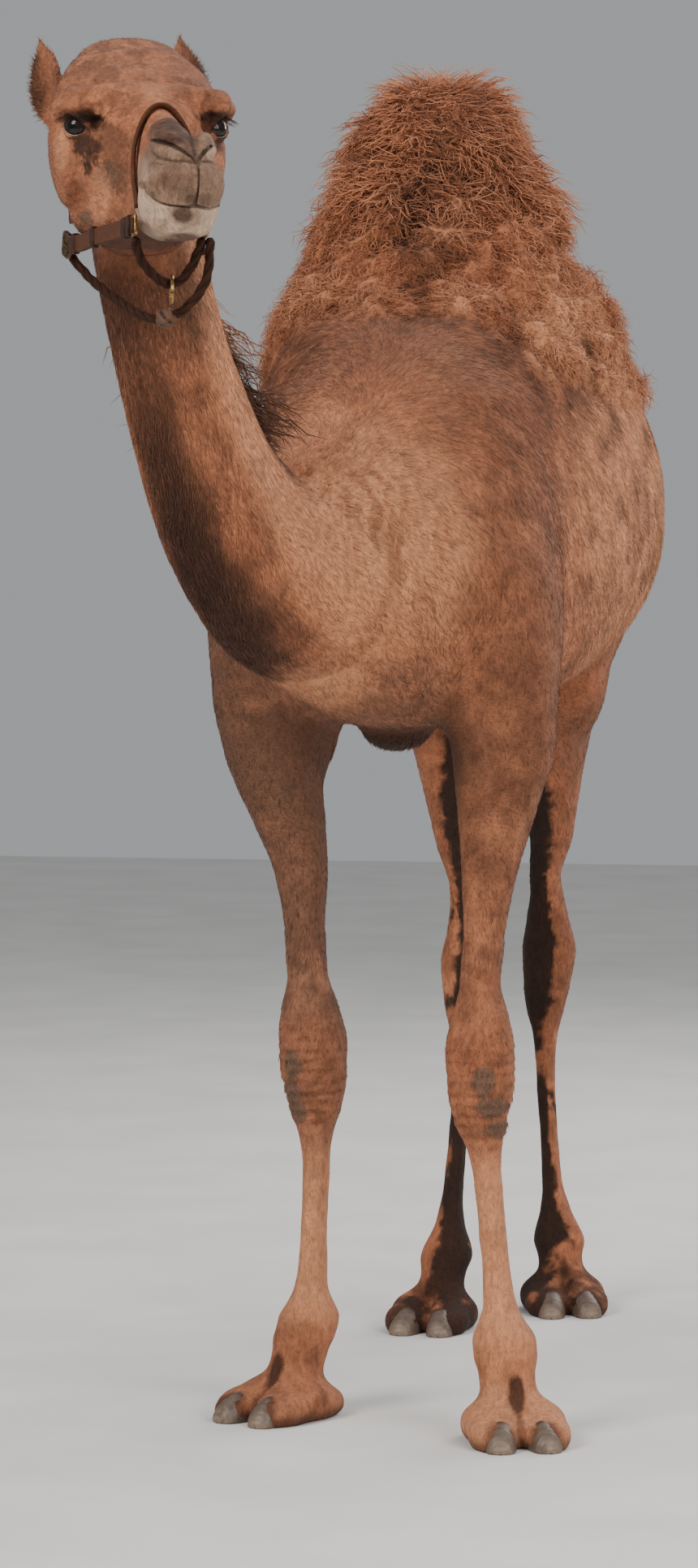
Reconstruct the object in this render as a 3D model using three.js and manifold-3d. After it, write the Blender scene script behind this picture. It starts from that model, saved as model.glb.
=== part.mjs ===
// A life-size dromedary camel in a head halter, standing still with its neck raised and its head turned.
// Units are millimetres. +X is forward, +Y is the animal's left and +Z is up. The floor is z = 0.
// Flesh is lofted from short lists of stations, joined whole, and parted with thin cuts.
import * as THREE from "three";
import { mergeGeometries, mergeVertices } from "three/addons/utils/BufferGeometryUtils.js";
import Module from "manifold-3d";

// ---------------------------------------------------------------- driving dimensions
const GAP = 0.4; // clear space left by a cut
const FIT = 1.0; // clear space under a piece that lies on curved flesh
const ORIGIN_SHIFT = [-319, 40, 0]; // from the body plan to the centre of the model's box on the floor

const HEAD_PLACE = { at: [1310, -212, 1985], yaw: 23, pitch: 5 }; // the point between the eyes
const EYE = { radius: 20, at: [6, 93, -2] };
const FOREFOOT = { width: 170, length: 196, digit: 30 };
const HINDFOOT = { width: 158, length: 172, digit: 27 };

// Stations are [x, y, z of the centre, half-width, half-depth].
const TRUNK = [
  [-932, 0, 1400, 20, 20],
  [-905, 0, 1403, 76, 82],
  [-850, 0, 1415, 126, 132],
  [-740, 0, 1430, 184, 178],
  [-580, 0, 1432, 250, 222],
  [-380, 0, 1432, 312, 282],
  [-150, 0, 1440, 338, 338],
  [100, 0, 1432, 316, 350],
  [320, -2, 1420, 270, 338],
  [500, -8, 1390, 226, 304],
  [640, -18, 1345, 182, 236],
  [740, -28, 1312, 128, 150],
  [795, -32, 1300, 40, 50],
];
const HUMP = [
  [-50, -10, 1480, 240, 460],
  [-50, -16, 1600, 296, 530],
  [-60, -24, 1700, 296, 490],
  [-85, -32, 1790, 266, 370],
  [-85, -36, 1888, 212, 290],
  [-80, -36, 1983, 168, 226],
  [-75, -34, 2065, 139, 174],
  [-72, -28, 2120, 98, 110],
  [-70, -26, 2142, 34, 40],
];
const NECK = [
  [360, 0, 1470, 150, 236],
  [600, -50, 1365, 158, 202],
  [775, -116, 1340, 132, 166],
  [925, -181, 1440, 107, 144],
  [1020, -212, 1570, 95, 130],
  [1080, -236, 1700, 88, 121],
  [1118, -251, 1810, 87, 112],
  [1150, -262, 1905, 80, 92],
  [1165, -268, 1950, 40, 50],
];

// Legs: rows are [height, half-width, half-depth]; lines are [height, x, y] of the leg's centre.
const FORELEG = [
  [1600, 50, 110],
  [1450, 78, 150],
  [1300, 90, 150],
  [1150, 88, 120],
  [1060, 83, 100],
  [1005, 72, 86],
  [950, 61, 73],
  [860, 45, 56],
  [770, 36, 46],
  [710, 36, 45],
  [655, 49, 54],
  [605, 58, 62],
  [550, 56, 62],
  [495, 46, 50],
  [445, 31, 36],
  [400, 26, 32],
  [300, 25.5, 31],
  [228, 28, 34],
  [203, 31, 38],
  [178, 42, 45],
  [152, 54, 50],
  [127, 54, 50],
  [102, 49, 46],
  [50, 47, 48],
];
const HINDLEG = [
  [1500, 40, 80],
  [1400, 80, 165],
  [1260, 94, 185],
  [1150, 88, 160],
  [1050, 72, 124],
  [950, 56, 92],
  [850, 42, 64],
  [770, 32, 48],
  [700, 41, 52],
  [640, 52, 60],
  [580, 46, 54],
  [530, 37, 45],
  [490, 27, 37],
  [430, 21.5, 31],
  [320, 20.5, 29],
  [235, 22, 30],
  [178, 31, 36],
  [120, 50, 45],
  [92, 44, 41],
  [40, 44, 46],
];
const LEGS = {
  foreleg_left: {
    rows: FORELEG,
    foot: { ...FOREFOOT, at: [632, 212], toe_out: 18 },
    line: [[1600, 400, 115], [1450, 470, 152], [1300, 535, 176], [1060, 535, 176], [950, 548, 166],
      [860, 572, 159], [710, 592, 150], [605, 606, 152], [495, 596, 152], [400, 588, 162],
      [228, 584, 177], [152, 590, 188], [50, 612, 200]],
  },
  foreleg_right: {
    rows: FORELEG,
    foot: { ...FOREFOOT, at: [484, -188], toe_out: -28 },
    line: [[1600, 400, -130], [1450, 460, -172], [1300, 520, -205], [1150, 500, -206], [1060, 480, -199],
      [1005, 474, -192], [950, 470, -178], [860, 468, -158], [710, 470, -148], [605, 478, -138],
      [495, 462, -137], [400, 450, -138], [228, 440, -146], [152, 444, -152], [50, 468, -174]],
  },
  hindleg_left: {
    rows: HINDLEG,
    foot: { ...HINDFOOT, at: [-666, 90], toe_out: 17 },
    line: [[1500, -690, 110], [1260, -620, 118], [1150, -612, 90], [1050, -618, 76], [950, -650, 68],
      [850, -690, 62], [770, -726, 46], [700, -752, 46], [640, -762, 47], [530, -752, 42], [430, -742, 44],
      [235, -728, 58], [120, -716, 74], [40, -690, 84]],
  },
  hindleg_right: {
    rows: HINDLEG,
    foot: { ...HINDFOOT, at: [-426, -106], toe_out: -5 },
    line: [[1500, -670, -110], [1260, -570, -122], [1150, -520, -104], [1050, -488, -90], [850, -488, -72],
      [770, -510, -62], [700, -528, -60], [640, -534, -62], [530, -518, -62], [430, -506, -66],
      [235, -486, -80], [120, -474, -90], [40, -446, -100]],
  },
};

const TAIL = [
  [-880, 0, 1478, 30, 30],
  [-935, 0, 1452, 25, 27],
  [-962, 2, 1350, 19, 20],
  [-962, 4, 1200, 16, 17],
  [-952, 6, 1090, 24, 24],
  [-944, 8, 1000, 32, 30],
  [-938, 8, 925, 12, 12],
];
const CHEST_PAD = { at: [405, -16, 1098], radii: [100, 62, 46] };

// The head, in its own frame: origin between the eyes, +X towards the lips.
// Rows are [x, top, underside, half-width].
const CRANIUM = [
  [-194, 66, -20, 34],
  [-170, 104, -90, 86],
  [-130, 121, -120, 113],
  [-85, 112, -134, 127],
  [-35, 90, -130, 122],
  [20, 68, -120, 102],
  [70, 46, -112, 72],
  [110, 12, -105, 46],
  [140, -28, -95, 20],
];
const BRIDGE = [
  [30, 58, -140, 62],
  [70, 49, -150, 56],
  [110, 33, -155, 46],
  [150, 25, -155, 42],
  [190, 17, -154, 45],
  [230, 6, -153, 51, 2],
  [262, -2, -152, 55, 3],
  [290, -12, -150, 54, 4],
  [314, -26, -138, 43, 6],
  [330, -42, -118, 28, 8],
  [338, -58, -96, 10, 8],
];
const JAW = [
  [-138, -70, -118, 50],
  [-112, -50, -166, 96],
  [-70, -50, -180, 98],
  [-20, -50, -177, 86],
  [40, -60, -169, 68],
  [110, -70, -161, 50],
  [180, -80, -155, 43],
  [240, -90, -152, 34],
];
const BROW = { at: [2, 88, 36], radii: [52, 32, 25] };
const EARS = {
  ear_left: { root: [-158, 92, 40], tip: [-184, 92, 132], facing: 42 },
  ear_right: { root: [-152, -104, 20], tip: [-190, -134, 121], facing: -56 },
};
const EAR = { width: 30, thickness: 15, scoop: 13 };

// The halter, in the head's frame. Straps are [x, outward, height] along their middle on each side.
const NOSEBAND = { at: [160, 0, -35], lean: -27, width: 15, thickness: 7, lowest: -108 };
const CROWN = { at: [-150, 0, -30], lean: -18, width: 24, thickness: 6, lowest: -140 };
const CHEEK_STRAP = [[200, 50, -131], [157, 54, -139], [60, 71, -152], [-10, 85, -165], [-66, 94, -170]];
const STRAP = { thickness: 3.5, width: 13 };
const THROAT_ROPE = [[-84, -78, -204], [-40, -62, -224], [30, -36, -248], [92, -16, -262], [140, 4, -264],
  [166, 34, -246], [186, 57, -206], [204, 62, -150]];
const CHIN_ROPE = [[212, -47, -154], [204, -38, -180], [180, -10, -207], [166, 12, -214], [172, 30, -202],
  [186, 42, -176], [198, 44, -154]];
const ROPE_RADIUS = 7.5;
const CHIN_RING = { at: [166, 12, -224], radius: 20, wire: 3 };
const KNOT = { at: [150, 8, -262], radii: [19, 17, 15] };
const SIDE_RING = { at: [212, 50, -132], half: 16, wire: 3 };
const BUCKLE = { at: [-86, -96, -172], size: [34, 7, 38], bar: 6 };

// Cuts that part the flesh into pieces: a point and the way the cut faces.
const CUTS = {
  mouth: { at: [320, 0, -104], facing: [0.197, 0, 0.98] },
  neck: { at: [600, -20, 1450], facing: [0.857, 0, 0.514] },
  head: { at: [1168, -272, 1870], facing: [0.72, 0.3, 0.4] },
  hump: { at: [0, 0, 1768], facing: [0, 0, 1] },
  foreleg_top: 1032,
  knee: 600,
  hindleg_top: 1128,
  hock: 655,
  fetlock_front: 160,
  fetlock_rear: 136,
};

// ---------------------------------------------------------------- materials
/** A plain finish of a colour, a roughness and a metalness. */
function finish(color, roughness, metalness = 0) {
  return new THREE.MeshStandardMaterial({ color, roughness, metalness });
}

const COAT = finish(0xb0785a, 0.95);
const WOOL = finish(0x9a6748, 0.97);
const PALE_COAT = finish(0xbd8a68, 0.95);
const MUZZLE = finish(0xa58d7b, 0.8);
const CALLUS = finish(0x7b6a5c, 0.85);
const HORN = finish(0x6f6155, 0.55);
const EYE_GLOSS = finish(0x120c09, 0.08);
const LEATHER = finish(0x4a3427, 0.65);
const DARK_ROPE = finish(0x241a15, 0.8);
const BRASS = finish(0xa88550, 0.35, 1);

// ---------------------------------------------------------------- solids
const wasm = await Module();
wasm.setup();

const vector = (values) => new THREE.Vector3(...values);
const radians = THREE.MathUtils.degToRad;

/** A closed solid from a geometry, whose normals and uvs are dropped so that its seams close. */
function solid(geometry, matrix = new THREE.Matrix4()) {
  const bare = geometry.clone().applyMatrix4(matrix);
  bare.deleteAttribute("normal");
  bare.deleteAttribute("uv");
  const merged = mergeVertices(bare, 1e-3);
  const mesh = new wasm.Mesh({
    numProp: 3,
    vertProperties: new Float32Array(merged.attributes.position.array),
    triVerts: new Uint32Array(merged.index.array),
  });
  return new wasm.Manifold(mesh);
}

/** A solid's surface as a geometry with flat faces. */
function surface(body) {
  const mesh = body.getMesh();
  const geometry = new THREE.BufferGeometry();
  geometry.setAttribute("position", new THREE.BufferAttribute(mesh.vertProperties, 3));
  geometry.setIndex(new THREE.BufferAttribute(mesh.triVerts, 1));
  return geometry;
}

const join = (bodies) => bodies.reduce((whole, body) => whole.add(body));
const signedPower = (value, power) => Math.sign(value) * Math.abs(value) ** power;

/** The points of one ring: a superellipse square to the tangent, its width held level. */
function ring(centre, tangent, width, depth, sides, power) {
  const side = new THREE.Vector3(0, 1, 0).addScaledVector(tangent, -tangent.y).normalize();
  const rise = new THREE.Vector3().crossVectors(tangent, side);
  return Array.from({ length: sides }, (_, i) => {
    const angle = ((i + 0.5) / sides) * 2 * Math.PI;
    const across = width * signedPower(Math.cos(angle), 2 / power);
    const up = depth * signedPower(Math.sin(angle), 2 / power);
    return centre.clone().addScaledVector(side, across).addScaledVector(rise, up);
  });
}

/** A closed skin over rings, with a fan at each end. */
function skinRings(rings) {
  const sides = rings[0].length;
  const points = rings.flat();
  const index = [];
  const middle = (points_) => points_.reduce((a, b) => a.clone().add(b)).divideScalar(sides);
  for (let r = 0; r + 1 < rings.length; r += 1) {
    for (let i = 0; i < sides; i += 1) {
      const [a, b] = [r * sides + i, r * sides + ((i + 1) % sides)];
      index.push(a, b, b + sides, a, b + sides, a + sides);
    }
  }
  const last = (rings.length - 1) * sides;
  for (let i = 0; i < sides; i += 1) {
    index.push(points.length, (i + 1) % sides, i);
    index.push(points.length + 1, last + i, last + ((i + 1) % sides));
  }
  points.push(middle(rings[0]), middle(rings.at(-1)));
  const geometry = new THREE.BufferGeometry().setFromPoints(points);
  geometry.setIndex(index);
  return geometry;
}

const FORWARD = new THREE.Vector3(1, 0, 0);
const UPWARD = new THREE.Vector3(0, 0, 1);
const DOWNWARD = new THREE.Vector3(0, 0, -1);

/**
 * A lofted solid through stations of [x, y, z, half-width, half-depth], grown by a clearance if asked.
 * Its rings stand square to the path, or all to one axis where one is given.
 */
function loft(stations, { sides = 16, rows = 20, power = 2.2, grow = 0, axis, matrix } = {}) {
  const centres = new THREE.CatmullRomCurve3(stations.map((row) => vector(row.slice(0, 3))));
  const sizes = new THREE.CatmullRomCurve3(stations.map(([, , , w, d]) => new THREE.Vector3(w, d, 0)));
  const rings = Array.from({ length: rows + 1 }, (_, k) => {
    const t = k / rows;
    const size = sizes.getPoint(t);
    const push = k === 0 ? -grow : k === rows ? grow : 0;
    const tangent = axis ?? centres.getTangent(t);
    const centre = centres.getPoint(t).addScaledVector(tangent, push);
    return ring(centre, tangent, size.x + grow, size.y + grow, sides, power);
  });
  return solid(skinRings(rings), matrix);
}

/** An ellipsoid, turned by three angles in degrees. */
function ellipsoid(at, radii, { turn = [0, 0, 0], segments = 14, matrix } = {}) {
  const geometry = new THREE.SphereGeometry(1, segments, Math.round(segments * 0.7));
  const rotation = new THREE.Quaternion().setFromEuler(new THREE.Euler(...turn.map(radians)));
  geometry.applyMatrix4(new THREE.Matrix4().compose(vector(at), rotation, vector(radii)));
  return solid(geometry, matrix);
}

/** A box, centred on a point and turned about the three axes in degrees. */
function block(at, size, turn = [0, 0, 0]) {
  const geometry = new THREE.BoxGeometry(...size);
  const rotation = new THREE.Quaternion().setFromEuler(new THREE.Euler(...turn.map(radians)));
  geometry.applyMatrix4(new THREE.Matrix4().compose(vector(at), rotation, new THREE.Vector3(1, 1, 1)));
  return solid(geometry);
}

/** A block filling the half of space a cut faces, half a gap clear of it; behind asks for the other half. */
function beyond({ at, facing }, { behind = false, matrix } = {}) {
  const reach = 3000;
  const way = vector(facing).normalize().multiplyScalar(behind ? -1 : 1);
  const geometry = new THREE.BoxGeometry(reach * 2, reach * 2, reach);
  const rotation = new THREE.Quaternion().setFromUnitVectors(new THREE.Vector3(0, 0, 1), way);
  const centre = vector(at).addScaledVector(way, reach / 2 + GAP / 2);
  geometry.applyMatrix4(new THREE.Matrix4().compose(centre, rotation, new THREE.Vector3(1, 1, 1)));
  return solid(geometry, matrix);
}

/** The space kept by one leg's piece between two heights, half a gap inside them. */
function legSpace(name, low, high) {
  const middle = name.startsWith("fore") ? 550 : -830;
  const side = name.endsWith("left") ? 1 : -1;
  return block([middle, side * 351, (low + high) / 2], [1000 - GAP, 700, high - low - GAP]);
}

/** The largest of a solid's separate bodies. */
function largest(body) {
  return body.decompose().sort((a, b) => b.volume() - a.volume())[0];
}

// ---------------------------------------------------------------- flesh
/** The value of a line of [height, x, y] rows at a height. */
function along(line, height) {
  const k = Math.max(1, line.findIndex((row, i) => i > 0 && row[0] <= height));
  const [above, below] = [line[k - 1], line[k]];
  const t = THREE.MathUtils.clamp((above[0] - height) / (above[0] - below[0]), 0, 1);
  return [1, 2].map((axis) => THREE.MathUtils.lerp(above[axis], below[axis], t));
}

/** One leg's shaft, down to the fetlock. */
function shaft({ rows, line }, grow = 0) {
  const stations = rows.map(([z, w, d]) => [...along(line, z), z, w, d]);
  return loft(stations, { sides: 8, rows: 23, power: 2.3, grow, axis: DOWNWARD });
}

/** A point of a foot's own frame in the body's plan. */
function footPoint({ at, toe_out }, [x, y, z]) {
  const turn = radians(toe_out);
  const [c, s] = [Math.cos(turn), Math.sin(turn)];
  return [at[0] + x * c - y * s, at[1] + x * s + y * c, z];
}

/** A foot: a low pad with two toes ahead of it, flattened by the floor. */
function foot(shape) {
  const { width, length, digit } = shape;
  const [w, l] = [width / 2, length / 2];
  const padRows = [
    [-l, 0, 16, 0.4 * w, 14],
    [-0.8 * l, 0, 20, 0.78 * w, 30],
    [-0.2 * l, 0, 26, 0.98 * w, 44],
    [0.4 * l, 0, 20, 0.9 * w, 30],
    [0.66 * l, 0, 18, 0.56 * w, 16],
  ];
  const toeRows = [
    [0.1 * l, 0.42 * w, 22, 0.38 * w, digit + 6],
    [0.5 * l, 0.5 * w, 19, 0.45 * w, digit],
    [0.88 * l, 0.45 * w, 14, 0.34 * w, digit - 6],
    [1.04 * l, 0.4 * w, 10, 0.14 * w, 12],
  ];
  const laid = (rows, side, count) => {
    const stations = rows.map(([x, y, z, a, b]) => [...footPoint(shape, [x, side * y, z]), a, b]);
    const axis = vector([...footPoint({ ...shape, at: [0, 0] }, [1, 0, 0]).slice(0, 2), 0]);
    return loft(stations, { sides: 7, rows: count, power: 2.5, axis });
  };
  return join([laid(padRows, 1, 5), laid(toeRows, 1, 3), laid(toeRows, -1, 3)]);
}

/** The claw at the front of one digit, as an ellipsoid sunk in it. */
function claw(shape, side, grow = 0) {
  const at = footPoint(shape, [0.45 * shape.length, side * 0.21 * shape.width, 22]);
  const turn = [0, 0, shape.toe_out + side * 8];
  return ellipsoid(at, [20 + grow, 14 + grow, 17 + grow], { turn, segments: 6 });
}

const trunkFlesh = (grow = 0) => loft(TRUNK, { sides: 14, rows: 15, power: 2.2, grow, axis: FORWARD });
const padFlesh = () => ellipsoid(CHEST_PAD.at, CHEST_PAD.radii, { segments: 12 });
const legFlesh = (leg) => join([shaft(leg), foot(leg.foot)]);

/** The whole body but the head, tail, chest pad and claws, standing on the floor. */
function bodyFlesh() {
  const hump = loft(HUMP, { sides: 12, rows: 11, power: 2.1, axis: UPWARD });
  const neck = loft(NECK, { sides: 12, rows: 14, power: 2.1 });
  const legs = Object.values(LEGS).map(legFlesh);
  const floor = block([0, 0, 1500], [4000, 2000, 3000]);
  return join([trunkFlesh(), hump, neck, ...legs]).intersect(floor);
}

// ---------------------------------------------------------------- the head's frame
const HEAD_TURN = new THREE.Euler(0, radians(HEAD_PLACE.pitch), radians(HEAD_PLACE.yaw), "ZYX");
const HEAD_MATRIX = new THREE.Matrix4().makeRotationFromEuler(HEAD_TURN).setPosition(vector(HEAD_PLACE.at));
const TO_HEAD = HEAD_MATRIX.clone().invert();

/** Loft stations from rows of [x, top, underside, half-width, shift to the left if any]. */
function headStations(rows) {
  return rows.map(([x, top, under, w, y = 0]) => [x, y, (top + under) / 2, w, (top - under) / 2]);
}

/** The skull, jaw and brows, in the head's frame or moved by a matrix. */
function headFlesh(grow = 0, matrix = undefined) {
  const skull = loft(headStations(CRANIUM), { sides: 14, rows: 11, power: 2.5, grow, axis: FORWARD, matrix });
  const bridge = loft(headStations(BRIDGE), { sides: 12, rows: 10, power: 2, grow, axis: FORWARD, matrix });
  const jaw = loft(headStations(JAW), { sides: 10, rows: 9, power: 2.4, grow, axis: FORWARD, matrix });
  const brows = [1, -1].map((side) => {
    const [x, y, z] = BROW.at;
    const radii = BROW.radii.map((r) => r + grow);
    return ellipsoid([x, side * y, z], radii, { turn: [0, 6, side * 14], segments: 8, matrix });
  });
  return join([skull, bridge, jaw, ...brows]);
}

/** Head and neck together in the head's frame, grown by a clearance, for fitting what lies on them. */
function underHalter(grow) {
  const neck = loft(NECK, { sides: 12, rows: 14, power: 2.1, grow, matrix: TO_HEAD });
  return headFlesh(grow).add(neck);
}

/** One ear: a cupped leaf standing on its root, its hollow facing away from the head. */
function ear({ root, tip, facing }) {
  const up = vector(tip).sub(vector(root));
  const length = up.length();
  const { width, thickness, scoop } = EAR;
  const rows = [
    [2, -26, 0.5, 0.9],
    [0, 0, 0.8, 1],
    [-1, 0.3 * length, 1, 0.9],
    [-4, 0.62 * length, 0.86, 0.66],
    [-7, 0.86 * length, 0.5, 0.4],
    [-8, length, 0.1, 0.16],
  ];
  const stand = new THREE.Quaternion().setFromUnitVectors(new THREE.Vector3(0, 0, 1), up.normalize());
  const twist = new THREE.Quaternion().setFromAxisAngle(new THREE.Vector3(0, 0, 1), radians(facing));
  const matrix = new THREE.Matrix4().compose(vector(root), stand.multiply(twist), new THREE.Vector3(1, 1, 1));
  const stations = rows.map(([x, z, w, d]) => [x, 0, z, w * width, d * thickness]);
  const leaf = loft(stations, { sides: 8, rows: 5, power: 2, axis: UPWARD, matrix });
  const radii = [scoop, 0.6 * width, 0.4 * length];
  const hollow = ellipsoid([scoop, 0, 0.5 * length], radii, { segments: 8, matrix });
  return leaf.subtract(hollow);
}

// ---------------------------------------------------------------- halter
/** A rope of round section along a path. */
function rope(path, grow = 0) {
  const stations = path.map((point) => [...point, ROPE_RADIUS, ROPE_RADIUS]);
  return loft(stations, { sides: 6, rows: 14, power: 2, grow });
}

/** All that a band round the flesh in a leaning plane takes up, with the flesh in it, kept above a height. */
function wrapped({ at, lean, width, thickness, lowest }, grow = 0) {
  const plane = block(at, [width + 2 * grow, 500, 600], [0, lean, 0]);
  const kept = block([0, 0, lowest - grow + 500], [1000, 1000, 1000]);
  return underHalter(thickness + grow).intersect(plane).intersect(kept);
}

const band = (shape) => wrapped(shape).subtract(underHalter(FIT));

/** A strap of flat section along the jaw, on one side. */
function cheekStrap(side) {
  const { thickness, width } = STRAP;
  const stations = CHEEK_STRAP.map(([x, y, z]) => [x, side * y, z, thickness, width]);
  const strap = loft(stations, { sides: 8, rows: 6, power: 7 });
  return strap.subtract(underHalter(FIT));
}

/** A rectangular ring of square wire at the end of the noseband, on one side. */
function sideRing(side) {
  const { at: [x, y, z], half, wire } = SIDE_RING;
  const outer = block([x, side * y, z], [2 * half, wire * 2, 2 * half], [0, -12, 0]);
  const inner = block([x, side * y, z], [2 * half - 4 * wire, wire * 6, 2 * half - 4 * wire], [0, -12, 0]);
  return outer.subtract(inner);
}

/** The buckle's frame at the jaw's angle. */
function buckle() {
  const { at, size: [long, thick, high], bar } = BUCKLE;
  const turn = [0, 12, 8];
  const frame = block(at, [long, thick, high], turn);
  return frame.subtract(block(at, [long - 2 * bar, thick * 3, high - 2 * bar], turn));
}

/** The oval ring that hangs in the chin rope. */
function chinRing(grow = 0) {
  const { at, radius, wire } = CHIN_RING;
  const torus = new THREE.TorusGeometry(radius, wire + grow, 6, 16);
  torus.rotateX(Math.PI / 2);
  torus.rotateZ(radians(-8));
  torus.translate(...at);
  return solid(torus);
}

/** Every piece of the halter but the sliding ones, as named solids in the head's frame. */
function halterPieces() {
  const skin = underHalter(FIT);
  const chin = rope(CHIN_ROPE).subtract(skin);
  const throat = rope(THROAT_ROPE).subtract(skin);
  const wires = join([1, -1].map(sideRing));
  const hardware = join([wires, buckle(), chinRing(GAP), rope(CHIN_ROPE, GAP), rope(THROAT_ROPE, GAP)]);
  const grownWires = join([1, -1].map((side) => {
    const { at: [x, y, z], half } = SIDE_RING;
    return block([x, side * y, z], [2 * half + 1, SIDE_RING.wire * 2 + 1, 2 * half + 1], [0, -12, 0]);
  }));
  const grownBuckle = block(BUCKLE.at, BUCKLE.size.map((s) => s + 1), [0, 12, 8]);
  const clear = (body) => largest(body.subtract(grownWires).subtract(grownBuckle));
  return {
    halter_noseband: [clear(band(NOSEBAND)), LEATHER],
    halter_crown_strap: [clear(band(CROWN)), LEATHER],
    halter_cheek_strap_left: [clear(cheekStrap(1)), LEATHER],
    halter_cheek_strap_right: [clear(cheekStrap(-1)), LEATHER],
    halter_ring_left: [sideRing(1).subtract(skin), BRASS],
    halter_ring_right: [sideRing(-1).subtract(skin), BRASS],
    halter_buckle: [buckle().subtract(skin), BRASS],
    halter_chin_ring: [chinRing(), BRASS],
    halter_chin_rope: [clear(chin), DARK_ROPE],
    halter_throat_rope: [clear(throat), DARK_ROPE],
    halter_knot: [largest(ellipsoid(KNOT.at, KNOT.radii, { segments: 8 }).subtract(hardware)), LEATHER],
  };
}

// ---------------------------------------------------------------- the parted animal
/** The flesh of the body parted into named solids, in the body's plan. */
function bodyPieces() {
  const claws = Object.entries(LEGS).flatMap(([name, leg]) => [1, -1].map((side) => ({ name, leg, side })));
  const sockets = join(claws.map(({ leg, side }) => claw(leg.foot, side, GAP)));
  const whole = bodyFlesh().add(headFlesh(0, HEAD_MATRIX)).subtract(sockets);
  const front = whole.intersect(beyond(CUTS.neck));
  const rest = whole.intersect(beyond(CUTS.neck, { behind: true }));
  const fore = block([2670, 0, CUTS.foreleg_top + 1500 + GAP / 2], [6000, 3000, 3000]);
  const rear = block([-3330, 0, CUTS.hindleg_top + 1500 + GAP / 2], [6000 + GAP, 3000, 3000]);
  const upper = rest.intersect(fore.add(rear));
  const pieces = {
    trunk: [largest(upper.intersect(beyond(CUTS.hump, { behind: true }))), COAT],
    hump: [largest(upper.intersect(beyond(CUTS.hump))), WOOL],
    neck: [front.intersect(beyond(CUTS.head, { behind: true })), COAT],
    chest_pad: [largest(padFlesh().subtract(trunkFlesh(FIT).add(shaft(LEGS.foreleg_left, FIT)))), CALLUS],
    tail: [largest(loft(TAIL, { sides: 7, rows: 11, power: 2 }).subtract(trunkFlesh(FIT))), WOOL],
  };
  for (const name of Object.keys(LEGS)) {
    const isFore = name.startsWith("fore");
    const top = isFore ? CUTS.foreleg_top : CUTS.hindleg_top;
    const joint = isFore ? CUTS.knee : CUTS.hock;
    const ankle = isFore ? CUTS.fetlock_front : CUTS.fetlock_rear;
    pieces[`${name}_upper`] = [largest(rest.intersect(legSpace(name, joint, top))), COAT];
    pieces[`${name}_lower`] = [largest(rest.intersect(legSpace(name, ankle, joint))), PALE_COAT];
    pieces[`${name}_foot`] = [largest(rest.intersect(legSpace(name, -50, ankle))), PALE_COAT];
  }
  for (const { name, leg, side } of claws) {
    const digit = side > 0 ? "outer" : "inner";
    const aboveFloor = block([0, 0, 500], [4000, 2000, 1000]);
    pieces[`${name}_claw_${digit}`] = [claw(leg.foot, side).intersect(aboveFloor), HORN];
  }
  return pieces;
}

/** The head's own pieces, in the head's frame. */
function headPieces() {
  const skull = underHalter(0).intersect(beyond(CUTS.head, { matrix: TO_HEAD }));
  const socket = [1, 1, 1].map(() => EYE.radius + GAP);
  const eyes = [1, -1].map((side) => {
    return ellipsoid([EYE.at[0], side * EYE.at[1], EYE.at[2]], socket, { segments: 12 });
  });
  const flesh = skull.subtract(join(eyes));
  const pieces = {
    head: [largest(flesh.intersect(beyond(CUTS.mouth))), COAT],
    lower_jaw: [largest(flesh.intersect(beyond(CUTS.mouth, { behind: true }))), MUZZLE],
  };
  for (const [name, shape] of Object.entries(EARS)) {
    const free = ear(shape).subtract(wrapped(CROWN, GAP)).subtract(underHalter(FIT));
    pieces[name] = [largest(free), WOOL];
  }
  return pieces;
}

// ---------------------------------------------------------------- scene
/** A named mesh of one solid. */
function piece(name, [body, material]) {
  const mesh = new THREE.Mesh(surface(body), material.clone());
  mesh.name = name;
  return mesh;
}

/** One eyeball, placed in its socket. */
function eyeball(name, side) {
  const mesh = new THREE.Mesh(new THREE.SphereGeometry(EYE.radius, 12, 8), EYE_GLOSS.clone());
  const bare = mergeVertices(mesh.geometry, 1e-3);
  mesh.geometry = bare;
  mesh.position.set(EYE.at[0], side * EYE.at[1], EYE.at[2]);
  mesh.name = name;
  return mesh;
}

const camel = new THREE.Group();
camel.position.set(...ORIGIN_SHIFT);
for (const [name, entry] of Object.entries(bodyPieces())) {
  camel.add(piece(name, entry));
}
const head = new THREE.Group();
head.position.set(...HEAD_PLACE.at);
head.rotation.copy(HEAD_TURN);
for (const [name, entry] of Object.entries({ ...headPieces(), ...halterPieces() })) {
  head.add(piece(name, entry));
}
head.add(eyeball("eye_left", 1), eyeball("eye_right", -1));
camel.add(head);

export default camel;
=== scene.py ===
"""A life-size standing dromedary in a head halter: skin, coat, eyes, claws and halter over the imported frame.

Lengths are metres in the model's own frame: +X is forward, +Y the animal's left, +Z up and z = 0 the floor.
Flesh is one signed-distance field, taken as a skin by surface nets, and the coat grows from that skin.
"""
import logging
import math
from dataclasses import dataclass, field
from enum import Enum
from typing import Callable, Sequence

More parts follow.
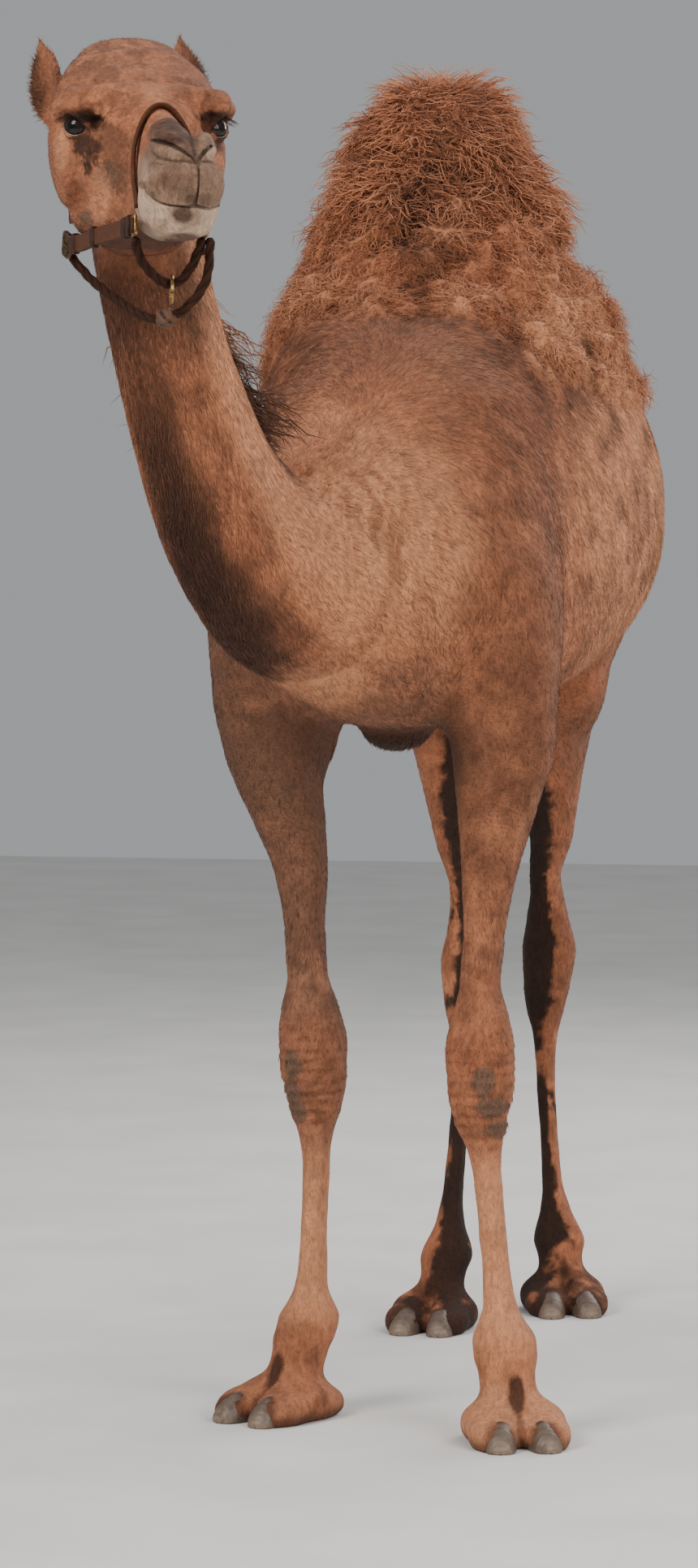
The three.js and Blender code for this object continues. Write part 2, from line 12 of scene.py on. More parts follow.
import bpy
import numpy as np
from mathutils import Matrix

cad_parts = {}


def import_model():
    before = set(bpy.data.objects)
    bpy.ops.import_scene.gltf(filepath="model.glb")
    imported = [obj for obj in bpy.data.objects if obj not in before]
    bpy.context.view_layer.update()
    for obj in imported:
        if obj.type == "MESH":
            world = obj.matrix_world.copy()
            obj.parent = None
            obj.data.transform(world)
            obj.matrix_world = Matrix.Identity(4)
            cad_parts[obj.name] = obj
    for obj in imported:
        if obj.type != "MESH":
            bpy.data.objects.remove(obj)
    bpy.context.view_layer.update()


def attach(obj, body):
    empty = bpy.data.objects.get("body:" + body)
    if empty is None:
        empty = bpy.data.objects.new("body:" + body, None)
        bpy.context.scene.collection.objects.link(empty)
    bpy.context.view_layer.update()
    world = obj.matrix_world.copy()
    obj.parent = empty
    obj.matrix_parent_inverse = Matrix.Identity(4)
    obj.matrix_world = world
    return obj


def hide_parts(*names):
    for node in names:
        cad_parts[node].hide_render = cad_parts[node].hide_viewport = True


Array = np.ndarray
Plane = tuple[tuple[float, float, float], tuple[float, float, float]]  # a point of it and its normal
LOG = logging.getLogger("dromedary")
SHIFT = np.array([-0.319, 0.040, 0.0])  # from the body plan to the model's frame
MM = 0.001
PATH_CHUNK = 60000  # places measured against a path at a time
GRID_CHUNK = 400000  # grid corners measured at a time
FACE_PLANE = 300.0  # how far ahead of the eyes the face plane stands, millimetres
FACE_SLANT = (0.178, 0.027)  # how far left and down a line of sight on it runs for each step ahead
GREY_WEIGHTS = np.array([0.3, 0.6, 0.1])  # how far red, green and blue count in a colour's grey
SATURATION = 0.92
BRIGHTNESS = 1.07


# ---------------------------------------------------------------- small arithmetic
def ramp(x: Array, low: float, high: float) -> Array:
    """A smooth step of x from 0 at low to 1 at high, with level ends."""
    t = np.clip((x - low) / (high - low), 0.0, 1.0)
    return t * t * (3.0 - 2.0 * t)


def unit(v: Array) -> Array:
    """Vectors scaled to length one, row by row."""
    return v / np.maximum(np.linalg.norm(v, axis=-1, keepdims=True), 1e-12)


def turn_matrix(x: float = 0.0, y: float = 0.0, z: float = 0.0) -> Array:
    """A rotation about x, then y, then z, in degrees, as a 3 by 3 matrix.

    Args:
        x: Turn about the x axis.
        y: Turn about the y axis.
        z: Turn about the z axis.

    Returns:
        The matrix Rz Ry Rx.
    """
    cx, cy, cz = (math.cos(math.radians(a)) for a in (x, y, z))
    sx, sy, sz = (math.sin(math.radians(a)) for a in (x, y, z))
    rx = np.array([[1, 0, 0], [0, cx, -sx], [0, sx, cx]])
    ry = np.array([[cy, 0, sy], [0, 1, 0], [-sy, 0, cy]])
    rz = np.array([[cz, -sz, 0], [sz, cz, 0], [0, 0, 1]])
    return rz @ ry @ rx


def soft_join(a: Array, b: Array, reach: float) -> Array:
    """The smaller of two distances, rounded where they are within reach of each other.

    With h = clamp(1/2 + (b - a) / (2 reach), 0, 1) the result is b (1 - h) + a h - reach h (1 - h).

    Args:
        a: First distances.
        b: Second distances.
        reach: Width of the rounding.

    Returns:
        The joined distances.
    """
    h = np.clip(0.5 + 0.5 * (b - a) / reach, 0.0, 1.0)
    return b * (1.0 - h) + a * h - reach * h * (1.0 - h)


def soft_cut(a: Array, b: Array, reach: float) -> Array:
    """Distance to shape a with shape b taken away, its rim rounded by reach."""
    return -soft_join(-a, b, reach)


def hash_lattice(cells: Array, seed: int) -> Array:
    """A number from 0 to 1 for each whole-number cell, mixed from its three indices and a seed."""
    c = cells.astype(np.int64)
    h = (c[..., 0] * 73856093) ^ (c[..., 1] * 19349663) ^ (c[..., 2] * 83492791) ^ (seed * 2654435761)
    h = (h ^ (h >> 13)) * 1274126177 & 0x7FFFFFFF
    h = (h ^ (h >> 16)) & 0xFFFFF
    return h / float(0xFFFFF)


def cloud(p: Array, size: float, seed: int = 0, octaves: int = 2) -> Array:
    """Value noise from -1 to 1: lattice numbers blended by smooth steps along each axis.

    Args:
        p: Places, n by 3.
        size: Distance between lattice points in the first octave.
        seed: Chooses the pattern.
        octaves: How many halvings of the size are added, each at half the strength.

    Returns:
        One value per place.
    """
    total, weight, amount = np.zeros(len(p)), 0.0, 1.0
    for octave in range(octaves):
        q = p / (size / 2**octave) + 17.3 * octave
        base = np.floor(q)
        t = q - base
        t = t * t * (3.0 - 2.0 * t)
        value = np.zeros(len(p))
        for corner in np.ndindex(2, 2, 2):
            share = np.prod(np.where(np.array(corner) == 1, t, 1.0 - t), axis=1)
            value += share * hash_lattice(base + np.array(corner), seed + octave)
        total += amount * (2.0 * value - 1.0)
        weight += amount
        amount *= 0.5
    return total / weight


# ---------------------------------------------------------------- distance fields
@dataclass(frozen=True)
class Frame:
    """A place and a turn: a point p of the model is turn transposed times (p - at) here."""

    at: Array
    turn: Array

    def inward(self, p: Array) -> Array:
        """Points of the model in this frame."""
        return (p - self.at) @ self.turn

    def outward(self, q: Array) -> Array:
        """Points of this frame in the model."""
        return q @ self.turn.T + self.at


def monotone_table(station: Array, values: Array, count: int = 260) -> tuple[Array, Array]:
    """Values between stations on cubic curves that never overshoot.

    Each slope is the harmonic mean of its two neighbours' where they agree in sign, and nought otherwise.

    Args:
        station: Rising positions, n.
        values: Values there, n by m.
        count: Rows wanted.

    Returns:
        The new positions and the values at them.
    """
    gap = np.diff(station)[:, None]
    rise = np.diff(values, axis=0) / gap
    same = rise[:-1] * rise[1:] > 0
    inner = np.where(same, 2 * rise[:-1] * rise[1:] / np.where(same, rise[:-1] + rise[1:], 1.0), 0.0)
    slope = np.vstack([rise[:1], inner, rise[-1:]])
    at = np.linspace(station[0], station[-1], count)
    k = np.clip(np.searchsorted(station, at, side="right") - 1, 0, len(station) - 2)
    t = ((at - station[k]) / (station[k + 1] - station[k]))[:, None]
    h = gap[k]
    value = (
        (2 * t**3 - 3 * t**2 + 1) * values[k]
        + (t**3 - 2 * t**2 + t) * h * slope[k]
        + (3 * t**2 - 2 * t**3) * values[k + 1]
        + (t**3 - t**2) * h * slope[k + 1]
    )
    return at, value


def section_distance(across: Array, up: Array, width: Array, depth: Array, power: float) -> Array:
    """Distance from a superellipse, taken along the ray from its centre: rho (1 - 1/r).

    rho is the distance from the centre and r the superellipse radius (|a/w|^q + |u/d|^q)^(1/q).

    Args:
        across: Offsets along the width.
        up: Offsets along the depth.
        width: Half widths.
        depth: Half depths.
        power: The exponent q.

    Returns:
        Negative values inside.
    """
    rho = np.hypot(across, up)
    r = (np.abs(across / width) ** power + np.abs(up / depth) ** power) ** (1.0 / power)
    return np.where(r > 1e-3, rho * (1.0 - 1.0 / np.maximum(r, 1e-3)), -np.minimum(width, depth))


class Tube:
    """A tube whose rings stand square to one axis, from rows of [x, y, z, half-width, half-depth]."""

    def __init__(self, rows: Sequence[Sequence[float]], axis: int, power: float, inset: float = 0.0) -> None:
        """Keeps the rows as fine tables.

        Args:
            rows: Stations in millimetres.
            axis: 0 or 2, the axis the rings are square to. Width lies along y.
            power: Superellipse exponent.
            inset: How far inside the given sizes the surface lies, in metres.
        """
        table = np.array(rows, float) * MM
        table = table[np.argsort(table[:, axis])]
        self.axis, self.power = axis, power
        self.up_axis = 2 - axis
        values = table[:, [1, self.up_axis, 3, 4]]
        self.station, self.value = monotone_table(table[:, axis], values)
        self.value[:, 2:] = np.maximum(self.value[:, 2:] - inset, 0.004)
        self.start, self.end = self.station[0] + inset * 0.5, self.station[-1] - inset * 0.5
        self.length = self.end - self.start
        size = self.value[:, 2:].mean(1)
        self.slope = 1.0 / np.sqrt(1.0 + np.clip(np.gradient(size, self.station), -1.2, 1.2) ** 2)
        reach = self.value[:, 2:]
        low = (self.value[:, :2] - reach).min(0)
        high = (self.value[:, :2] + reach).max(0)
        self.low, self.high = np.zeros(3), np.zeros(3)
        self.low[[1, self.up_axis, axis]] = [low[0], low[1], self.start]
        self.high[[1, self.up_axis, axis]] = [high[0], high[1], self.end]

    def section(self, p: Array) -> tuple[Array, Array, Array, Array, Array]:
        """Each point's station, its offsets from the ring's centre and the ring's half sizes."""
        t = np.clip(p[:, self.axis], self.start, self.end)
        cy, cu, w, d = (np.interp(t, self.station, self.value[:, k]) for k in range(4))
        return t, p[:, 1] - cy, p[:, self.up_axis] - cu, w, d

    def distance(self, p: Array) -> Array:
        """Distance to the tube, with rounded ends."""
        t, across, up, w, d = self.section(p)
        radial = section_distance(across, up, w, d, self.power) * np.interp(t, self.station, self.slope)
        beyond = np.abs(p[:, self.axis] - t)
        return np.where(beyond > 0, np.hypot(np.maximum(radial, 0), beyond), radial)

    def around(self, p: Array) -> tuple[Array, Array]:
        """Each point's length along the tube and its angle round it from the left side, for unwrapping."""
        t, across, up, w, d = self.section(p)
        return t - self.start, np.arctan2(up / d, across / w)


class PathTube:
    """A tube whose rings stand square to its own path, from rows of [x, y, z, half-width, half-depth]."""

    def __init__(self, rows: Sequence[Sequence[float]], power: float, inset: float = 0.0,
            count: int = 56) -> None:
        """Keeps the path as a fine chain of rings, each with its tangent, side and rise.

        Args:
            rows: Stations in millimetres.
            power: Superellipse exponent.
            inset: How far inside the given sizes the surface lies, in metres.
            count: Rings in the chain.
        """
        table = np.array(rows, float) * MM
        steps = np.concatenate([[0], np.cumsum(np.linalg.norm(np.diff(table[:, :3], axis=0), axis=1))])
        self.station, value = monotone_table(steps, table, count)
        self.centre = value[:, :3]
        for _ in range(3):
            self.centre[1:-1] = (self.centre[:-2] + 2 * self.centre[1:-1] + self.centre[2:]) / 4
        self.size = np.maximum(value[:, 3:] - inset, 0.003)
        self.tangent = unit(np.gradient(self.centre, self.station, axis=0))
        self.side = unit(np.array([0.0, 1.0, 0.0]) - self.tangent * self.tangent[:, 1:2])
        self.rise = np.cross(self.tangent, self.side)
        self.power, self.length = power, float(self.station[-1])
        reach = self.size.max(1, keepdims=True)
        self.low, self.high = (self.centre - reach).min(0), (self.centre + reach).max(0)

    def section(self, p: Array) -> tuple[Array, Array, Array, Array, Array, Array]:
        """Each point's station on the path, offsets from its centre, half sizes and distance past an end."""
        near = np.empty(len(p), int)
        for start in range(0, len(p), PATH_CHUNK):
            part = p[start : start + PATH_CHUNK]
            square = (part**2).sum(1)[:, None] - 2 * part @ self.centre.T + (self.centre**2).sum(1)
            near[start : start + PATH_CHUNK] = square.argmin(1)
        offset = p - self.centre[near]
        ahead = (offset * self.tangent[near]).sum(1)
        at = self.station[near] + ahead
        t = np.clip(at, 0.0, self.length)
        k = np.interp(t, self.station, np.arange(len(self.station)))
        k0 = np.minimum(k.astype(int), len(self.station) - 2)
        share = (k - k0)[:, None]
        blend = [(1 - share) * v[k0] + share * v[k0 + 1]
            for v in (self.centre, self.side, self.rise, self.size)]
        centre, side, rise, size = blend
        offset = p - centre
        beyond = np.abs(at - t)
        return t, (offset * side).sum(1), (offset * rise).sum(1), size[:, 0], size[:, 1], beyond

    def distance(self, p: Array) -> Array:
        """Distance to the tube, with rounded ends."""
        _, across, up, w, d, beyond = self.section(p)
        radial = section_distance(across, up, w, d, self.power)
        return np.where(beyond > 0, np.hypot(np.maximum(radial, 0), beyond), radial)

    def around(self, p: Array) -> tuple[Array, Array]:
        """Each point's length along the tube and its angle round it from its side, for unwrapping."""
        t, across, up, w, d, _ = self.section(p)
        return t, np.arctan2(up / d, across / w)

    def heading(self, p: Array) -> Array:
        """The path's direction at the nearest place to each point."""
        t = self.section(p)[0]
        k = np.clip(np.round(np.interp(t, self.station, np.arange(len(self.station)))).astype(int), 0, None)
        return self.tangent[k]


@dataclass(frozen=True)
class Mass:
    """A turned ellipsoid of flesh: sizes in millimetres, turn in degrees, reach of its rounding in metres."""

    at: tuple[float, float, float]
    radii: tuple[float, float, float]
    turn: tuple[float, float, float] = (0.0, 0.0, 0.0)
    reach: float = 0.03
    hollow: bool = False

    def distance(self, p: Array) -> Array:
        """Distance by the scaled-space rule k0 (k0 - 1) / k1, k0 = |q/r| and k1 = |q/r^2|."""
        q = (p - np.array(self.at) * MM) @ turn_matrix(*self.turn)
        r = np.array(self.radii) * MM
        k0 = np.linalg.norm(q / r, axis=1)
        k1 = np.linalg.norm(q / r**2, axis=1)
        return np.where(k0 > 1e-3, k0 * (k0 - 1.0) / np.maximum(k1, 1e-9), -r.min())

    def mirrored(self) -> "Mass":
        """The same mass on the other side of the middle plane."""
        x, y, z = self.at
        a, b, c = self.turn
        return Mass((x, -y, z), self.radii, (-a, b, -c), self.reach, self.hollow)

    def blend(self, base: Array, p: Array) -> Array:
        """The base distances with this mass joined to them or hollowed out of them, where it is near."""
        spread = max(self.radii) * MM + 2 * self.reach
        near = np.abs(p - np.array(self.at) * MM).max(1) < spread
        if not near.any():
            return base
        own = self.distance(p[near])
        made = base.copy()
        blend = soft_cut if self.hollow else soft_join
        made[near] = blend(base[near], own, self.reach)
        return made


# ---------------------------------------------------------------- the animal's plan
# Stations are [x, y, z of the centre, half-width, half-depth] in millimetres of the body plan.
TRUNK = [
    [-932, 0, 1400, 20, 20], [-905, 0, 1403, 76, 82], [-850, 0, 1415, 126, 132], [-740, 0, 1430, 184, 178],
    [-580, 0, 1432, 250, 222], [-380, 0, 1432, 312, 282], [-150, 0, 1440, 338, 338], [100, 0, 1432, 316, 350],
    [320, -2, 1420, 270, 338], [500, -8, 1390, 226, 304], [640, -18, 1345, 182, 236],
    [740, -28, 1312, 128, 150],
    [795, -32, 1300, 40, 50],
]
HUMP = [
    [-50, -10, 1480, 240, 460], [-50, -16, 1600, 296, 530], [-60, -24, 1700, 296, 490],
    [-85, -32, 1790, 266, 370],
    [-85, -36, 1888, 212, 290], [-80, -36, 1983, 168, 226], [-75, -34, 2065, 139, 174],
    [-72, -28, 2120, 98, 110],
    [-70, -26, 2142, 34, 40],
]
NECK = [
    [360, 0, 1470, 150, 236], [600, -50, 1365, 158, 202], [775, -116, 1340, 132, 166],
    [925, -181, 1440, 107, 144],
    [1020, -212, 1570, 95, 130], [1080, -236, 1700, 88, 121], [1118, -251, 1810, 87, 112],
    [1150, -262, 1905, 80, 92], [1165, -268, 1950, 40, 50],
]
TAIL = [
    [-880, 0, 1478, 30, 30], [-935, 0, 1452, 25, 27], [-962, 2, 1350, 19, 20], [-962, 4, 1200, 16, 17],
    [-952, 6, 1090, 22, 22], [-944, 8, 1000, 26, 26], [-938, 8, 935, 10, 10],
]
# Legs: shafts are [height, half-width, half-depth]; lines are [height, x, y] of the leg's centre.
FORELEG = [
    [1600, 50, 110], [1450, 78, 150], [1300, 90, 150], [1150, 88, 120], [1060, 83, 100], [1005, 72, 86],
    [950, 61, 73], [860, 45, 56], [770, 36, 46], [710, 36, 45], [655, 49, 54], [605, 58, 62], [550, 56, 62],
    [495, 46, 50], [445, 31, 36], [400, 26, 32], [300, 25.5, 31], [228, 28, 34], [203, 31, 38], [178, 42, 45],
    [152, 54, 50], [127, 54, 50], [102, 49, 46], [50, 47, 48],
]
HINDLEG = [
    [1500, 40, 80], [1400, 80, 165], [1260, 94, 185], [1150, 88, 160], [1050, 72, 124], [950, 56, 92],
    [850, 42, 64], [770, 32, 48], [700, 41, 52], [640, 52, 60], [580, 46, 54], [530, 37, 45], [490, 27, 37],
    [430, 21.5, 31], [320, 20.5, 29], [235, 22, 30], [178, 31, 36], [120, 50, 45], [92, 44, 41], [40, 44, 46],
]


@dataclass(frozen=True)
class LegPlan:
    """One leg: its shaft's sizes, its centre line, and its foot's size, place and turn."""

    name: str
    shaft: list[list[float]]
    line: list[list[float]]
    foot_at: tuple[float, float]
    toe_out: float
    foot_width: float
    foot_length: float
    digit: float
    fore: bool

    def rows(self) -> list[list[float]]:
        """The shaft's stations with the centre line's x and y at each height."""
        line = np.array(sorted(self.line), float)
        heights = [z for z, _, _ in self.shaft]
        xs, ys = (np.interp(heights, line[:, 0], line[:, k]) for k in (1, 2))
        return [[float(x), float(y), z, w, d] for x, y, (z, w, d) in zip(xs, ys, self.shaft)]

    def foot_frame(self) -> Frame:
        """The foot's own frame: its origin on the floor under its middle, +X towards the toes."""
        at = np.array([self.foot_at[0], self.foot_at[1], 0.0]) * MM
        return Frame(at, turn_matrix(z=self.toe_out))


LEG_PLANS = (
    LegPlan(
        "foreleg_left", FORELEG,
        [[1600, 400, 115], [1450, 470, 152], [1300, 535, 176], [1060, 535, 176], [950, 548, 166],
            [860, 572, 159],
         [710, 592, 150], [605, 606, 152], [495, 596, 152], [400, 588, 162], [228, 584, 177], [152, 590, 188],
         [50, 612, 200]],
        (632, 212), 18, 170, 196, 30, True,
    ),
    LegPlan(
        "foreleg_right", FORELEG,
        [[1600, 400, -130], [1450, 460, -172], [1300, 520, -205], [1150, 500, -206], [1060, 480, -199],
         [1005, 474, -192], [950, 470, -178], [860, 468, -158], [710, 470, -148], [605, 478, -138],
         [495, 462, -137], [400, 450, -138], [228, 440, -146], [152, 444, -152], [50, 468, -174]],
        (484, -188), -28, 170, 196, 30, True,
    ),
    LegPlan(
        "hindleg_left", HINDLEG,
        [[1500, -690, 110], [1260, -620, 118], [1150, -612, 90], [1050, -618, 76], [950, -650, 68],
         [850, -690, 62], [770, -726, 46], [700, -752, 46], [640, -762, 47], [530, -752, 42], [430, -742, 44],
         [235, -728, 58], [120, -716, 74], [40, -690, 84]],
        (-666, 90), 17, 158, 172, 27, False,
    ),
    LegPlan(
        "hindleg_right", HINDLEG,
        [[1500, -670, -110], [1260, -570, -122], [1150, -520, -104], [1050, -488, -90], [850, -488, -72],
         [770, -510, -62], [700, -528, -60], [640, -534, -62], [530, -518, -62], [430, -506, -66],
         [235, -486, -80], [120, -474, -90], [40, -446, -100]],
        (-426, -106), -5, 158, 172, 27, False,
    ),
)
# The head in its own frame: origin between the eyes, +X towards the lips.
# Rows are [x, top, underside, half-width, shift to the left if any].
CRANIUM = [
    [-194, 66, -20, 34], [-170, 104, -90, 86], [-130, 121, -120, 113], [-85, 112, -134, 127],
    [-35, 90, -130, 122],
    [20, 68, -120, 102], [70, 46, -112, 72], [110, 12, -105, 46], [140, -28, -95, 20],
]
BRIDGE = [
    [30, 58, -140, 62], [70, 49, -150, 56], [110, 33, -155, 46], [150, 25, -155, 42], [190, 17, -154, 45],
    [230, 6, -153, 51, 2], [262, -2, -152, 55, 3], [290, -12, -150, 54, 4], [314, -26, -138, 43, 6],
    [330, -42, -118, 28, 8], [338, -58, -96, 10, 8],
]
JAW = [
    [-138, -70, -118, 50], [-112, -50, -166, 96], [-70, -50, -180, 98], [-20, -50, -177, 86],
    [40, -60, -169, 68],
    [110, -70, -161, 50], [180, -80, -155, 43], [240, -90, -152, 34],
]
HEAD = Frame(np.array([1310.0, -212.0, 1985.0]) * MM, turn_matrix(y=5, z=23))
EYE_AT = (6.0, 93.0, -2.0)
EYE_RADIUS = 22.0


def on_face_plane(q: Array) -> tuple[Array, Array]:
    """Where places of the head's frame are seen on the face plane, left and up, along the slanting lines."""
    ahead = q[:, 0] - FACE_PLANE * MM
    return q[:, 1] + FACE_SLANT[0] * ahead, q[:, 2] - FACE_SLANT[1] * ahead


def off_face_plane(x: Array, left: Array, up: Array) -> Array:
    """Points at x, in millimetres, on the slanting lines through spots of the face plane."""
    ahead = x - FACE_PLANE
    return np.stack(np.broadcast_arrays(x, left - FACE_SLANT[0] * ahead, up + FACE_SLANT[1] * ahead), -1)


def headed(rows: Sequence[Sequence[float]]) -> list[list[float]]:
    """Stations of the head from rows of [x, top, underside, half-width, shift to the left if any]."""
    return [[x, sum(y), (top + low) / 2, w, (top - low) / 2] for x, top, low, w, *y in rows]


class Region(Enum):
    """The parts of the body that the coat and its markings are told apart by."""

    TRUNK = 0
    HUMP = 1
    NECK = 2
    FORELEG_LEFT = 3
    FORELEG_RIGHT = 4
    HINDLEG_LEFT = 5
    HINDLEG_RIGHT = 6
    TAIL = 7
    HEAD = 8


LEG_REGIONS = range(Region.FORELEG_LEFT.value, Region.TAIL.value)


class Foot:
    """A low elastic pad under two toes, in the foot's own frame."""

    def __init__(self, plan: LegPlan, inset: float) -> None:
        """Lays the pad and the toes out from the foot's width and length.

        Args:
            plan: The leg that stands on this foot.
            inset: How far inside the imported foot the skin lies.
        """
        w, l, digit = plan.foot_width / 2, plan.foot_length / 2, plan.digit
        self.frame = plan.foot_frame()
        pad = [
            [-l, 0, 16, 0.4 * w, 14], [-0.8 * l, 0, 20, 0.78 * w, 30], [-0.2 * l, 0, 26, 0.98 * w, 44],
            [0.4 * l, 0, 20, 0.9 * w, 30], [0.66 * l, 0, 18, 0.56 * w, 16],
        ]
        self.pad = Tube(pad, 0, 2.3, inset)
        self.toes = []
        for side in (1, -1):
            rows = [
                [0.1 * l, 0.42 * w, 22, 0.38 * w, digit + 6], [0.5 * l, 0.5 * w, 19, 0.45 * w, digit],
                [0.88 * l, 0.45 * w, 14, 0.34 * w, digit - 6], [1.04 * l, 0.4 * w, 10, 0.14 * w, 12],
            ]
            self.toes.append(Tube([[x, side * y, z, a, b] for x, y, z, a, b in rows], 0, 2.3, inset))

    def distance(self, p: Array) -> Array:
        """Distance to the foot, its toes joined to the pad with a cleft between them."""
        q = self.frame.inward(p)
        toes = soft_join(self.toes[0].distance(q), self.toes[1].distance(q), 0.005)
        return soft_join(self.pad.distance(q), toes, 0.012)


@dataclass
class Body:
    """The flesh of the whole animal as one signed-distance field, each part set in by its coat's depth."""

    trunk_depth: float = 0.011
    hump_depth: float = 0.024
    neck_depth: float = 0.010
    leg_depth: float = 0.005
    foot_depth: float = 0.0015
    head_depth: float = 0.0032
    tail_depth: float = 0.009
    masses: tuple[Mass, ...] = ()
    head: "HeadFlesh | None" = None

    def __post_init__(self) -> None:
        """Builds the tubes, and the lumps of muscle and bone that lie on them."""
        self.trunk = Tube(TRUNK, 0, 2.2, self.trunk_depth)
        self.hump = Tube(HUMP, 2, 2.1, self.hump_depth)
        self.neck = PathTube(NECK, 2.1, self.neck_depth)
        self.tail = PathTube(TAIL, 2.0, self.tail_depth, 40)
        self.legs = [Tube(plan.rows(), 2, 2.3, self.leg_depth) for plan in LEG_PLANS]
        self.feet = [Foot(plan, self.foot_depth) for plan in LEG_PLANS]
        self.head = HeadFlesh(self.head_depth)
        both = (
            Mass((520, 158, 1330), (70, 52, 190), (0, -14, 8), 0.05),  # shoulder
            Mass((455, 196, 1235), (95, 42, 105), (0, 20, 0), 0.05),  # upper arm
            Mass((395, 165, 1085), (60, 44, 62), (0, 0, 0), 0.05),  # elbow
        )
        self.masses = (
            *both, *(m.mirrored() for m in both),
            Mass((405, -16, 1100), (94, 56, 42), (0, 0, 0), 0.02),  # sternal pad
            Mass((640, -30, 1255), (80, 96, 80), (0, 0, 0), 0.06),  # breast
            Mass((-700, 120, 1380), (150, 62, 130), (0, 25, 0), 0.06),  # left thigh
            Mass((-700, -120, 1380), (150, 62, 130), (0, 25, 0), 0.06),  # right thigh
            Mass((-548, 136, 1130), (62, 34, 74), (0, 0, 0), 0.05),  # left stifle
            Mass((-430, -150, 1130), (62, 34, 74), (0, 0, 0), 0.05),  # right stifle
            *(self.toe_hollow(plan) for plan in LEG_PLANS),
        )

    @staticmethod
    def toe_hollow(plan: LegPlan) -> Mass:
        """The hollow above the parting of a foot's two toes."""
        ahead, height = (43.0, 80.0) if plan.fore else (38.0, 66.0)
        at = plan.foot_frame().outward(np.array([ahead, 0.0, height]) * MM) / MM
        return Mass(tuple(at), (27, 11, 32), (0, -28, plan.toe_out), 0.012, True)

    def parts(self, p: Array) -> Array:
        """Distance to each region's own flesh, regions by points, 1 m where a point is far from a part."""
        far = np.full((len(Region), len(p)), 1.0)
        tubes = [self.trunk, self.hump, self.neck, *self.legs, self.tail]
        for k, tube in enumerate(tubes):
            near = ((p > tube.low - 0.2) & (p < tube.high + 0.2)).all(1)
            if near.any():
                far[k, near] = tube.distance(p[near])
        for k, foot in enumerate(self.feet):
            row = Region.FORELEG_LEFT.value + k
            near = (np.abs(p - foot.frame.at).max(1) < 0.24)
            if near.any():
                shaft, own = far[row, near], foot.distance(p[near])
                far[row, near] = soft_join(shaft, own, 0.028)
        near = np.linalg.norm(p - HEAD.at, axis=1) < 0.55
        if near.any():
            far[Region.HEAD.value, near] = self.head.distance(HEAD.inward(p[near]))
        return far

    def distance(self, p: Array, parts: Array | None = None) -> Array:
        """Distance to the whole skin from points of the body plan in metres."""
        d = self.parts(p) if parts is None else parts
        whole = soft_join(d[0], d[1], 0.07)
        for k in LEG_REGIONS:
            whole = soft_join(whole, d[k], 0.07)
        whole = soft_join(whole, d[2], 0.09)
        whole = soft_join(whole, d[7], 0.02)
        for mass in self.masses:
            whole = mass.blend(whole, p)
        whole = soft_join(whole, d[8], 0.035)
        return np.maximum(whole, 0.0008 - p[:, 2])


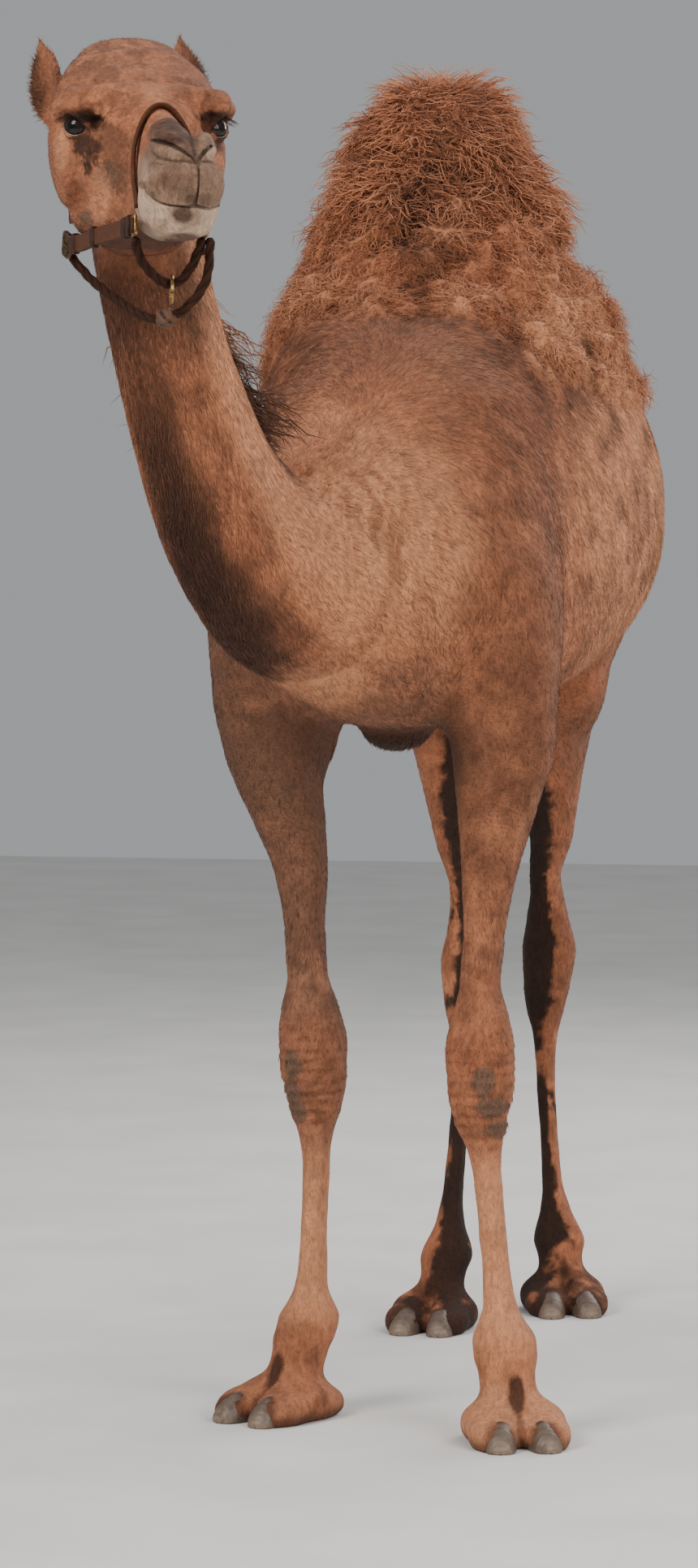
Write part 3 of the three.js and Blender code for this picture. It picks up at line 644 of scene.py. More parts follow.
class HeadFlesh:
    """The head's flesh in its own frame: skull, jaw, brows, cheeks, lids, nostrils, lips and ears."""

    def __init__(self, inset: float) -> None:
        """Builds the skull, bridge and jaw tubes and the lumps and hollows on them.

        Args:
            inset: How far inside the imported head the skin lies, in metres.
        """
        self.skull = Tube(headed(CRANIUM), 0, 2.4, inset)
        self.bridge = Tube(headed(BRIDGE), 0, 2.0, inset)
        self.jaw = Tube(headed(JAW), 0, 2.4, inset)
        both = (
            Mass((-2, 92, 30), (44, 24, 17), (8, 4, 20), 0.014),  # brow over the eye
            Mass((-44, 94, 30), (32, 18, 18), (0, -10, 24), 0.018),  # brow's outer end
            Mass((-66, 100, -60), (60, 20, 54), (0, 0, 4), 0.02),  # cheek muscle
            Mass((50, 68, -40), (50, 11, 12), (0, 16, -22), 0.018),  # face crest
            Mass((22, 92, -30), (20, 10, 6), (0, 0, -30), 0.008),  # bag under the eye
        )
        self.masses = (
            *both, *(m.mirrored() for m in both),
            Mass((-140, 0, 96), (34, 60, 20), (0, 0, 0), 0.02),  # poll
            Mass((262, -10, -16), (44, 28, 22), (0, 18, 0), 0.010),  # nose pad
            Mass((268, 36, -20), (32, 14, 16), (0, 16, -14), 0.008),  # left wing of the nose
            Mass((290, -18, -72), (34, 34, 30), (0, 8, -6), 0.006),  # right lobe of the upper lip
            Mass((290, 39, -72), (32, 20, 30), (0, 8, 10), 0.006),  # left lobe of the upper lip
            Mass((284, 3, -124), (36, 44, 24), (0, 4, 0), 0.010),  # lower lip
            Mass((246, -34, -100), (40, 16, 30), (0, 0, -14), 0.012),  # right side of the lower lip
            Mass((246, 40, -100), (40, 16, 30), (0, 0, 14), 0.012),  # left side of the lower lip
        )
        dips = (
            Mass((38, 80, 5), (20, 15, 11), (0, 10, -30), 0.012, True),  # eye's inner hollow
            Mass((-52, 122, 2), (26, 9, 20), (0, 0, 8), 0.016, True),  # temple
            Mass((104, 66, -84), (40, 12, 22), (0, 10, -14), 0.02, True),  # hollow of the cheek
        )
        self.hollows = (*dips, *(m.mirrored() for m in dips))
        self.strokes = [self.settled(stroke) for stroke in STROKES]

    def flesh(self, q: Array) -> Array:
        """Distance to the head before its creases, lids and ears."""
        whole = soft_join(self.skull.distance(q), self.bridge.distance(q), 0.016)
        whole = soft_join(whole, self.jaw.distance(q), 0.014)
        for path, radii in BROW_LINES:
            brow = chain_distance(q, np.array(path) * MM, np.array(radii) * MM, 0.05)
            whole = soft_join(whole, brow, 0.016)
        for mass in (*self.masses, *self.hollows):
            whole = mass.blend(whole, q)
        return whole

    def settled(self, stroke: "Stroke") -> tuple[Array, Array, bool, float]:
        """A stroke of the muzzle carried back onto the flesh.

        Steps every 3 mm are laid out on the face plane, then moved back along its slanting lines to the first
        place inside the flesh, and sunk by the stroke's depth.

        Args:
            stroke: The stroke.

        Returns:
            Its points, its radii, whether it is a ridge, and its rounding.
        """
        rows = np.array(stroke.rows, float)
        steps = np.concatenate([[0], np.cumsum(np.linalg.norm(np.diff(rows[:, :2], axis=0), axis=1))])
        at = np.linspace(0, steps[-1], max(int(steps[-1] / 3.0), 2) + 1)
        left, up, radius = (np.interp(at, steps, rows[:, k]) for k in range(3))
        ahead = np.linspace(360, 190, 171)
        grid = off_face_plane(ahead, left[:, None], up[:, None])
        inside = self.flesh(grid.reshape(-1, 3) * MM).reshape(len(at), -1) < 0
        first = np.where(inside.any(1), inside.argmax(1), len(ahead) - 1)
        first = np.minimum(first + int(round(stroke.sink)), len(ahead) - 1)
        x = ahead[first]
        x = np.convolve(np.pad(x, 1, mode="edge"), [0.25, 0.5, 0.25], "valid")
        return off_face_plane(x, left, up) * MM, radius * MM, stroke.ridge, stroke.reach

    def distance(self, q: Array) -> Array:
        """Distance to the head's skin from points of the head's frame in metres."""
        whole = self.flesh(q) - self.lumps(q)
        for ridges in (True, False):
            for points, radii, ridge, reach in self.strokes:
                if ridge != ridges:
                    continue
                near = np.abs(q - points.mean(0)).max(1) < 0.085
                own = chain_distance(q[near], points, radii, 0.02)
                blend = soft_join if ridge else soft_cut
                whole[near] = blend(whole[near], own, reach)
        for eye in EYES:
            whole = eye.lids(whole, q)
        for side in (1.0, -1.0):
            whole = soft_join(whole, self.ear(q, side), 0.012)
        return whole

    def lumps(self, q: Array) -> Array:
        """How far the skin swells: slow unevenness of 1.6 mm, and wrinkles 9.5 mm apart round the brows.

        With d the distance to the nearest brow line the wrinkles are cos(2 pi d / 9.5 mm + noise), 0.9 mm
        high between 14 mm and 50 mm from the line.
        """
        soft = 1.0 - 0.7 * ramp(q[:, 0], 0.19, 0.25)
        made = soft * (0.0016 * cloud(q, 0.05, 64) + 0.0007 * cloud(q, 0.018, 65))
        near = (q[:, 0] > -0.06) & (q[:, 0] < 0.13) & (q[:, 2] > -0.01)
        part = q[near]
        gap = np.full(len(part), 1.0)
        for path, _ in BROW_LINES:
            gap = np.minimum(gap, chain_distance(part, np.array(path) * MM, np.zeros(len(path)), 0.07))
        fold = np.cos(2 * math.pi * gap / 0.0095 + 1.6 * cloud(part, 0.03, 66))
        made[near] += 0.0009 * fold * ramp(gap, 0.010, 0.018) * (1 - ramp(gap, 0.036, 0.060))
        return made

    def crease(self, q: Array) -> Array:
        """How much painted shade the muzzle's creases give each place: each stroke's painted shade, fading out
        over its spread.
        """
        best = np.zeros(len(q))
        near = (q[:, 0] > 0.15) & (q[:, 0] < 0.37)
        for stroke, (points, radii, ridge, _) in zip(STROKES, self.strokes):
            if not ridge:
                gap = chain_distance(q[near], points, radii, 0.03)
                best[near] = np.maximum(best[near], stroke.shade * (1.0 - ramp(gap, 0.0, stroke.spread * MM)))
        return best

    def ear(self, q: Array, side: float) -> Array:
        """Distance to one ear: a leaf between two ellipsoids, the inner one scooped out of the outer."""
        root, tip, facing = EAR_POSES[0] if side > 0 else EAR_POSES[1]
        frame = ear_frame(root, tip, facing)
        near = np.abs(q - (np.array(root) + np.array(tip)) / 2 * MM).max(1) < 0.10
        far = np.full(len(q), 1.0)
        if near.any():
            length = float(np.linalg.norm(np.subtract(tip, root))) * MM
            far[near] = self.ear_leaf(frame.inward(q[near]), length)
        return far

    def ear_leaf(self, e: Array, length: float) -> Array:
        """Distance to a cupped leaf standing on its root along z, its hollow facing +x.

        The half-width narrows to the tip as a pointed arch, and the wall is a bent sheet x = -bow y^2.
        """
        share = np.clip(e[:, 2] / length, -0.3, 1.0)
        arch = np.clip(1.0 - np.abs(share - 0.30) ** 1.8 * 1.9, 0.02, 1.0)
        half = 0.0300 * arch * (1.0 - 0.45 * ramp(share, 0.60, 1.0))
        bend = 9.0 + 10.0 * (1 - ramp(share, 0.0, 0.6))
        sheet = e[:, 0] + 0.004 - bend * e[:, 1] ** 2 + 0.010 * share
        thick = 0.0046 - 0.0018 * ramp(share, 0.4, 1.0) + 0.006 * (1 - ramp(share, -0.15, 0.2))
        wall = np.abs(sheet) * 0.8 - thick
        edge = np.abs(e[:, 1]) - half
        end = np.maximum(e[:, 2] - length + 0.004, -0.03 - e[:, 2])
        return soft_cut(soft_cut(wall, -edge, 0.004), -end, 0.006)


EAR_POSES = (((-158, 92, 40), (-184, 92, 132), 42.0), ((-152, -104, 20), (-190, -134, 121), -56.0))


# The brows: paths and radii in the head's frame, millimetres, the animal's left first.
BROW_LINES = (
    (((-34, 118, 8), (-8, 118, 24), (12, 102, 36), (26, 76, 42), (36, 46, 44), (44, 12, 40)),
        (10, 14, 16, 15, 13, 8)),
    (((-34, -118, 8), (-8, -118, 24), (12, -102, 36), (26, -76, 42), (36, -46, 44), (44, -12, 40)),
     (10, 14, 16, 15, 13, 8)),
)


@dataclass(frozen=True)
class Stroke:
    """A crease or a fold of the muzzle, drawn ahead of it and carried back onto the flesh.

    Rows are [left, up, radius] in millimetres on the plane 300 mm ahead of the eyes. A crease's shade is how
    dark its painted shade is.
    """

    name: str
    rows: tuple[tuple[float, float, float], ...]
    ridge: bool = False
    sink: float = 0.0
    reach: float = 0.003
    # how dark the painted shade in the crease is
    shade: float = 0.0
    spread: float = 3.0


STROKES = (
    Stroke(
        "right nostril's fold",
        ((-40, -22, 4.5), (-30, -26, 7.0), (-17, -31, 7.0), (-3, -35, 5.5), (10, -39, 3.5)),
        True, 3.5, 0.004,
    ),
    Stroke(
        "left nostril's fold",
        ((43, -25, 5.0), (39, -31, 6.0), (33, -37, 4.5), (27, -40, 3.0)),
        True, 3.0, 0.004,
    ),
    Stroke(
        "wing above the right nostril",
        ((-40, -6, 4.0), (-28, -6, 6.0), (-14, -11, 7.0), (0, -19, 6.5), (11, -29, 4.0)),
        True, 5.0, 0.006,
    ),
    Stroke(
        "right nostril",
        ((-43, -13, 0.8), (-36, -14, 1.9), (-26, -16, 2.6), (-13, -21, 3.0), (-1, -28, 3.2),
         (11, -36, 2.6), (21, -43, 2.2)),
        False, 2.4, 0.0016, 1.0, 2.6,
    ),
    Stroke(
        "left nostril",
        ((45, -17, 1.0), (37, -22, 2.2), (30, -29, 2.6), (25, -36, 2.4), (22, -42, 2.2)),
        False, 1.5, 0.0016, 0.8, 2.2,
    ),
    Stroke(
        "crease under the right nostril",
        ((-44, -28, 0.6), (-32, -37, 1.4), (-13, -41, 1.6), (5, -41, 1.6), (19, -44, 1.8)),
        False, 0.5, 0.002, 0.62, 1.8,
    ),
    Stroke(
        "crease under the left nostril",
        ((25, -41, 1.4), (32, -42, 1.2), (43, -41, 0.8)),
        False, 0.5, 0.002, 0.5, 1.6,
    ),
    Stroke(
        "fold line of the upper lip",
        ((-44, -44, 0.5), (-27, -46, 0.9), (-8, -43, 0.6)),
        False, 0.0, 0.002, 0.3, 2.0,
    ),
    Stroke(
        "cleft of the nose",
        ((9, 4, 0.8), (13, -12, 1.8), (17, -28, 2.2), (21, -43, 2.4)),
        False, 0.5, 0.0035, 0.55, 2.5,
    ),
    Stroke(
        "cleft of the lip",
        ((22, -43, 2.0), (23, -55, 1.5), (23, -70, 1.5), (22, -83, 1.7), (20, -92, 2.0),
         (18, -101, 3.0)),
        False, 0.8, 0.0022, 0.8, 1.6,
    ),
    Stroke(
        "mouth",
        ((-53, -72, 0.8), (-49, -83, 1.0), (-40, -91, 1.1), (-28, -98, 1.2), (-15, -101, 1.3),
         (-1, -102, 1.5), (10, -103, 1.8), (18, -100, 2.4), (26, -103, 1.8), (38, -105, 1.4),
         (50, -102, 1.0), (56, -94, 0.8)),
        False, 1.4, 0.0018, 0.78, 1.4,
    ),
)


def chain_distance(q: Array, points: Array, radii: Array, margin: float) -> Array:
    """Distance to a tube along a chain of points, the least over its legs of the gap less the radius.

    Args:
        q: Places in metres.
        points: The chain.
        radii: Its radius at each point.
        margin: Distance past the chain's box beyond which the distance is only roughly given.

    Returns:
        The distances.
    """
    made = np.full(len(q), 1.0)
    near = ((q > points.min(0) - margin - 0.02) & (q < points.max(0) + margin + 0.02)).all(1)
    part = q[near]
    own = made[near]
    for a, b, ra, rb in zip(points[:-1], points[1:], radii[:-1], radii[1:]):
        along = b - a
        t = np.clip((part - a) @ along / max(along @ along, 1e-12), 0, 1)
        gap = np.linalg.norm(part - a - t[:, None] * along, axis=1)
        own = np.minimum(own, gap - (ra + (rb - ra) * t))
    made[near] = own
    return made


@dataclass(frozen=True)
class EyePlan:
    """One eye: its side, and the frame whose +X looks out of the head, +Y along the lids and +Z up."""

    side: float
    radius: float = EYE_RADIUS * MM
    lid_depth: float = 0.0034
    half_width: float = 0.0218
    rise: float = 0.0142
    fall: float = 0.0140

    def frame(self) -> Frame:
        """The eye's frame: turned out by 52 degrees from straight ahead, a little up."""
        return Frame(np.array([EYE_AT[0], self.side * EYE_AT[1], EYE_AT[2]]) * MM,
            turn_matrix(y=-4, z=52 * self.side))

    def opening(self, e: Array) -> Array:
        """How far inside the almond between the lids each place lies, looked at from outside.

        With s = |y| / half-width the upper edge is rise (1 - s^2)^0.75 and the lower fall (1 - s^2)^0.85,
        both tipped down towards the inner corner.
        """
        y = e[:, 1] * self.side
        up = e[:, 2] - 0.22 * y - 0.001
        share = np.clip(np.abs(y + 0.001) / self.half_width, 0, 1)
        top = self.rise * (1 - share**2) ** 0.75
        low = self.fall * (1 - share**2) ** 0.85
        inside = np.minimum(np.minimum(top - up, up + low), self.half_width - np.abs(y + 0.001))
        return np.where(e[:, 0] > 0.003, inside, -0.02)

    def lids(self, base: Array, q: Array) -> Array:
        """The head's distances with this eye's lids wrapped on its ball and the ball's room taken out.

        Args:
            base: Distances to the head's flesh.
            q: Places in the head's frame.

        Returns:
            The distances with the lids.
        """
        frame = self.frame()
        near = np.abs(q - frame.at).max(1) < 0.06
        if not near.any():
            return base
        e = frame.inward(q[near])
        ball = np.linalg.norm(e, axis=1)
        roll = 0.0022 * np.exp(-((self.opening(e) + 0.0022) / 0.0022) ** 2)
        lids = ball - self.radius - self.lid_depth - roll
        own = soft_join(base[near], lids, 0.007)
        shaft = np.maximum(-self.opening(e) - 0.0002, 0.012 - e[:, 0])
        own = soft_cut(own, shaft, 0.0016)
        made = base.copy()
        made[near] = np.maximum(own, self.radius + 0.0003 - ball)
        return made


EYES = (EyePlan(1.0), EyePlan(-1.0))


def ear_frame(root: Sequence[float], tip: Sequence[float], facing: float) -> Frame:
    """The frame of an ear: z from root to tip, turned about it so that +x is the way its hollow faces.

    Args:
        root: Middle of the ear's root in the head's frame, millimetres.
        tip: The ear's tip.
        facing: Turn about the ear's own length, degrees.

    Returns:
        The frame, in metres.
    """
    up = unit(np.subtract(tip, root).astype(float))
    axis = np.cross([0.0, 0.0, 1.0], up)
    s, c = np.linalg.norm(axis), up[2]
    k = axis / max(s, 1e-9)
    cross = np.array([[0, -k[2], k[1]], [k[2], 0, -k[0]], [-k[1], k[0], 0]])
    stand = np.eye(3) + s * cross + (1 - c) * cross @ cross
    return Frame(np.array(root) * MM, stand @ turn_matrix(z=facing))


def on_ear(e: Array, low: float, high: float) -> Array:
    """How far places of an ear's frame belong to it: from low to high up its root, and up to 46 mm round."""
    return ramp(e[:, 2], low, high) * (1 - ramp(np.hypot(e[:, 0], e[:, 1]), 0.036, 0.046))


# ---------------------------------------------------------------- skins from fields
@dataclass(frozen=True)
class Shell:
    """A mesh as arrays: places, quads, and the outward normal at each place."""

    places: Array
    quads: Array
    normals: Array

    def moved(self, amount: Array) -> "Shell":
        """The shell with each place pushed out along its normal, and new normals."""
        places = self.places + self.normals * amount[:, None]
        return Shell(places, self.quads, vertex_normals(places, self.quads))


def vertex_normals(places: Array, quads: Array) -> Array:
    """Area-weighted normals: each quad adds the cross product of its diagonals to its four corners."""
    a, b, c, d = (places[quads[:, k]] for k in range(4))
    face = np.cross(c - a, d - b)
    total = np.zeros_like(places)
    for k in range(4):
        for axis in range(3):
            total[:, axis] += np.bincount(quads[:, k], face[:, axis], len(places))
    return unit(total)


def sample_grid(distance: Callable[[Array], Array], low: Array, cell: float, blocks: Array,
        span: int) -> Array:
    """Distances on a grid, worked out finely only in blocks that the surface may cross.

    Args:
        distance: The field.
        low: The grid's lowest corner.
        cell: Its spacing.
        blocks: Number of blocks along each axis.
        span: Cells along a block's edge.

    Returns:
        The values at the grid's corners.
    """
    index = np.stack(np.meshgrid(*(np.arange(n) for n in blocks), indexing="ij"), -1).reshape(-1, 3)
    rough = distance(low + (index + 0.5) * span * cell)
    values = np.repeat(np.repeat(np.repeat(rough.reshape(blocks), span, 0), span, 1), span, 2)
    values = np.pad(values, ((0, 1), (0, 1), (0, 1)), mode="edge").astype(np.float32)
    near = index[np.abs(rough) < span * cell * 1.25]
    corner = np.stack(np.meshgrid(*([np.arange(span + 1)] * 3), indexing="ij"), -1).reshape(-1, 3)
    flags = np.zeros(values.shape, bool)
    at = (near[:, None, :] * span + corner[None]).reshape(-1, 3)
    flags[at[:, 0], at[:, 1], at[:, 2]] = True
    spot = np.argwhere(flags)
    for start in range(0, len(spot), GRID_CHUNK):
        part = spot[start : start + GRID_CHUNK]
        values[part[:, 0], part[:, 1], part[:, 2]] = distance(low + part * cell)
    return values


def surface_net(distance: Callable[[Array], Array], low: Array, high: Array, cell: float,
        span: int = 4) -> Shell:
    """A quad skin over the zero of a field, by surface nets.

    Each cell that the surface crosses holds one place, the mean of the crossings on its edges, and each
    grid edge that it crosses joins the four cells round it by a quad.

    Args:
        distance: The field, negative inside.
        low: Lowest corner of the space searched.
        high: Highest corner.
        cell: Grid spacing.
        span: Cells in a block's edge for the coarse pass.

    Returns:
        The skin, its places drawn onto the field's zero.
    """
    low = np.asarray(low, float)
    blocks = np.ceil((np.asarray(high) - low) / (cell * span)).astype(int)
    values = sample_grid(distance, low, cell, blocks, span)
    inside = values < 0
    n = np.array(values.shape) - 1
    corners = np.array(list(np.ndindex(2, 2, 2)))
    count = sum(inside[i : i + n[0], j : j + n[1], k : k + n[2]].astype(np.int8) for i, j, k in corners)
    cells = np.argwhere((count > 0) & (count < 8))
    number = np.full(n, -1, np.int32)
    number[cells[:, 0], cells[:, 1], cells[:, 2]] = np.arange(len(cells))
    at = cells[:, None, :] + corners[None]
    f = values[at[..., 0], at[..., 1], at[..., 2]].astype(float)
    total, hits = np.zeros((len(cells), 3)), np.zeros(len(cells))
    for a in range(8):
        for b in range(a + 1, 8):
            if np.abs(corners[a] - corners[b]).sum() != 1:
                continue
            crossed = (f[:, a] < 0) != (f[:, b] < 0)
            t = f[crossed, a] / (f[crossed, a] - f[crossed, b])
            total[crossed] += corners[a] + t[:, None] * (corners[b] - corners[a])
            hits[crossed] += 1
    places = low + (cells + total / hits[:, None]) * cell
    quads = []
    for axis in range(3):
        u, v = (axis + 1) % 3, (axis + 2) % 3
        first = np.take(inside, np.arange(n[axis]), axis)
        second = np.take(inside, np.arange(1, n[axis] + 1), axis)
        edge = np.argwhere(first != second)
        edge = edge[(edge[:, u] > 0) & (edge[:, v] > 0) & (edge[:, u] < n[u]) & (edge[:, v] < n[v])]
        outward = first[edge[:, 0], edge[:, 1], edge[:, 2]]
        ring = []
        for du, dv in ((1, 1), (0, 1), (0, 0), (1, 0)):
            cell_at = edge.copy()
            cell_at[:, u] -= du
            cell_at[:, v] -= dv
            ring.append(number[cell_at[:, 0], cell_at[:, 1], cell_at[:, 2]])
        quad = np.stack(ring, 1)
        quad[~outward] = quad[~outward][:, ::-1]
        quads.append(quad)
    quads = np.vstack(quads)
    shell = Shell(places, quads, vertex_normals(places, quads))
    for _ in range(2):
        step = np.clip(distance(shell.places), -0.4 * cell, 0.4 * cell)
        shell = shell.moved(-step)
    return shell


def trimmed(shell: Shell, keep: Array) -> Shell:
    """The shell with only the quads whose four places are all kept."""
    quads = shell.quads[keep[shell.quads].all(1)]
    used = np.unique(quads)
    renumber = np.zeros(len(shell.places), np.int64)
    renumber[used] = np.arange(len(used))
    return Shell(shell.places[used], renumber[quads], shell.normals[used])


def merged(shells: Sequence[Shell]) -> Shell:
    """Several shells as one, one after the other."""
    starts = np.cumsum([0, *(len(s.places) for s in shells[:-1])])
    quads = np.vstack([s.quads + start for s, start in zip(shells, starts)])
    return Shell(np.vstack([s.places for s in shells]), quads, np.vstack([s.normals for s in shells]))


def ringed(rows: int, columns: int) -> Array:
    """Quads of a grid of places, row by row, whose columns run round and join up."""
    grid = np.arange(rows * columns).reshape(rows, columns)
    after = np.roll(grid, -1, 1)
    return np.stack([grid[:-1], grid[1:], after[1:], after[:-1]], -1).reshape(-1, 4)


def mesh_object(
    name: str,
    places: Array,
    faces: Array,
    finish: bpy.types.Material,
    smooth: bool = True,
    colours: Array | None = None,
    lie: Array | None = None,
    parted: Array | None = None,
    corner_map: Array | None = None,
    map_name: str = "OFBake",
    normals: Array | None = None,
) -> bpy.types.Object:
    """A Blender object from arrays.

    Args:
        name: The piece's name.
        places: Vertices, n by 3.
        faces: Corner numbers, m by 3 or m by 4.
        finish: Its material.
        smooth: Whether its faces are shaded smooth.
        colours: A colour at each vertex, n by 3, kept in the attribute "tone".
        lie: A vector at each vertex, kept in the attribute "lie".
        parted: A number at each vertex, kept in the attribute "parted".
        corner_map: A place on a map for each vertex, n by 2.
        map_name: That map's name.
        normals: A shading normal for each vertex, n by 3.

    Returns:
        The object, linked to the scene.
    """
    mesh = bpy.data.meshes.new(name)
    count, width = faces.shape
    mesh.vertices.add(len(places))
    mesh.vertices.foreach_set("co", np.ascontiguousarray(places, np.float32).ravel())
    mesh.loops.add(count * width)
    mesh.loops.foreach_set("vertex_index", np.ascontiguousarray(faces, np.int32).ravel())
    mesh.polygons.add(count)
    mesh.polygons.foreach_set("loop_start", np.arange(0, count * width, width, dtype=np.int32))
    mesh.polygons.foreach_set("use_smooth", np.full(count, smooth))
    mesh.update(calc_edges=True)
    if colours is not None:
        tone = mesh.attributes.new("tone", "FLOAT_COLOR", "POINT")
        rgba = np.hstack([colours, np.ones((len(places), 1))])
        tone.data.foreach_set("color", rgba.astype(np.float32).ravel())
    if parted is not None:
        share = mesh.attributes.new("parted", "FLOAT", "POINT")
        share.data.foreach_set("value", parted.astype(np.float32))
    if lie is not None:
        kept = mesh.attributes.new("lie", "FLOAT_VECTOR", "POINT")
        kept.data.foreach_set("vector", lie.astype(np.float32).ravel())
    if corner_map is not None:
        layer = mesh.uv_layers.new(name=map_name)
        layer.data.foreach_set("uv", corner_map[faces.ravel()].astype(np.float32).ravel())
    if normals is not None:
        mesh.normals_split_custom_set_from_vertices(normals.astype(np.float32))
    mesh.materials.append(finish)
    made = bpy.data.objects.new(name, mesh)
    bpy.context.scene.collection.objects.link(made)
    return made


# ---------------------------------------------------------------- markings and the lie of the coat
def shade(red: int, green: int, blue: int) -> Array:
    """A colour given in everyday display values, as linear light."""
    c = np.array([red, green, blue]) / 255.0
    return np.where(c <= 0.04045, c / 12.92, ((c + 0.055) / 1.055) ** 2.4)


def mixed(base: Array, other: Array, share: Array) -> Array:
    """Base colours turned towards another by a share from 0 to 1 at each place."""
    return base + (other - base) * np.clip(share, 0, 1)[:, None]


def spot(p: Array, at: Sequence[float], radii: Sequence[float]) -> Array:
    """A soft ellipsoid of influence, 1 at its centre and 0 at its rim; sizes in millimetres."""
    q = (p - np.array(at) * MM) / (np.array(radii) * MM)
    return 1.0 - ramp(np.linalg.norm(q, axis=1), 0.35, 1.0)


@dataclass(frozen=True)
class Palette:
    """The coat's colours."""

    tan: Array = field(default_factory=lambda: shade(200, 125, 83))
    pale: Array = field(default_factory=lambda: shade(223, 154, 108))
    bay: Array = field(default_factory=lambda: shade(156, 90, 56))
    rust: Array = field(default_factory=lambda: shade(164, 90, 54))
    wool: Array = field(default_factory=lambda: shade(172, 104, 66))
    brown: Array = field(default_factory=lambda: shade(112, 68, 44))
    umber: Array = field(default_factory=lambda: shade(56, 30, 17))
    # near-black: the hind legs' stains, painted shade in the muzzle's creases and painted shadow under the
    # brows
    stain_and_shade_black: Array = field(default_factory=lambda: shade(36, 22, 15))
    grey: Array = field(default_factory=lambda: shade(100, 76, 60))
    pad: Array = field(default_factory=lambda: shade(78, 50, 36))
    muzzle: Array = field(default_factory=lambda: shade(130, 102, 82))
    lip: Array = field(default_factory=lambda: shade(188, 158, 134))


# Patches of the face on the plane 300 mm ahead of the eyes: colour, [left, up], radii, amount, raggedness.
# The darkest bands just over both eyes, at (-136, 17) and (44, 22), are painted shadow under the brows. The
# pale patches at (-40, 54), (-116, -92) and (-172, -20) are painted highlights on the brow's middle and on the
# cheeks.
FACE_PATCHES = (
    ("pale", (-40, 54), (26, 13), 0.18, 1.2),
    ("brown", (-92, 42), (36, 18), 0.55, 1.2), ("brown", (-121, 86), (26, 16), 0.5, 1.4),
    ("brown", (-84, 96), (26, 12), 0.45, 1.4), ("brown", (-16, 86), (20, 12), 0.4, 1.4),
    ("brown", (-95, -18), (40, 32), 0.65, 1.0), ("brown", (-86, -56), (24, 32), 0.60, 1.0),
    ("brown", (-70, 40), (24, 18), 0.35, 1.2), ("brown", (10, 60), (30, 18), 0.30, 1.2),
    ("stain_and_shade_black", (-136, 17), (31, 7), 0.90, 0.6), ("umber", (-122, 10), (12, 9), 0.75, 1.0),
    ("umber", (-134, -23), (21, 15), 0.86, 0.9), ("umber", (-130, -37), (14, 13), 0.82, 1.2),
    ("umber", (-134, -50), (7, 12), 0.85, 1.0), ("brown", (-92, -15), (17, 24), 0.75, 1.3),
    ("grey", (-101, -64), (20, 22), 0.55, 1.0), ("brown", (-83, -80), (11, 20), 0.6, 1.0),
    ("grey", (-137, -123), (11, 14), 0.75, 1.0), ("pale", (-116, -92), (16, 40), 0.30, 0.6),
    ("pale", (-172, -20), (13, 44), 0.35, 0.6), ("umber", (44, 22), (22, 9), 0.9, 0.6),
    ("brown", (46, 40), (24, 12), 0.4, 1.0), ("umber", (58, -14), (12, 16), 0.8, 0.8),
)


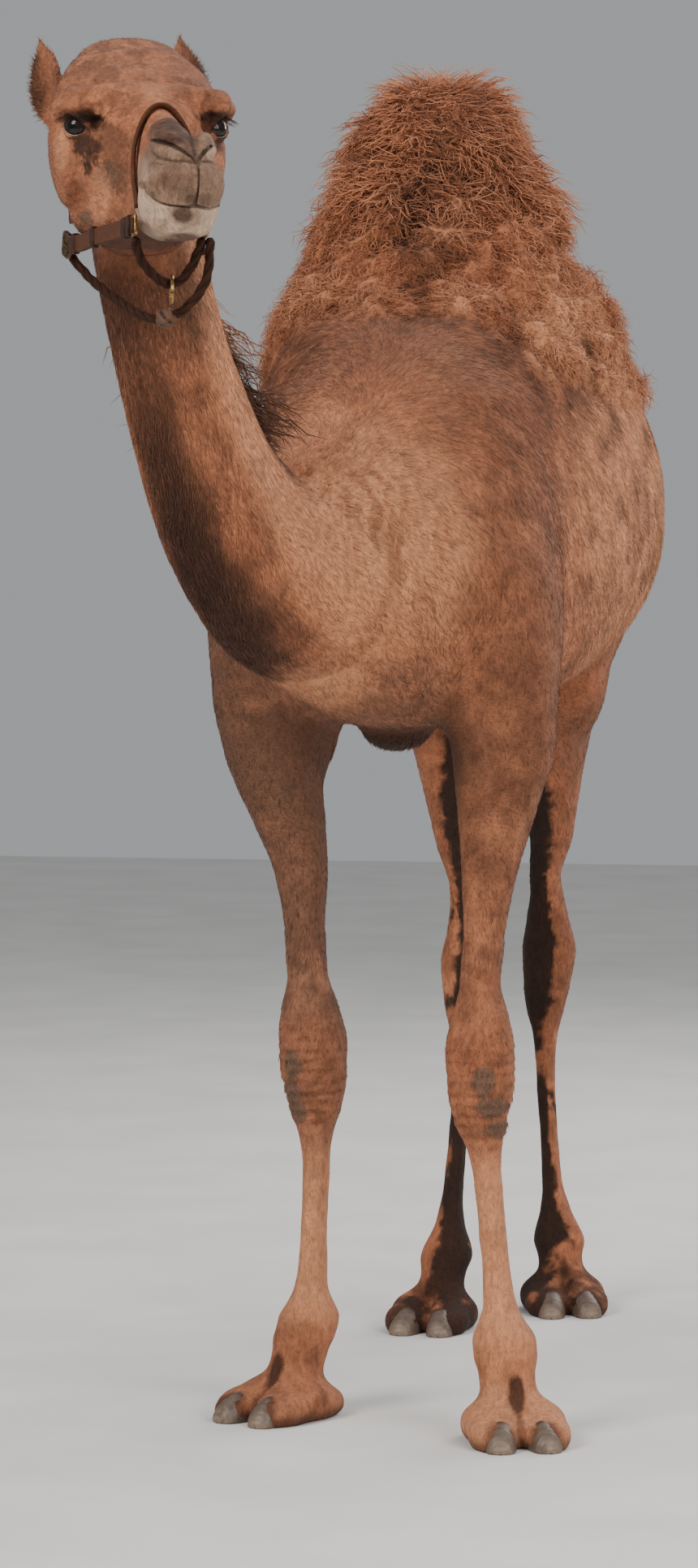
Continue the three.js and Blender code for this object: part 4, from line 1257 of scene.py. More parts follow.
class Coat:
    """Where the coat lies, which way, how long and what colour, as functions of place on the body plan."""

    def __init__(self, body: Body) -> None:
        """Keeps the body whose regions the coat follows."""
        self.body = body
        self.palette = Palette()

    def shares(self, parts: Array) -> Array:
        """How much each region owns each place: exp(-distance / 25 mm), scaled to add up to one.

        Args:
            parts: Distances to the regions.

        Returns:
            Shares, regions by points.
        """
        w = np.exp(-np.clip(parts - parts.min(0), 0, 1) / 0.025)
        return w / w.sum(0)

    def wool_edge(self, p: Array) -> Array:
        """The height of the wool's ragged lower edge: lowest on the flanks, higher in front."""
        side = np.abs(p[:, 1] + 0.02)
        front = ramp(p[:, 0], 0.0, 0.35)
        edge = 1.66 + 0.080 * front * (1 - ramp(p[:, 1], 0.02, 0.24)) - 0.06 * ramp(side, 0.15, 0.32)
        return edge + 0.045 * cloud(p, 0.09, 21) + 0.020 * cloud(p, 0.035, 22)

    def wool(self, p: Array, w: Array) -> Array:
        """How woolly each place is: 1 over the hump, falling to 0 across its ragged edge."""
        return ramp(p[:, 2] - self.wool_edge(p), -0.012, 0.035) * np.clip(w[0] + w[1], 0, 1)

    def clumps(self, p: Array) -> Array:
        """The wool's clumps, from -1 in the gaps to 1 on the crests: two sizes of drawn-down noise."""
        drawn = p * np.array([1.0, 1.0, 0.8])
        return np.clip(1.0 * cloud(drawn, 0.075, 31) + 1.1 * cloud(drawn, 0.036, 32), -1, 1)

    def furrows(self, p: Array) -> Array:
        """Partings of the fur that run down the skin, 0 to 1, darker partly from the skin in them and partly
        as painted shade: the peaks of noise drawn out downwards.
        """
        drawn = p * np.array([1.0, 1.0, 0.13])
        return ramp(cloud(drawn, 0.026, 33) + 0.4 * cloud(p, 0.05, 34), 0.06, 0.36)

    def pleats(self, p: Array) -> Array:
        """Where the neck's base is pleated and the low flank parted, 0 to 1."""
        base = spot(p, (660, -30, 1400), (240, 170, 200))
        flank = spot(p, (-250, 300, 1310), (420, 140, 150))
        breast = spot(p, (560, 120, 1320), (150, 110, 170))
        return np.clip(base + 0.55 * flank + 0.4 * breast, 0, 1)

    def strip(self, p: Array, w: Array) -> Array:
        """The dark strip down the neck's front, 0 to 1: 35 mm a side at the throat, 110 mm at the chest."""
        t, across, up, _, _, _ = self.body.neck.section(p)
        half = np.interp(t, [0.40, 0.62, 0.80, 1.00, 1.2], [0.110, 0.085, 0.058, 0.040, 0.035])
        ragged = 0.25 * cloud(p, 0.05, 40) + 0.12 * cloud(p, 0.018, 41)
        wide = 1 - ramp(np.abs(across + 0.018) / half + ragged, 0.20, 1.25)
        along = ramp(t + 0.3 * ragged, 0.32, 0.56) * (1 - 0.75 * ramp(t, 0.82, 1.02))
        return wide * along * ramp(-up, 0.0, 0.05) * w[2]

    def mane(self, p: Array, w: Array) -> Array:
        """The throat's mane down the front of the neck, and the short mane on its nape."""
        t, across, up, _, _, _ = self.body.neck.section(p)
        front = ramp(-up, 0.02, 0.08) * (1 - ramp(np.abs(across), 0.07, 0.11)) * ramp(t, 0.36, 0.52)
        nape = ramp(up, 0.055, 0.085) * (1 - ramp(np.abs(across), 0.02, 0.05)) * ramp(t, 0.42, 0.6)
        return np.clip(front + nape, 0, 1) * w[2]

    def face_hair(self, p: Array, w: Array) -> Array:
        """How thickly the head's hair grows: thinly on the lips' front, not at all on the lids' edges."""
        q = HEAD.inward(p)
        bare = ramp(q[:, 0], 0.285, 0.31)
        eye = np.minimum(*(np.linalg.norm(q - np.array([6, s * 100, -2]) * MM, axis=1) for s in (1, -1)))
        return w[8] * (1 - 0.8 * bare) * ramp(eye, 0.014, 0.024)

    def face_length(self, p: Array) -> Array:
        """How long the head's hair is: shortest on the muzzle, longest on the poll, cheeks and ears."""
        x = HEAD.inward(p)[:, 0]
        return 0.55 + 0.9 * ramp(-x, -0.12, 0.16)

    def direction(self, p: Array, normals: Array, parts: Array) -> Array:
        """The way the hair points, along the skin.

        The trunk's points back and down, the wool's down and off its clumps' crests, the neck's back down its
        path, the legs' down, the head's back from the lips to the poll. Each is weighed by its region's share
        and laid flat on the skin.
        """
        w = self.shares(parts)
        flow = np.zeros_like(p)
        flow += w[0][:, None] * np.array([-0.9, 0.0, -0.75])
        flow += w[1][:, None] * np.array([-0.25, 0.0, -1.0])
        wool = self.wool(p, w) * (1 - ramp(p[:, 2], 1.88, 2.0))
        slope = np.zeros_like(p)
        on = wool > 0.05
        for axis, step in enumerate(0.006 * np.eye(3)):
            slope[on, axis] = (self.clumps(p[on] + step) - self.clumps(p[on] - step)) / 0.012
        flow -= 0.055 * wool[:, None] * slope
        neck = -self.body.neck.heading(p) + np.array([-0.25, 0, -0.55])
        flow += w[2][:, None] * unit(neck)
        legs = w[3:8].sum(0)
        flow += legs[:, None] * np.array([-0.12, 0.0, -1.0])
        q = HEAD.inward(p)
        local = np.stack([-np.ones(len(p)), q[:, 1] * 3.0, -0.35 + 0 * q[:, 0]], 1)
        for root, tip, facing in EAR_POSES:
            frame = ear_frame(root, tip, facing)
            e = frame.inward(q)
            on = on_ear(e, 0.0, 0.02)
            out = np.stack([0 * on, e[:, 1] * 34.0, 0.9 + 0 * on], 1) @ frame.turn.T
            local = local + (unit(out) - local) * on[:, None]
        flow += w[8][:, None] * (unit(local) @ HEAD.turn.T)
        flow -= normals * (flow * normals).sum(1, keepdims=True)
        return unit(flow)

    def lie(self, p: Array, parts: Array) -> Array:
        """A place in space pressed together along the hair, so that noise read here is drawn out along it.

        On the body the hair's line leans by the angle a, 37 degrees on the trunk and neck falling to none on
        the legs: the first number is (x sin a + z cos a) / 7, the others y and x cos a - z sin a. On the head
        they are x / 4, y and z of the head's frame, turning to 3 x / 4, y and z / 3 over the muzzle.
        """
        a = 0.64 * ramp(p[:, 2], 0.8, 1.3)
        made = np.stack([
            (p[:, 0] * np.sin(a) + p[:, 2] * np.cos(a)) / 7, p[:, 1],
            p[:, 0] * np.cos(a) - p[:, 2] * np.sin(a),
        ], 1)
        own = parts.argmin(0) == Region.HEAD.value
        q = HEAD.inward(p[own])
        ahead = ramp(q[:, 0], 0.16, 0.27)
        made[own] = np.stack([q[:, 0] * (0.25 + 0.5 * ahead), q[:, 1], q[:, 2] * (1 - 0.65 * ahead)], 1)
        return made

    def colour(self, p: Array, normals: Array, parts: Array) -> Array:
        """The marking's colour at each place of the skin.

        Tan ground with slow bay and pale mottling, then in turn the wool with painted light and shade on its
        clumps, the chest's and armpits' grey patches, the neck's strip with painted shade under the chin, the
        legs' stains and painted shade, and the head's marks with painted shade and highlights.

        Args:
            p: Places on the body plan.
            normals: Outward normals there.
            parts: Distances to the regions.

        Returns:
            Linear colours.
        """
        w = self.shares(parts)
        c = self.palette
        base = np.repeat(c.tan[None], len(p), 0)
        slow, quick = cloud(p, 0.16, 3), cloud(p, 0.035, 5)
        base = mixed(base, c.bay, 0.40 * ramp(slow + 0.3 * quick, -0.15, 0.45))
        base = mixed(base, c.pale, 0.30 * ramp(-slow + 0.25 * quick, 0.0, 0.5))
        withers = spot(p, (360, 20, 1640), (380, 380, 230))
        shoulder = spot(p, (520, 110, 1400), (260, 260, 300))
        base = mixed(base, c.bay, 0.60 * withers + 0.35 * shoulder)
        base = mixed(base, c.brown, 0.62 * spot(p, (380, 20, 1660), (330, 330, 190)))
        base = mixed(base, c.pale, 0.85 * spot(p, (-120, 300, 1420), (640, 230, 380)))
        streaks = cloud(self.lie(p, parts) * np.array([2.4, 1, 1]), 0.017, 7)
        base = mixed(base, c.brown, 0.40 * ramp(quick, -0.1, 0.5) + 0.42 * ramp(streaks, -0.05, 0.55))
        base = self.trunk_colour(base, p, w)
        base = self.neck_colour(base, p, w)
        base = self.leg_colour(base, p, normals, w)
        base = self.head_colour(base, HEAD.inward(p), normals @ HEAD.turn, w[8])
        grey = (base @ GREY_WEIGHTS)[:, None]
        return BRIGHTNESS * (grey + SATURATION * (base - grey))

    def trunk_colour(self, base: Array, p: Array, w: Array) -> Array:
        """The hump's wool with painted highlights on its clumps' crests and painted shade in the gaps between
        them, a hollow in front, painted shadow under the wool's edge, the partings with painted shade in them,
        chest, armpits and pads.
        """
        c = self.palette
        wool = self.wool(p, w)
        gap = ramp(-self.clumps(p), 0.0, 0.60)
        base = mixed(base, c.wool, 0.75 * wool)
        base = mixed(base, c.pale, 0.60 * wool * spot(p, (120, 260, 1700), (380, 190, 210)))
        # painted highlight on the crests of the wool's raised clumps
        base = mixed(base, c.pale, 0.30 * wool * ramp(self.clumps(p), 0.2, 0.9))
        # painted shade in the gaps between the wool's raised clumps
        base = mixed(base, c.umber, wool * 0.84 * gap * (1 - 0.5 * ramp(p[:, 2], 1.88, 2.0)))
        # painted shadow in a band just under the wool's lower edge
        under = np.exp(-(((p[:, 2] - self.wool_edge(p) + 0.016) / 0.026) ** 2)) * np.clip(w[0] + w[1], 0, 1)
        base = mixed(base, c.umber, 0.55 * under * ramp(cloud(p, 0.05, 36), -0.16, 0.35))
        hollow = spot(p, (215, -12, 1950), (200, 80, 190)) * (0.62 + 0.8 * cloud(p, 0.05, 37))
        base = mixed(base, c.umber, 0.9 * hollow)
        base = mixed(base, c.brown, 0.35 * spot(p, (300, -150, 1700), (200, 160, 110)))
        shoulder = spot(p, (500, 130, 1430), (240, 190, 260))
        base = mixed(base, c.brown, 0.45 * shoulder * (0.6 + 1.8 * cloud(p, 0.03, 47)))
        wave = ramp(np.abs(cloud(p * np.array([1.0, 1.0, 0.35]), 0.024, 48)), 0.16, 0.0)
        base = mixed(base, c.umber, 0.38 * wave * spot(p, (500, 130, 1420), (300, 260, 300)))
        breast = spot(p, (680, 20, 1370), (230, 190, 230))
        base = mixed(base, c.pale, 0.75 * breast * (1 - 0.6 * self.furrows(p)))
        # partly the darker skin in the fur's partings, partly painted shade in the sunk furrows
        base = mixed(base, c.umber, 0.55 * self.pleats(p) * self.furrows(p))
        for at, radii, share in (
            ((650, 45, 1180), (170, 110, 90), 0.55), ((560, 125, 1080), (110, 100, 130), 0.95),
            ((545, -160, 1060), (120, 90, 130), 0.95), ((600, -60, 1120), (200, 150, 90), 0.5),
            ((-560, 125, 1040), (130, 80, 120), 0.95),
        ):
            base = mixed(base, c.grey, share * spot(p, at, radii) * (0.8 + 0.5 * cloud(p, 0.05, 38)))
        base = mixed(base, c.umber, 0.8 * spot(p, (560, 125, 1075), (60, 45, 70)))
        base = mixed(base, c.umber, 0.85 * spot(p, (545, -165, 1040), (60, 40, 80)))
        base = mixed(base, c.umber, 0.92 * spot(p, (420, -16, 1070), (190, 120, 85)))
        base = mixed(base, c.umber, 0.5 * ramp(-p[:, 2], -1.14, -1.06) * w[0])
        return base

    def neck_colour(self, base: Array, p: Array, w: Array) -> Array:
        """The dark throat mane, its soft edge, painted shade on the throat under the chin, the pale lower edge
        of the neck's bulge and the dark nape.
        """
        c = self.palette
        t, across, up, _, _, _ = self.body.neck.section(p)
        mane, strip = self.mane(p, w), self.strip(p, w)
        base = mixed(base, c.brown, 0.30 * mane * (0.8 + 0.7 * cloud(p, 0.03, 42)))
        base = mixed(base, c.pale, 0.45 * w[2] * ramp(across, 0.0, 0.06) * (1 - mane))
        base = mixed(base, c.brown, 0.72 * ramp(strip, 0.05, 0.60))
        core = ramp(strip + 0.22 * cloud(p * np.array([1, 1, 0.4]), 0.018, 49), 0.35, 1.0)
        base = mixed(base, c.umber, 0.80 * core * (1 - 0.45 * ramp(t, 0.70, 0.95)))
        # painted shade on the throat under the chin
        base = mixed(base, c.umber, 0.78 * ramp(t, 0.88, 1.02) * ramp(-up, -0.03, 0.03) * w[2])
        sides = ramp(np.abs(across), 0.055, 0.085) * (1 - ramp(-up, 0.02, 0.07)) * w[2]
        base = mixed(base, c.pale, 0.30 * sides)
        nape = ramp(up, 0.045, 0.08) * ramp(t, 0.50, 0.68) * (1 - ramp(t, 0.88, 1.0)) * w[2]
        base = mixed(base, c.umber, 0.85 * nape)
        low = spot(p, (800, -70, 1165), (190, 120, 60))
        return mixed(base, c.pale, 0.55 * low)

    def leg_colour(self, base: Array, p: Array, normals: Array, w: Array) -> Array:
        """Fore legs paler below with worn knees, the right one painted darker and greyer as shade; hind legs
        stained black behind and inside, rusty below; painted shade between the toes.
        """
        c = self.palette
        z = p[:, 2]
        fore, hind = w[3] + w[4], w[5] + w[6]
        mottle = 1 + 0.45 * cloud(p, 0.05, 43) + 0.6 * cloud(p, 0.016, 50)
        # the extra share for the right foreleg, w[4], is painted shade that darkens it against the left one
        base = mixed(base, c.brown, (0.24 + 0.44 * ramp(z, 0.45, 0.80)) * (fore + 0.40 * w[4]) * mottle)
        base = mixed(base, c.pale, 0.45 * fore * (1 - ramp(z, 0.36, 0.50)) * ramp(z, 0.12, 0.2))
        base = mixed(base, c.bay, 0.35 * fore * spot(p, (540, 0, 560), (260, 400, 150)))
        ragged = 0.34 * cloud(p, 0.03, 44) + 0.26 * cloud(p, 0.012, 45)
        # painted shade: the right foreleg greyer from the knee up
        base = mixed(base, c.grey, 0.40 * w[4] * ramp(z, 0.30, 0.50))
        worn, knees = self.worn(p), self.knees(p)
        base = mixed(base, c.bay, 0.40 * knees * fore)
        folds = ramp(cloud(p * np.array([1, 1, 1.8]), 0.02, 56), -0.1, 0.4)
        base = mixed(base, c.brown, 0.65 * knees * fore * folds)
        base = mixed(base, c.umber, 0.55 * fore * ramp(worn, 0.05, 0.5) * (1 - worn))
        base = mixed(base, c.grey, 0.85 * fore * worn)
        inner = np.where(w[5] > w[6], -normals[:, 1], normals[:, 1])
        stain = 0.95 * ramp(inner, -0.55, 0.05) + 0.5 * ramp(-normals[:, 0], 0.1, 0.7)
        lower = 1 - ramp(z, 0.50, 0.62)
        base = mixed(base, c.bay, 0.5 * hind)
        base = mixed(base, c.brown, 0.50 * hind * ramp(cloud(p, 0.03, 57), -0.3, 0.3))
        level = np.interp(z, [0.05, 0.13, 0.22, 0.31, 0.42, 0.55, 0.70, 0.90, 1.02, 1.12],
            [-0.2, -0.05, 0.35, 0.30, 0.0, 0.12, 0.15, 0.10, -0.2, -1.0])
        streaks = cloud(p * np.array([1, 1, 0.4]), 0.04, 46)
        dark = ramp(0.9 * stain + level + 1.3 * ragged + 0.7 * streaks * lower, 0.30, 0.62)
        base = mixed(base, c.stain_and_shade_black, 0.96 * hind * dark)
        foot = 1 - ramp(z, 0.055, 0.115)
        muddy = ramp(0.7 + ragged + 0.8 * cloud(p, 0.02, 54), 0.2, 0.8)
        base = mixed(base, c.umber, 0.80 * hind * foot * muddy)
        base = mixed(base, c.brown, 0.25 * fore * foot * (0.8 + ragged))
        base = mixed(base, c.pale, 0.40 * w[3] * foot)
        for k, plan in enumerate(LEG_PLANS):
            e = plan.foot_frame().inward(p)
            # painted shade in the cleft and the groove between the toes
            cleft = spot(e, (plan.foot_length * 0.22, 0, 84), (60, 24, 46))
            cleft = ramp(cleft * (1.1 + 0.6 * ragged), 0.10, 0.55)
            groove = ramp(spot(e, (plan.foot_length * 0.42, 0, 36), (70, 9, 50)), 0.05, 0.5)
            base = mixed(base, c.umber, np.clip(cleft + 0.7 * groove, 0, 1) * 0.9 * w[3 + k])
            for side in (1, -1):
                toe = (plan.foot_length * 0.47, side * plan.foot_width * 0.21, 24)
                rim = spot(e, toe, (46, 34, 40)) * (1.0 + 0.8 * ragged)
                base = mixed(base, c.umber, 0.75 * np.clip(1.3 * rim, 0, 1) * w[3 + k])
        sole = 1 - ramp(z, 0.006, 0.026)
        return mixed(base, c.umber, 0.7 * sole * (fore + hind))

    def worn(self, p: Array) -> Array:
        """The bare calluses of the fore knees, three on each, with ragged edges, 0 to 1."""
        ragged = 0.5 * cloud(p, 0.022, 58) + 0.3 * cloud(p, 0.009, 59)
        best = np.zeros(len(p))
        for at, radii in (
            ((640, 166, 562), (70, 22, 34)), ((640, 178, 520), (70, 32, 20)), ((640, 190, 484), (70, 34, 20)),
            ((520, -160, 566), (70, 20, 32)), ((520, -164, 524), (70, 22, 24)),
            ((520, -160, 488), (70, 22, 26)),
        ):
            best = np.maximum(best, ramp(spot(p, at, radii) * (1 + ragged) + 0.25 * ragged, 0.16, 0.34))
        return best

    def knees(self, p: Array) -> Array:
        """The rough wrinkled fronts of the fore knees, 0 to 1."""
        both = spot(p, (640, 170, 540), (110, 95, 125)) + spot(p, (520, -150, 545), (110, 95, 125))
        return np.clip(1.6 * both, 0, 1)

    def head_colour(self, base: Array, q: Array, n: Array, share: Array) -> Array:
        """The head's markings.

        Places q and normals n are in the head's frame. In turn: brown mottle over the crown, painted shadow
        under the brows over the eyes and dark round the eyes, the face's patches, among them more painted
        shadow under the brows and painted highlights on the brow's middle and the cheeks, painted shade under
        the jaw, the nose pad, lips and painted shade in the creases, and the ears' dark edges.

        Args:
            base: Colours so far.
            q: Places.
            n: Outward normals.
            share: How much each place belongs to the head.

        Returns:
            The colours.
        """
        c = self.palette
        x, z = q[:, 0], q[:, 2]
        quick, fine, tiny = cloud(q, 0.022, 51), cloud(q, 0.008, 52), cloud(q, 0.0035, 53)
        ragged = 0.45 * quick + 0.35 * fine

        def dab(colour: Array, at: Sequence[float], radii: Sequence[float], amount: float,
                rough: float = 1.0) -> None:
            """Lays a ragged patch of a colour on the head."""
            nonlocal base
            body = np.clip(spot(q, at, radii) * (1 + rough * 1.6 * ragged), 0, 1)
            base = mixed(base, colour, amount * body * share)

        base = mixed(base, c.bay, 0.42 * share)
        base = mixed(base, c.brown, 0.30 * share * (1 + 1.6 * tiny + 1.0 * fine))
        base = mixed(base, c.brown, 0.30 * ramp(z, 0.02, 0.07) * share)
        crown = ramp(quick + 0.5 * fine, -0.10, 0.35)
        base = mixed(base, c.brown, 0.55 * crown * ramp(z, 0.02, 0.08) * share)
        base = mixed(base, c.brown, 0.35 * ramp(quick, -0.05, 0.4) * share)
        for side in (1.0, -1.0):
            # painted shadow under the brow, over the upper lid; then darker at the eye's inner corner and
            # below the eye, and a brown patch low on the cheek
            dab(c.umber, (14, side * 98, 14), (44, 40, 18), 0.92, 0.4)
            dab(c.umber, (34, side * 84, 2), (26, 24, 13), 0.7, 0.9)
            dab(c.umber, (22, side * 96, -20), (30, 30, 17), 0.7, 1.6)
            dab(c.brown, (30, side * 88, -132), (30, 30, 24), 0.6)
        back = ramp(0.165 - x, 0.0, 0.01)
        left, up = on_face_plane(q)
        for colour, at, radii, amount, rough in FACE_PATCHES:
            gap = np.hypot((left - at[0] * MM) / (radii[0] * MM), (up - at[1] * MM) / (radii[1] * MM))
            body = ramp(1.20 - gap + rough * (0.9 * ragged + 0.35 * tiny), 0.0, 0.55)
            ahead = ramp(x, -0.030, 0.005) if at[0] > 30 else ramp(x, -0.10, -0.06)
            facing = ramp(n[:, 0] + 0.35, 0.0, 0.2)
            base = mixed(base, getattr(c, colour), amount * body * share * back * ahead * facing)
        # painted shade on the jaw's underside, on the faces turned down
        jaw = ramp(-n[:, 2], 0.35, 0.8) * ramp(-z, 0.12, 0.15) * (1 - ramp(x, 0.20, 0.24))
        base = mixed(base, c.umber, 0.8 * jaw * share)
        base = self.muzzle_colour(base, q, ragged, share)
        return self.ear_colour(base, q, ragged, share)

    def muzzle_colour(self, base: Array, q: Array, ragged: Array, share: Array) -> Array:
        """The brown nose pad, grey-beige lips with dark edges, pale lower lip with its spot, and painted shade
        in the creases.
        """
        c = self.palette
        x = q[:, 0]
        face = ramp(x, 0.200, 0.250) * share
        base = mixed(base, c.muzzle, face * 0.95)
        speckle = ramp(cloud(q, 0.010, 55) + 0.6 * cloud(q, 0.0035, 64), 0.0, 0.45)
        base = mixed(base, c.pad, 0.40 * face * speckle)
        left, up = on_face_plane(q)
        front = ramp(x, 0.165, 0.185) * share

        def dab(colour: Array, at: Sequence[float], radii: Sequence[float], amount: float,
                rough: float = 1.0) -> None:
            """Lays a ragged patch on the muzzle, placed on the plane ahead of it."""
            nonlocal base
            gap = np.hypot((left - at[0] * MM) / (radii[0] * MM), (up - at[1] * MM) / (radii[1] * MM))
            body = np.clip((1 - ramp(gap, 0.5, 1.1)) * (1 + rough * 1.5 * ragged), 0, 1)
            base = mixed(base, colour, amount * body * front)

        dab(c.rust, (-10, 30), (26, 16), 0.45)
        dab(c.pad, (-12, 2), (44, 26), 0.95, 0.6)
        dab(c.umber, (-22, 4), (20, 14), 0.5)
        dab(c.umber, (-20, -14), (26, 6), 0.6)
        dab(c.pad, (14, -20), (12, 26), 0.7)
        dab(c.lip, (42, -29), (10, 13), 0.6)
        dab(c.muzzle, (-22, -30), (20, 8), 0.75, 0.4)
        dab(c.pad, (-8, -62), (30, 22), 0.45)
        dab(c.lip, (-58, -60), (14, 34), 0.5)
        low = ramp(-up - np.interp(left, np.array([-53, -49, -40, -28, -15, 10, 18, 26, 56]) * MM,
                                   np.array([72, 83, 91, 98, 101, 103, 100, 103, 100]) * MM), -0.001, 0.004)
        base = mixed(base, c.lip, 0.95 * low * front)
        dab(c.grey, (8, -86), (17, 14), 0.9)
        dab(c.umber, (12, -92), (9, 8), 0.5)
        dab(c.grey, (33, -92), (14, 11), 0.75)
        dab(c.umber, (2, -114), (17, 14), 0.95, 1.3)
        dab(c.grey, (4, -115), (28, 22), 0.50, 1.4)
        dab(c.brown, (-32, -128), (26, 14), 0.35, 1.4)
        dab(c.pad, (2, -148), (34, 12), 0.85)
        dab(c.brown, (-54, -74), (8, 7), 0.8)
        # painted shade in the muzzle's creases, nostrils and mouth
        return mixed(base, c.stain_and_shade_black, 0.72 * self.body.head.crease(q))

    def ear_colour(self, base: Array, q: Array, ragged: Array, share: Array) -> Array:
        """The ears: tan inside at the tip and the inner edge, dark brown over the outer half and the back."""
        c = self.palette
        for (root, tip, facing), side in zip(EAR_POSES, (1.0, -1.0)):
            frame = ear_frame(root, tip, facing)
            e = frame.inward(q)
            length = float(np.linalg.norm(np.subtract(tip, root))) * MM
            on = on_ear(e, -0.01, 0.012) * share
            outer = e[:, 1] * side
            dark = ramp(outer + 0.022 * ragged - 0.008 * ramp(e[:, 2] / length, 0.4, 1.0), -0.012, 0.010)
            base = mixed(base, c.brown, 0.75 * dark * on)
            base = mixed(base, c.umber, 0.45 * ramp(outer + 0.016 * ragged, 0.004, 0.022) * on)
            base = mixed(base, c.brown, 0.5 * on * (1 - dark) * (1 - ramp(e[:, 2] / length, 0.2, 0.6)))
        return base


# ---------------------------------------------------------------- finishes
class Graph:
    """A material's node tree with short ways of adding to it."""

    def __init__(self, name: str) -> None:
        """Starts a material with only its surface shader and output."""
        self.material = bpy.data.materials.new(name)
        self.material.use_nodes = True
        self.tree = self.material.node_tree
        self.tree.nodes.clear()
        self.out = self.tree.nodes.new("ShaderNodeOutputMaterial")
        self.surface = self.tree.nodes.new("ShaderNodeBsdfPrincipled")
        self.tree.links.new(self.surface.outputs["BSDF"], self.out.inputs["Surface"])

    def node(self, kind: str, **inputs: object) -> bpy.types.Node:
        """A new node. Sockets are set or linked by name, with underscores for spaces, or by number, as i0."""
        made = self.tree.nodes.new("ShaderNode" + kind)
        for key, value in inputs.items():
            if hasattr(made, key) and key not in made.inputs:
                setattr(made, key, value)
                continue
            numbered = key[0] == "i" and key[1:].isdigit()
            self.plug(made.inputs[int(key[1:]) if numbered else key.replace("_", " ")], value)
        return made

    def plug(self, socket: bpy.types.NodeSocket, value: object) -> None:
        """Sets a socket to a value, or links it from another socket."""
        if isinstance(value, bpy.types.NodeSocket):
            self.tree.links.new(value, socket)
        else:
            socket.default_value = value

    def shader(self, **inputs: object) -> None:
        """Sets or links the surface shader's sockets."""
        for key, value in inputs.items():
            self.plug(self.surface.inputs[key.replace("_", " ")], value)

    def attribute(self, name: str, output: str = "Color") -> bpy.types.NodeSocket:
        """A mesh attribute's output."""
        found = self.tree.nodes.new("ShaderNodeAttribute")
        found.attribute_name = name
        return found.outputs[output]

    def place(self, scale: Sequence[float] = (1, 1, 1),
            turn: Sequence[float] = (0, 0, 0)) -> bpy.types.NodeSocket:
        """Object coordinates, scaled and turned."""
        coordinates = self.tree.nodes.new("ShaderNodeTexCoord").outputs["Object"]
        mapping = self.node("Mapping", Vector=coordinates, Scale=tuple(scale), Rotation=tuple(turn))
        return mapping.outputs["Vector"]

    def noise(self, scale: float, vector: bpy.types.NodeSocket, detail: float = 2.0,
            rough: float = 0.5) -> bpy.types.NodeSocket:
        """A noise factor."""
        made = self.node("TexNoise", Vector=vector, Scale=scale, Detail=detail, Roughness=rough)
        return made.outputs["Factor"] if "Factor" in made.outputs else made.outputs["Fac"]

    def curve(self, value: bpy.types.NodeSocket, low: float, high: float, to_low: float = 0.0,
            to_high: float = 1.0) -> bpy.types.NodeSocket:
        """A value brought from one range to another with level ends."""
        made = self.tree.nodes.new("ShaderNodeMapRange")
        made.interpolation_type = "SMOOTHSTEP"
        for key, number in (("From Min", low), ("From Max", high), ("To Min", to_low), ("To Max", to_high)):
            made.inputs[key].default_value = number
        self.plug(made.inputs["Value"], value)
        return made.outputs["Result"]

    def blend(self, factor: object, first: object, second: object, kind: str = "MIX") -> bpy.types.NodeSocket:
        """Two colours mixed by a factor."""
        made = self.tree.nodes.new("ShaderNodeMix")
        made.data_type, made.blend_type = "RGBA", kind
        for socket, value in ((made.inputs[0], factor), (made.inputs[6], first), (made.inputs[7], second)):
            three = isinstance(value, (tuple, list, np.ndarray)) and len(value) == 3
            self.plug(socket, (*value, 1.0) if three else value)
        return made.outputs[2]

    def tinted(self, share: object, base: object, tone: object,
            tint: Sequence[float]) -> bpy.types.NodeSocket:
        """A base colour turned by a share towards a tone multiplied by a tint."""
        return self.blend(share, base, self.blend(1.0, tone, tint, "MULTIPLY"))

    def math(self, operation: str, *values: object) -> bpy.types.NodeSocket:
        """An arithmetic node."""
        made = self.tree.nodes.new("ShaderNodeMath")
        made.operation = operation
        for socket, value in zip(made.inputs, values):
            self.plug(socket, value)
        return made.outputs[0]

    def relief(self, height: bpy.types.NodeSocket, distance: float, strength: float = 1.0,
            under: object = None) -> bpy.types.NodeSocket:
        """A bump from a height, over another bump if one is given."""
        made = self.node("Bump", Strength=strength, Distance=distance, Height=height)
        if under is not None:
            self.plug(made.inputs["Normal"], under)
        return made.outputs["Normal"]


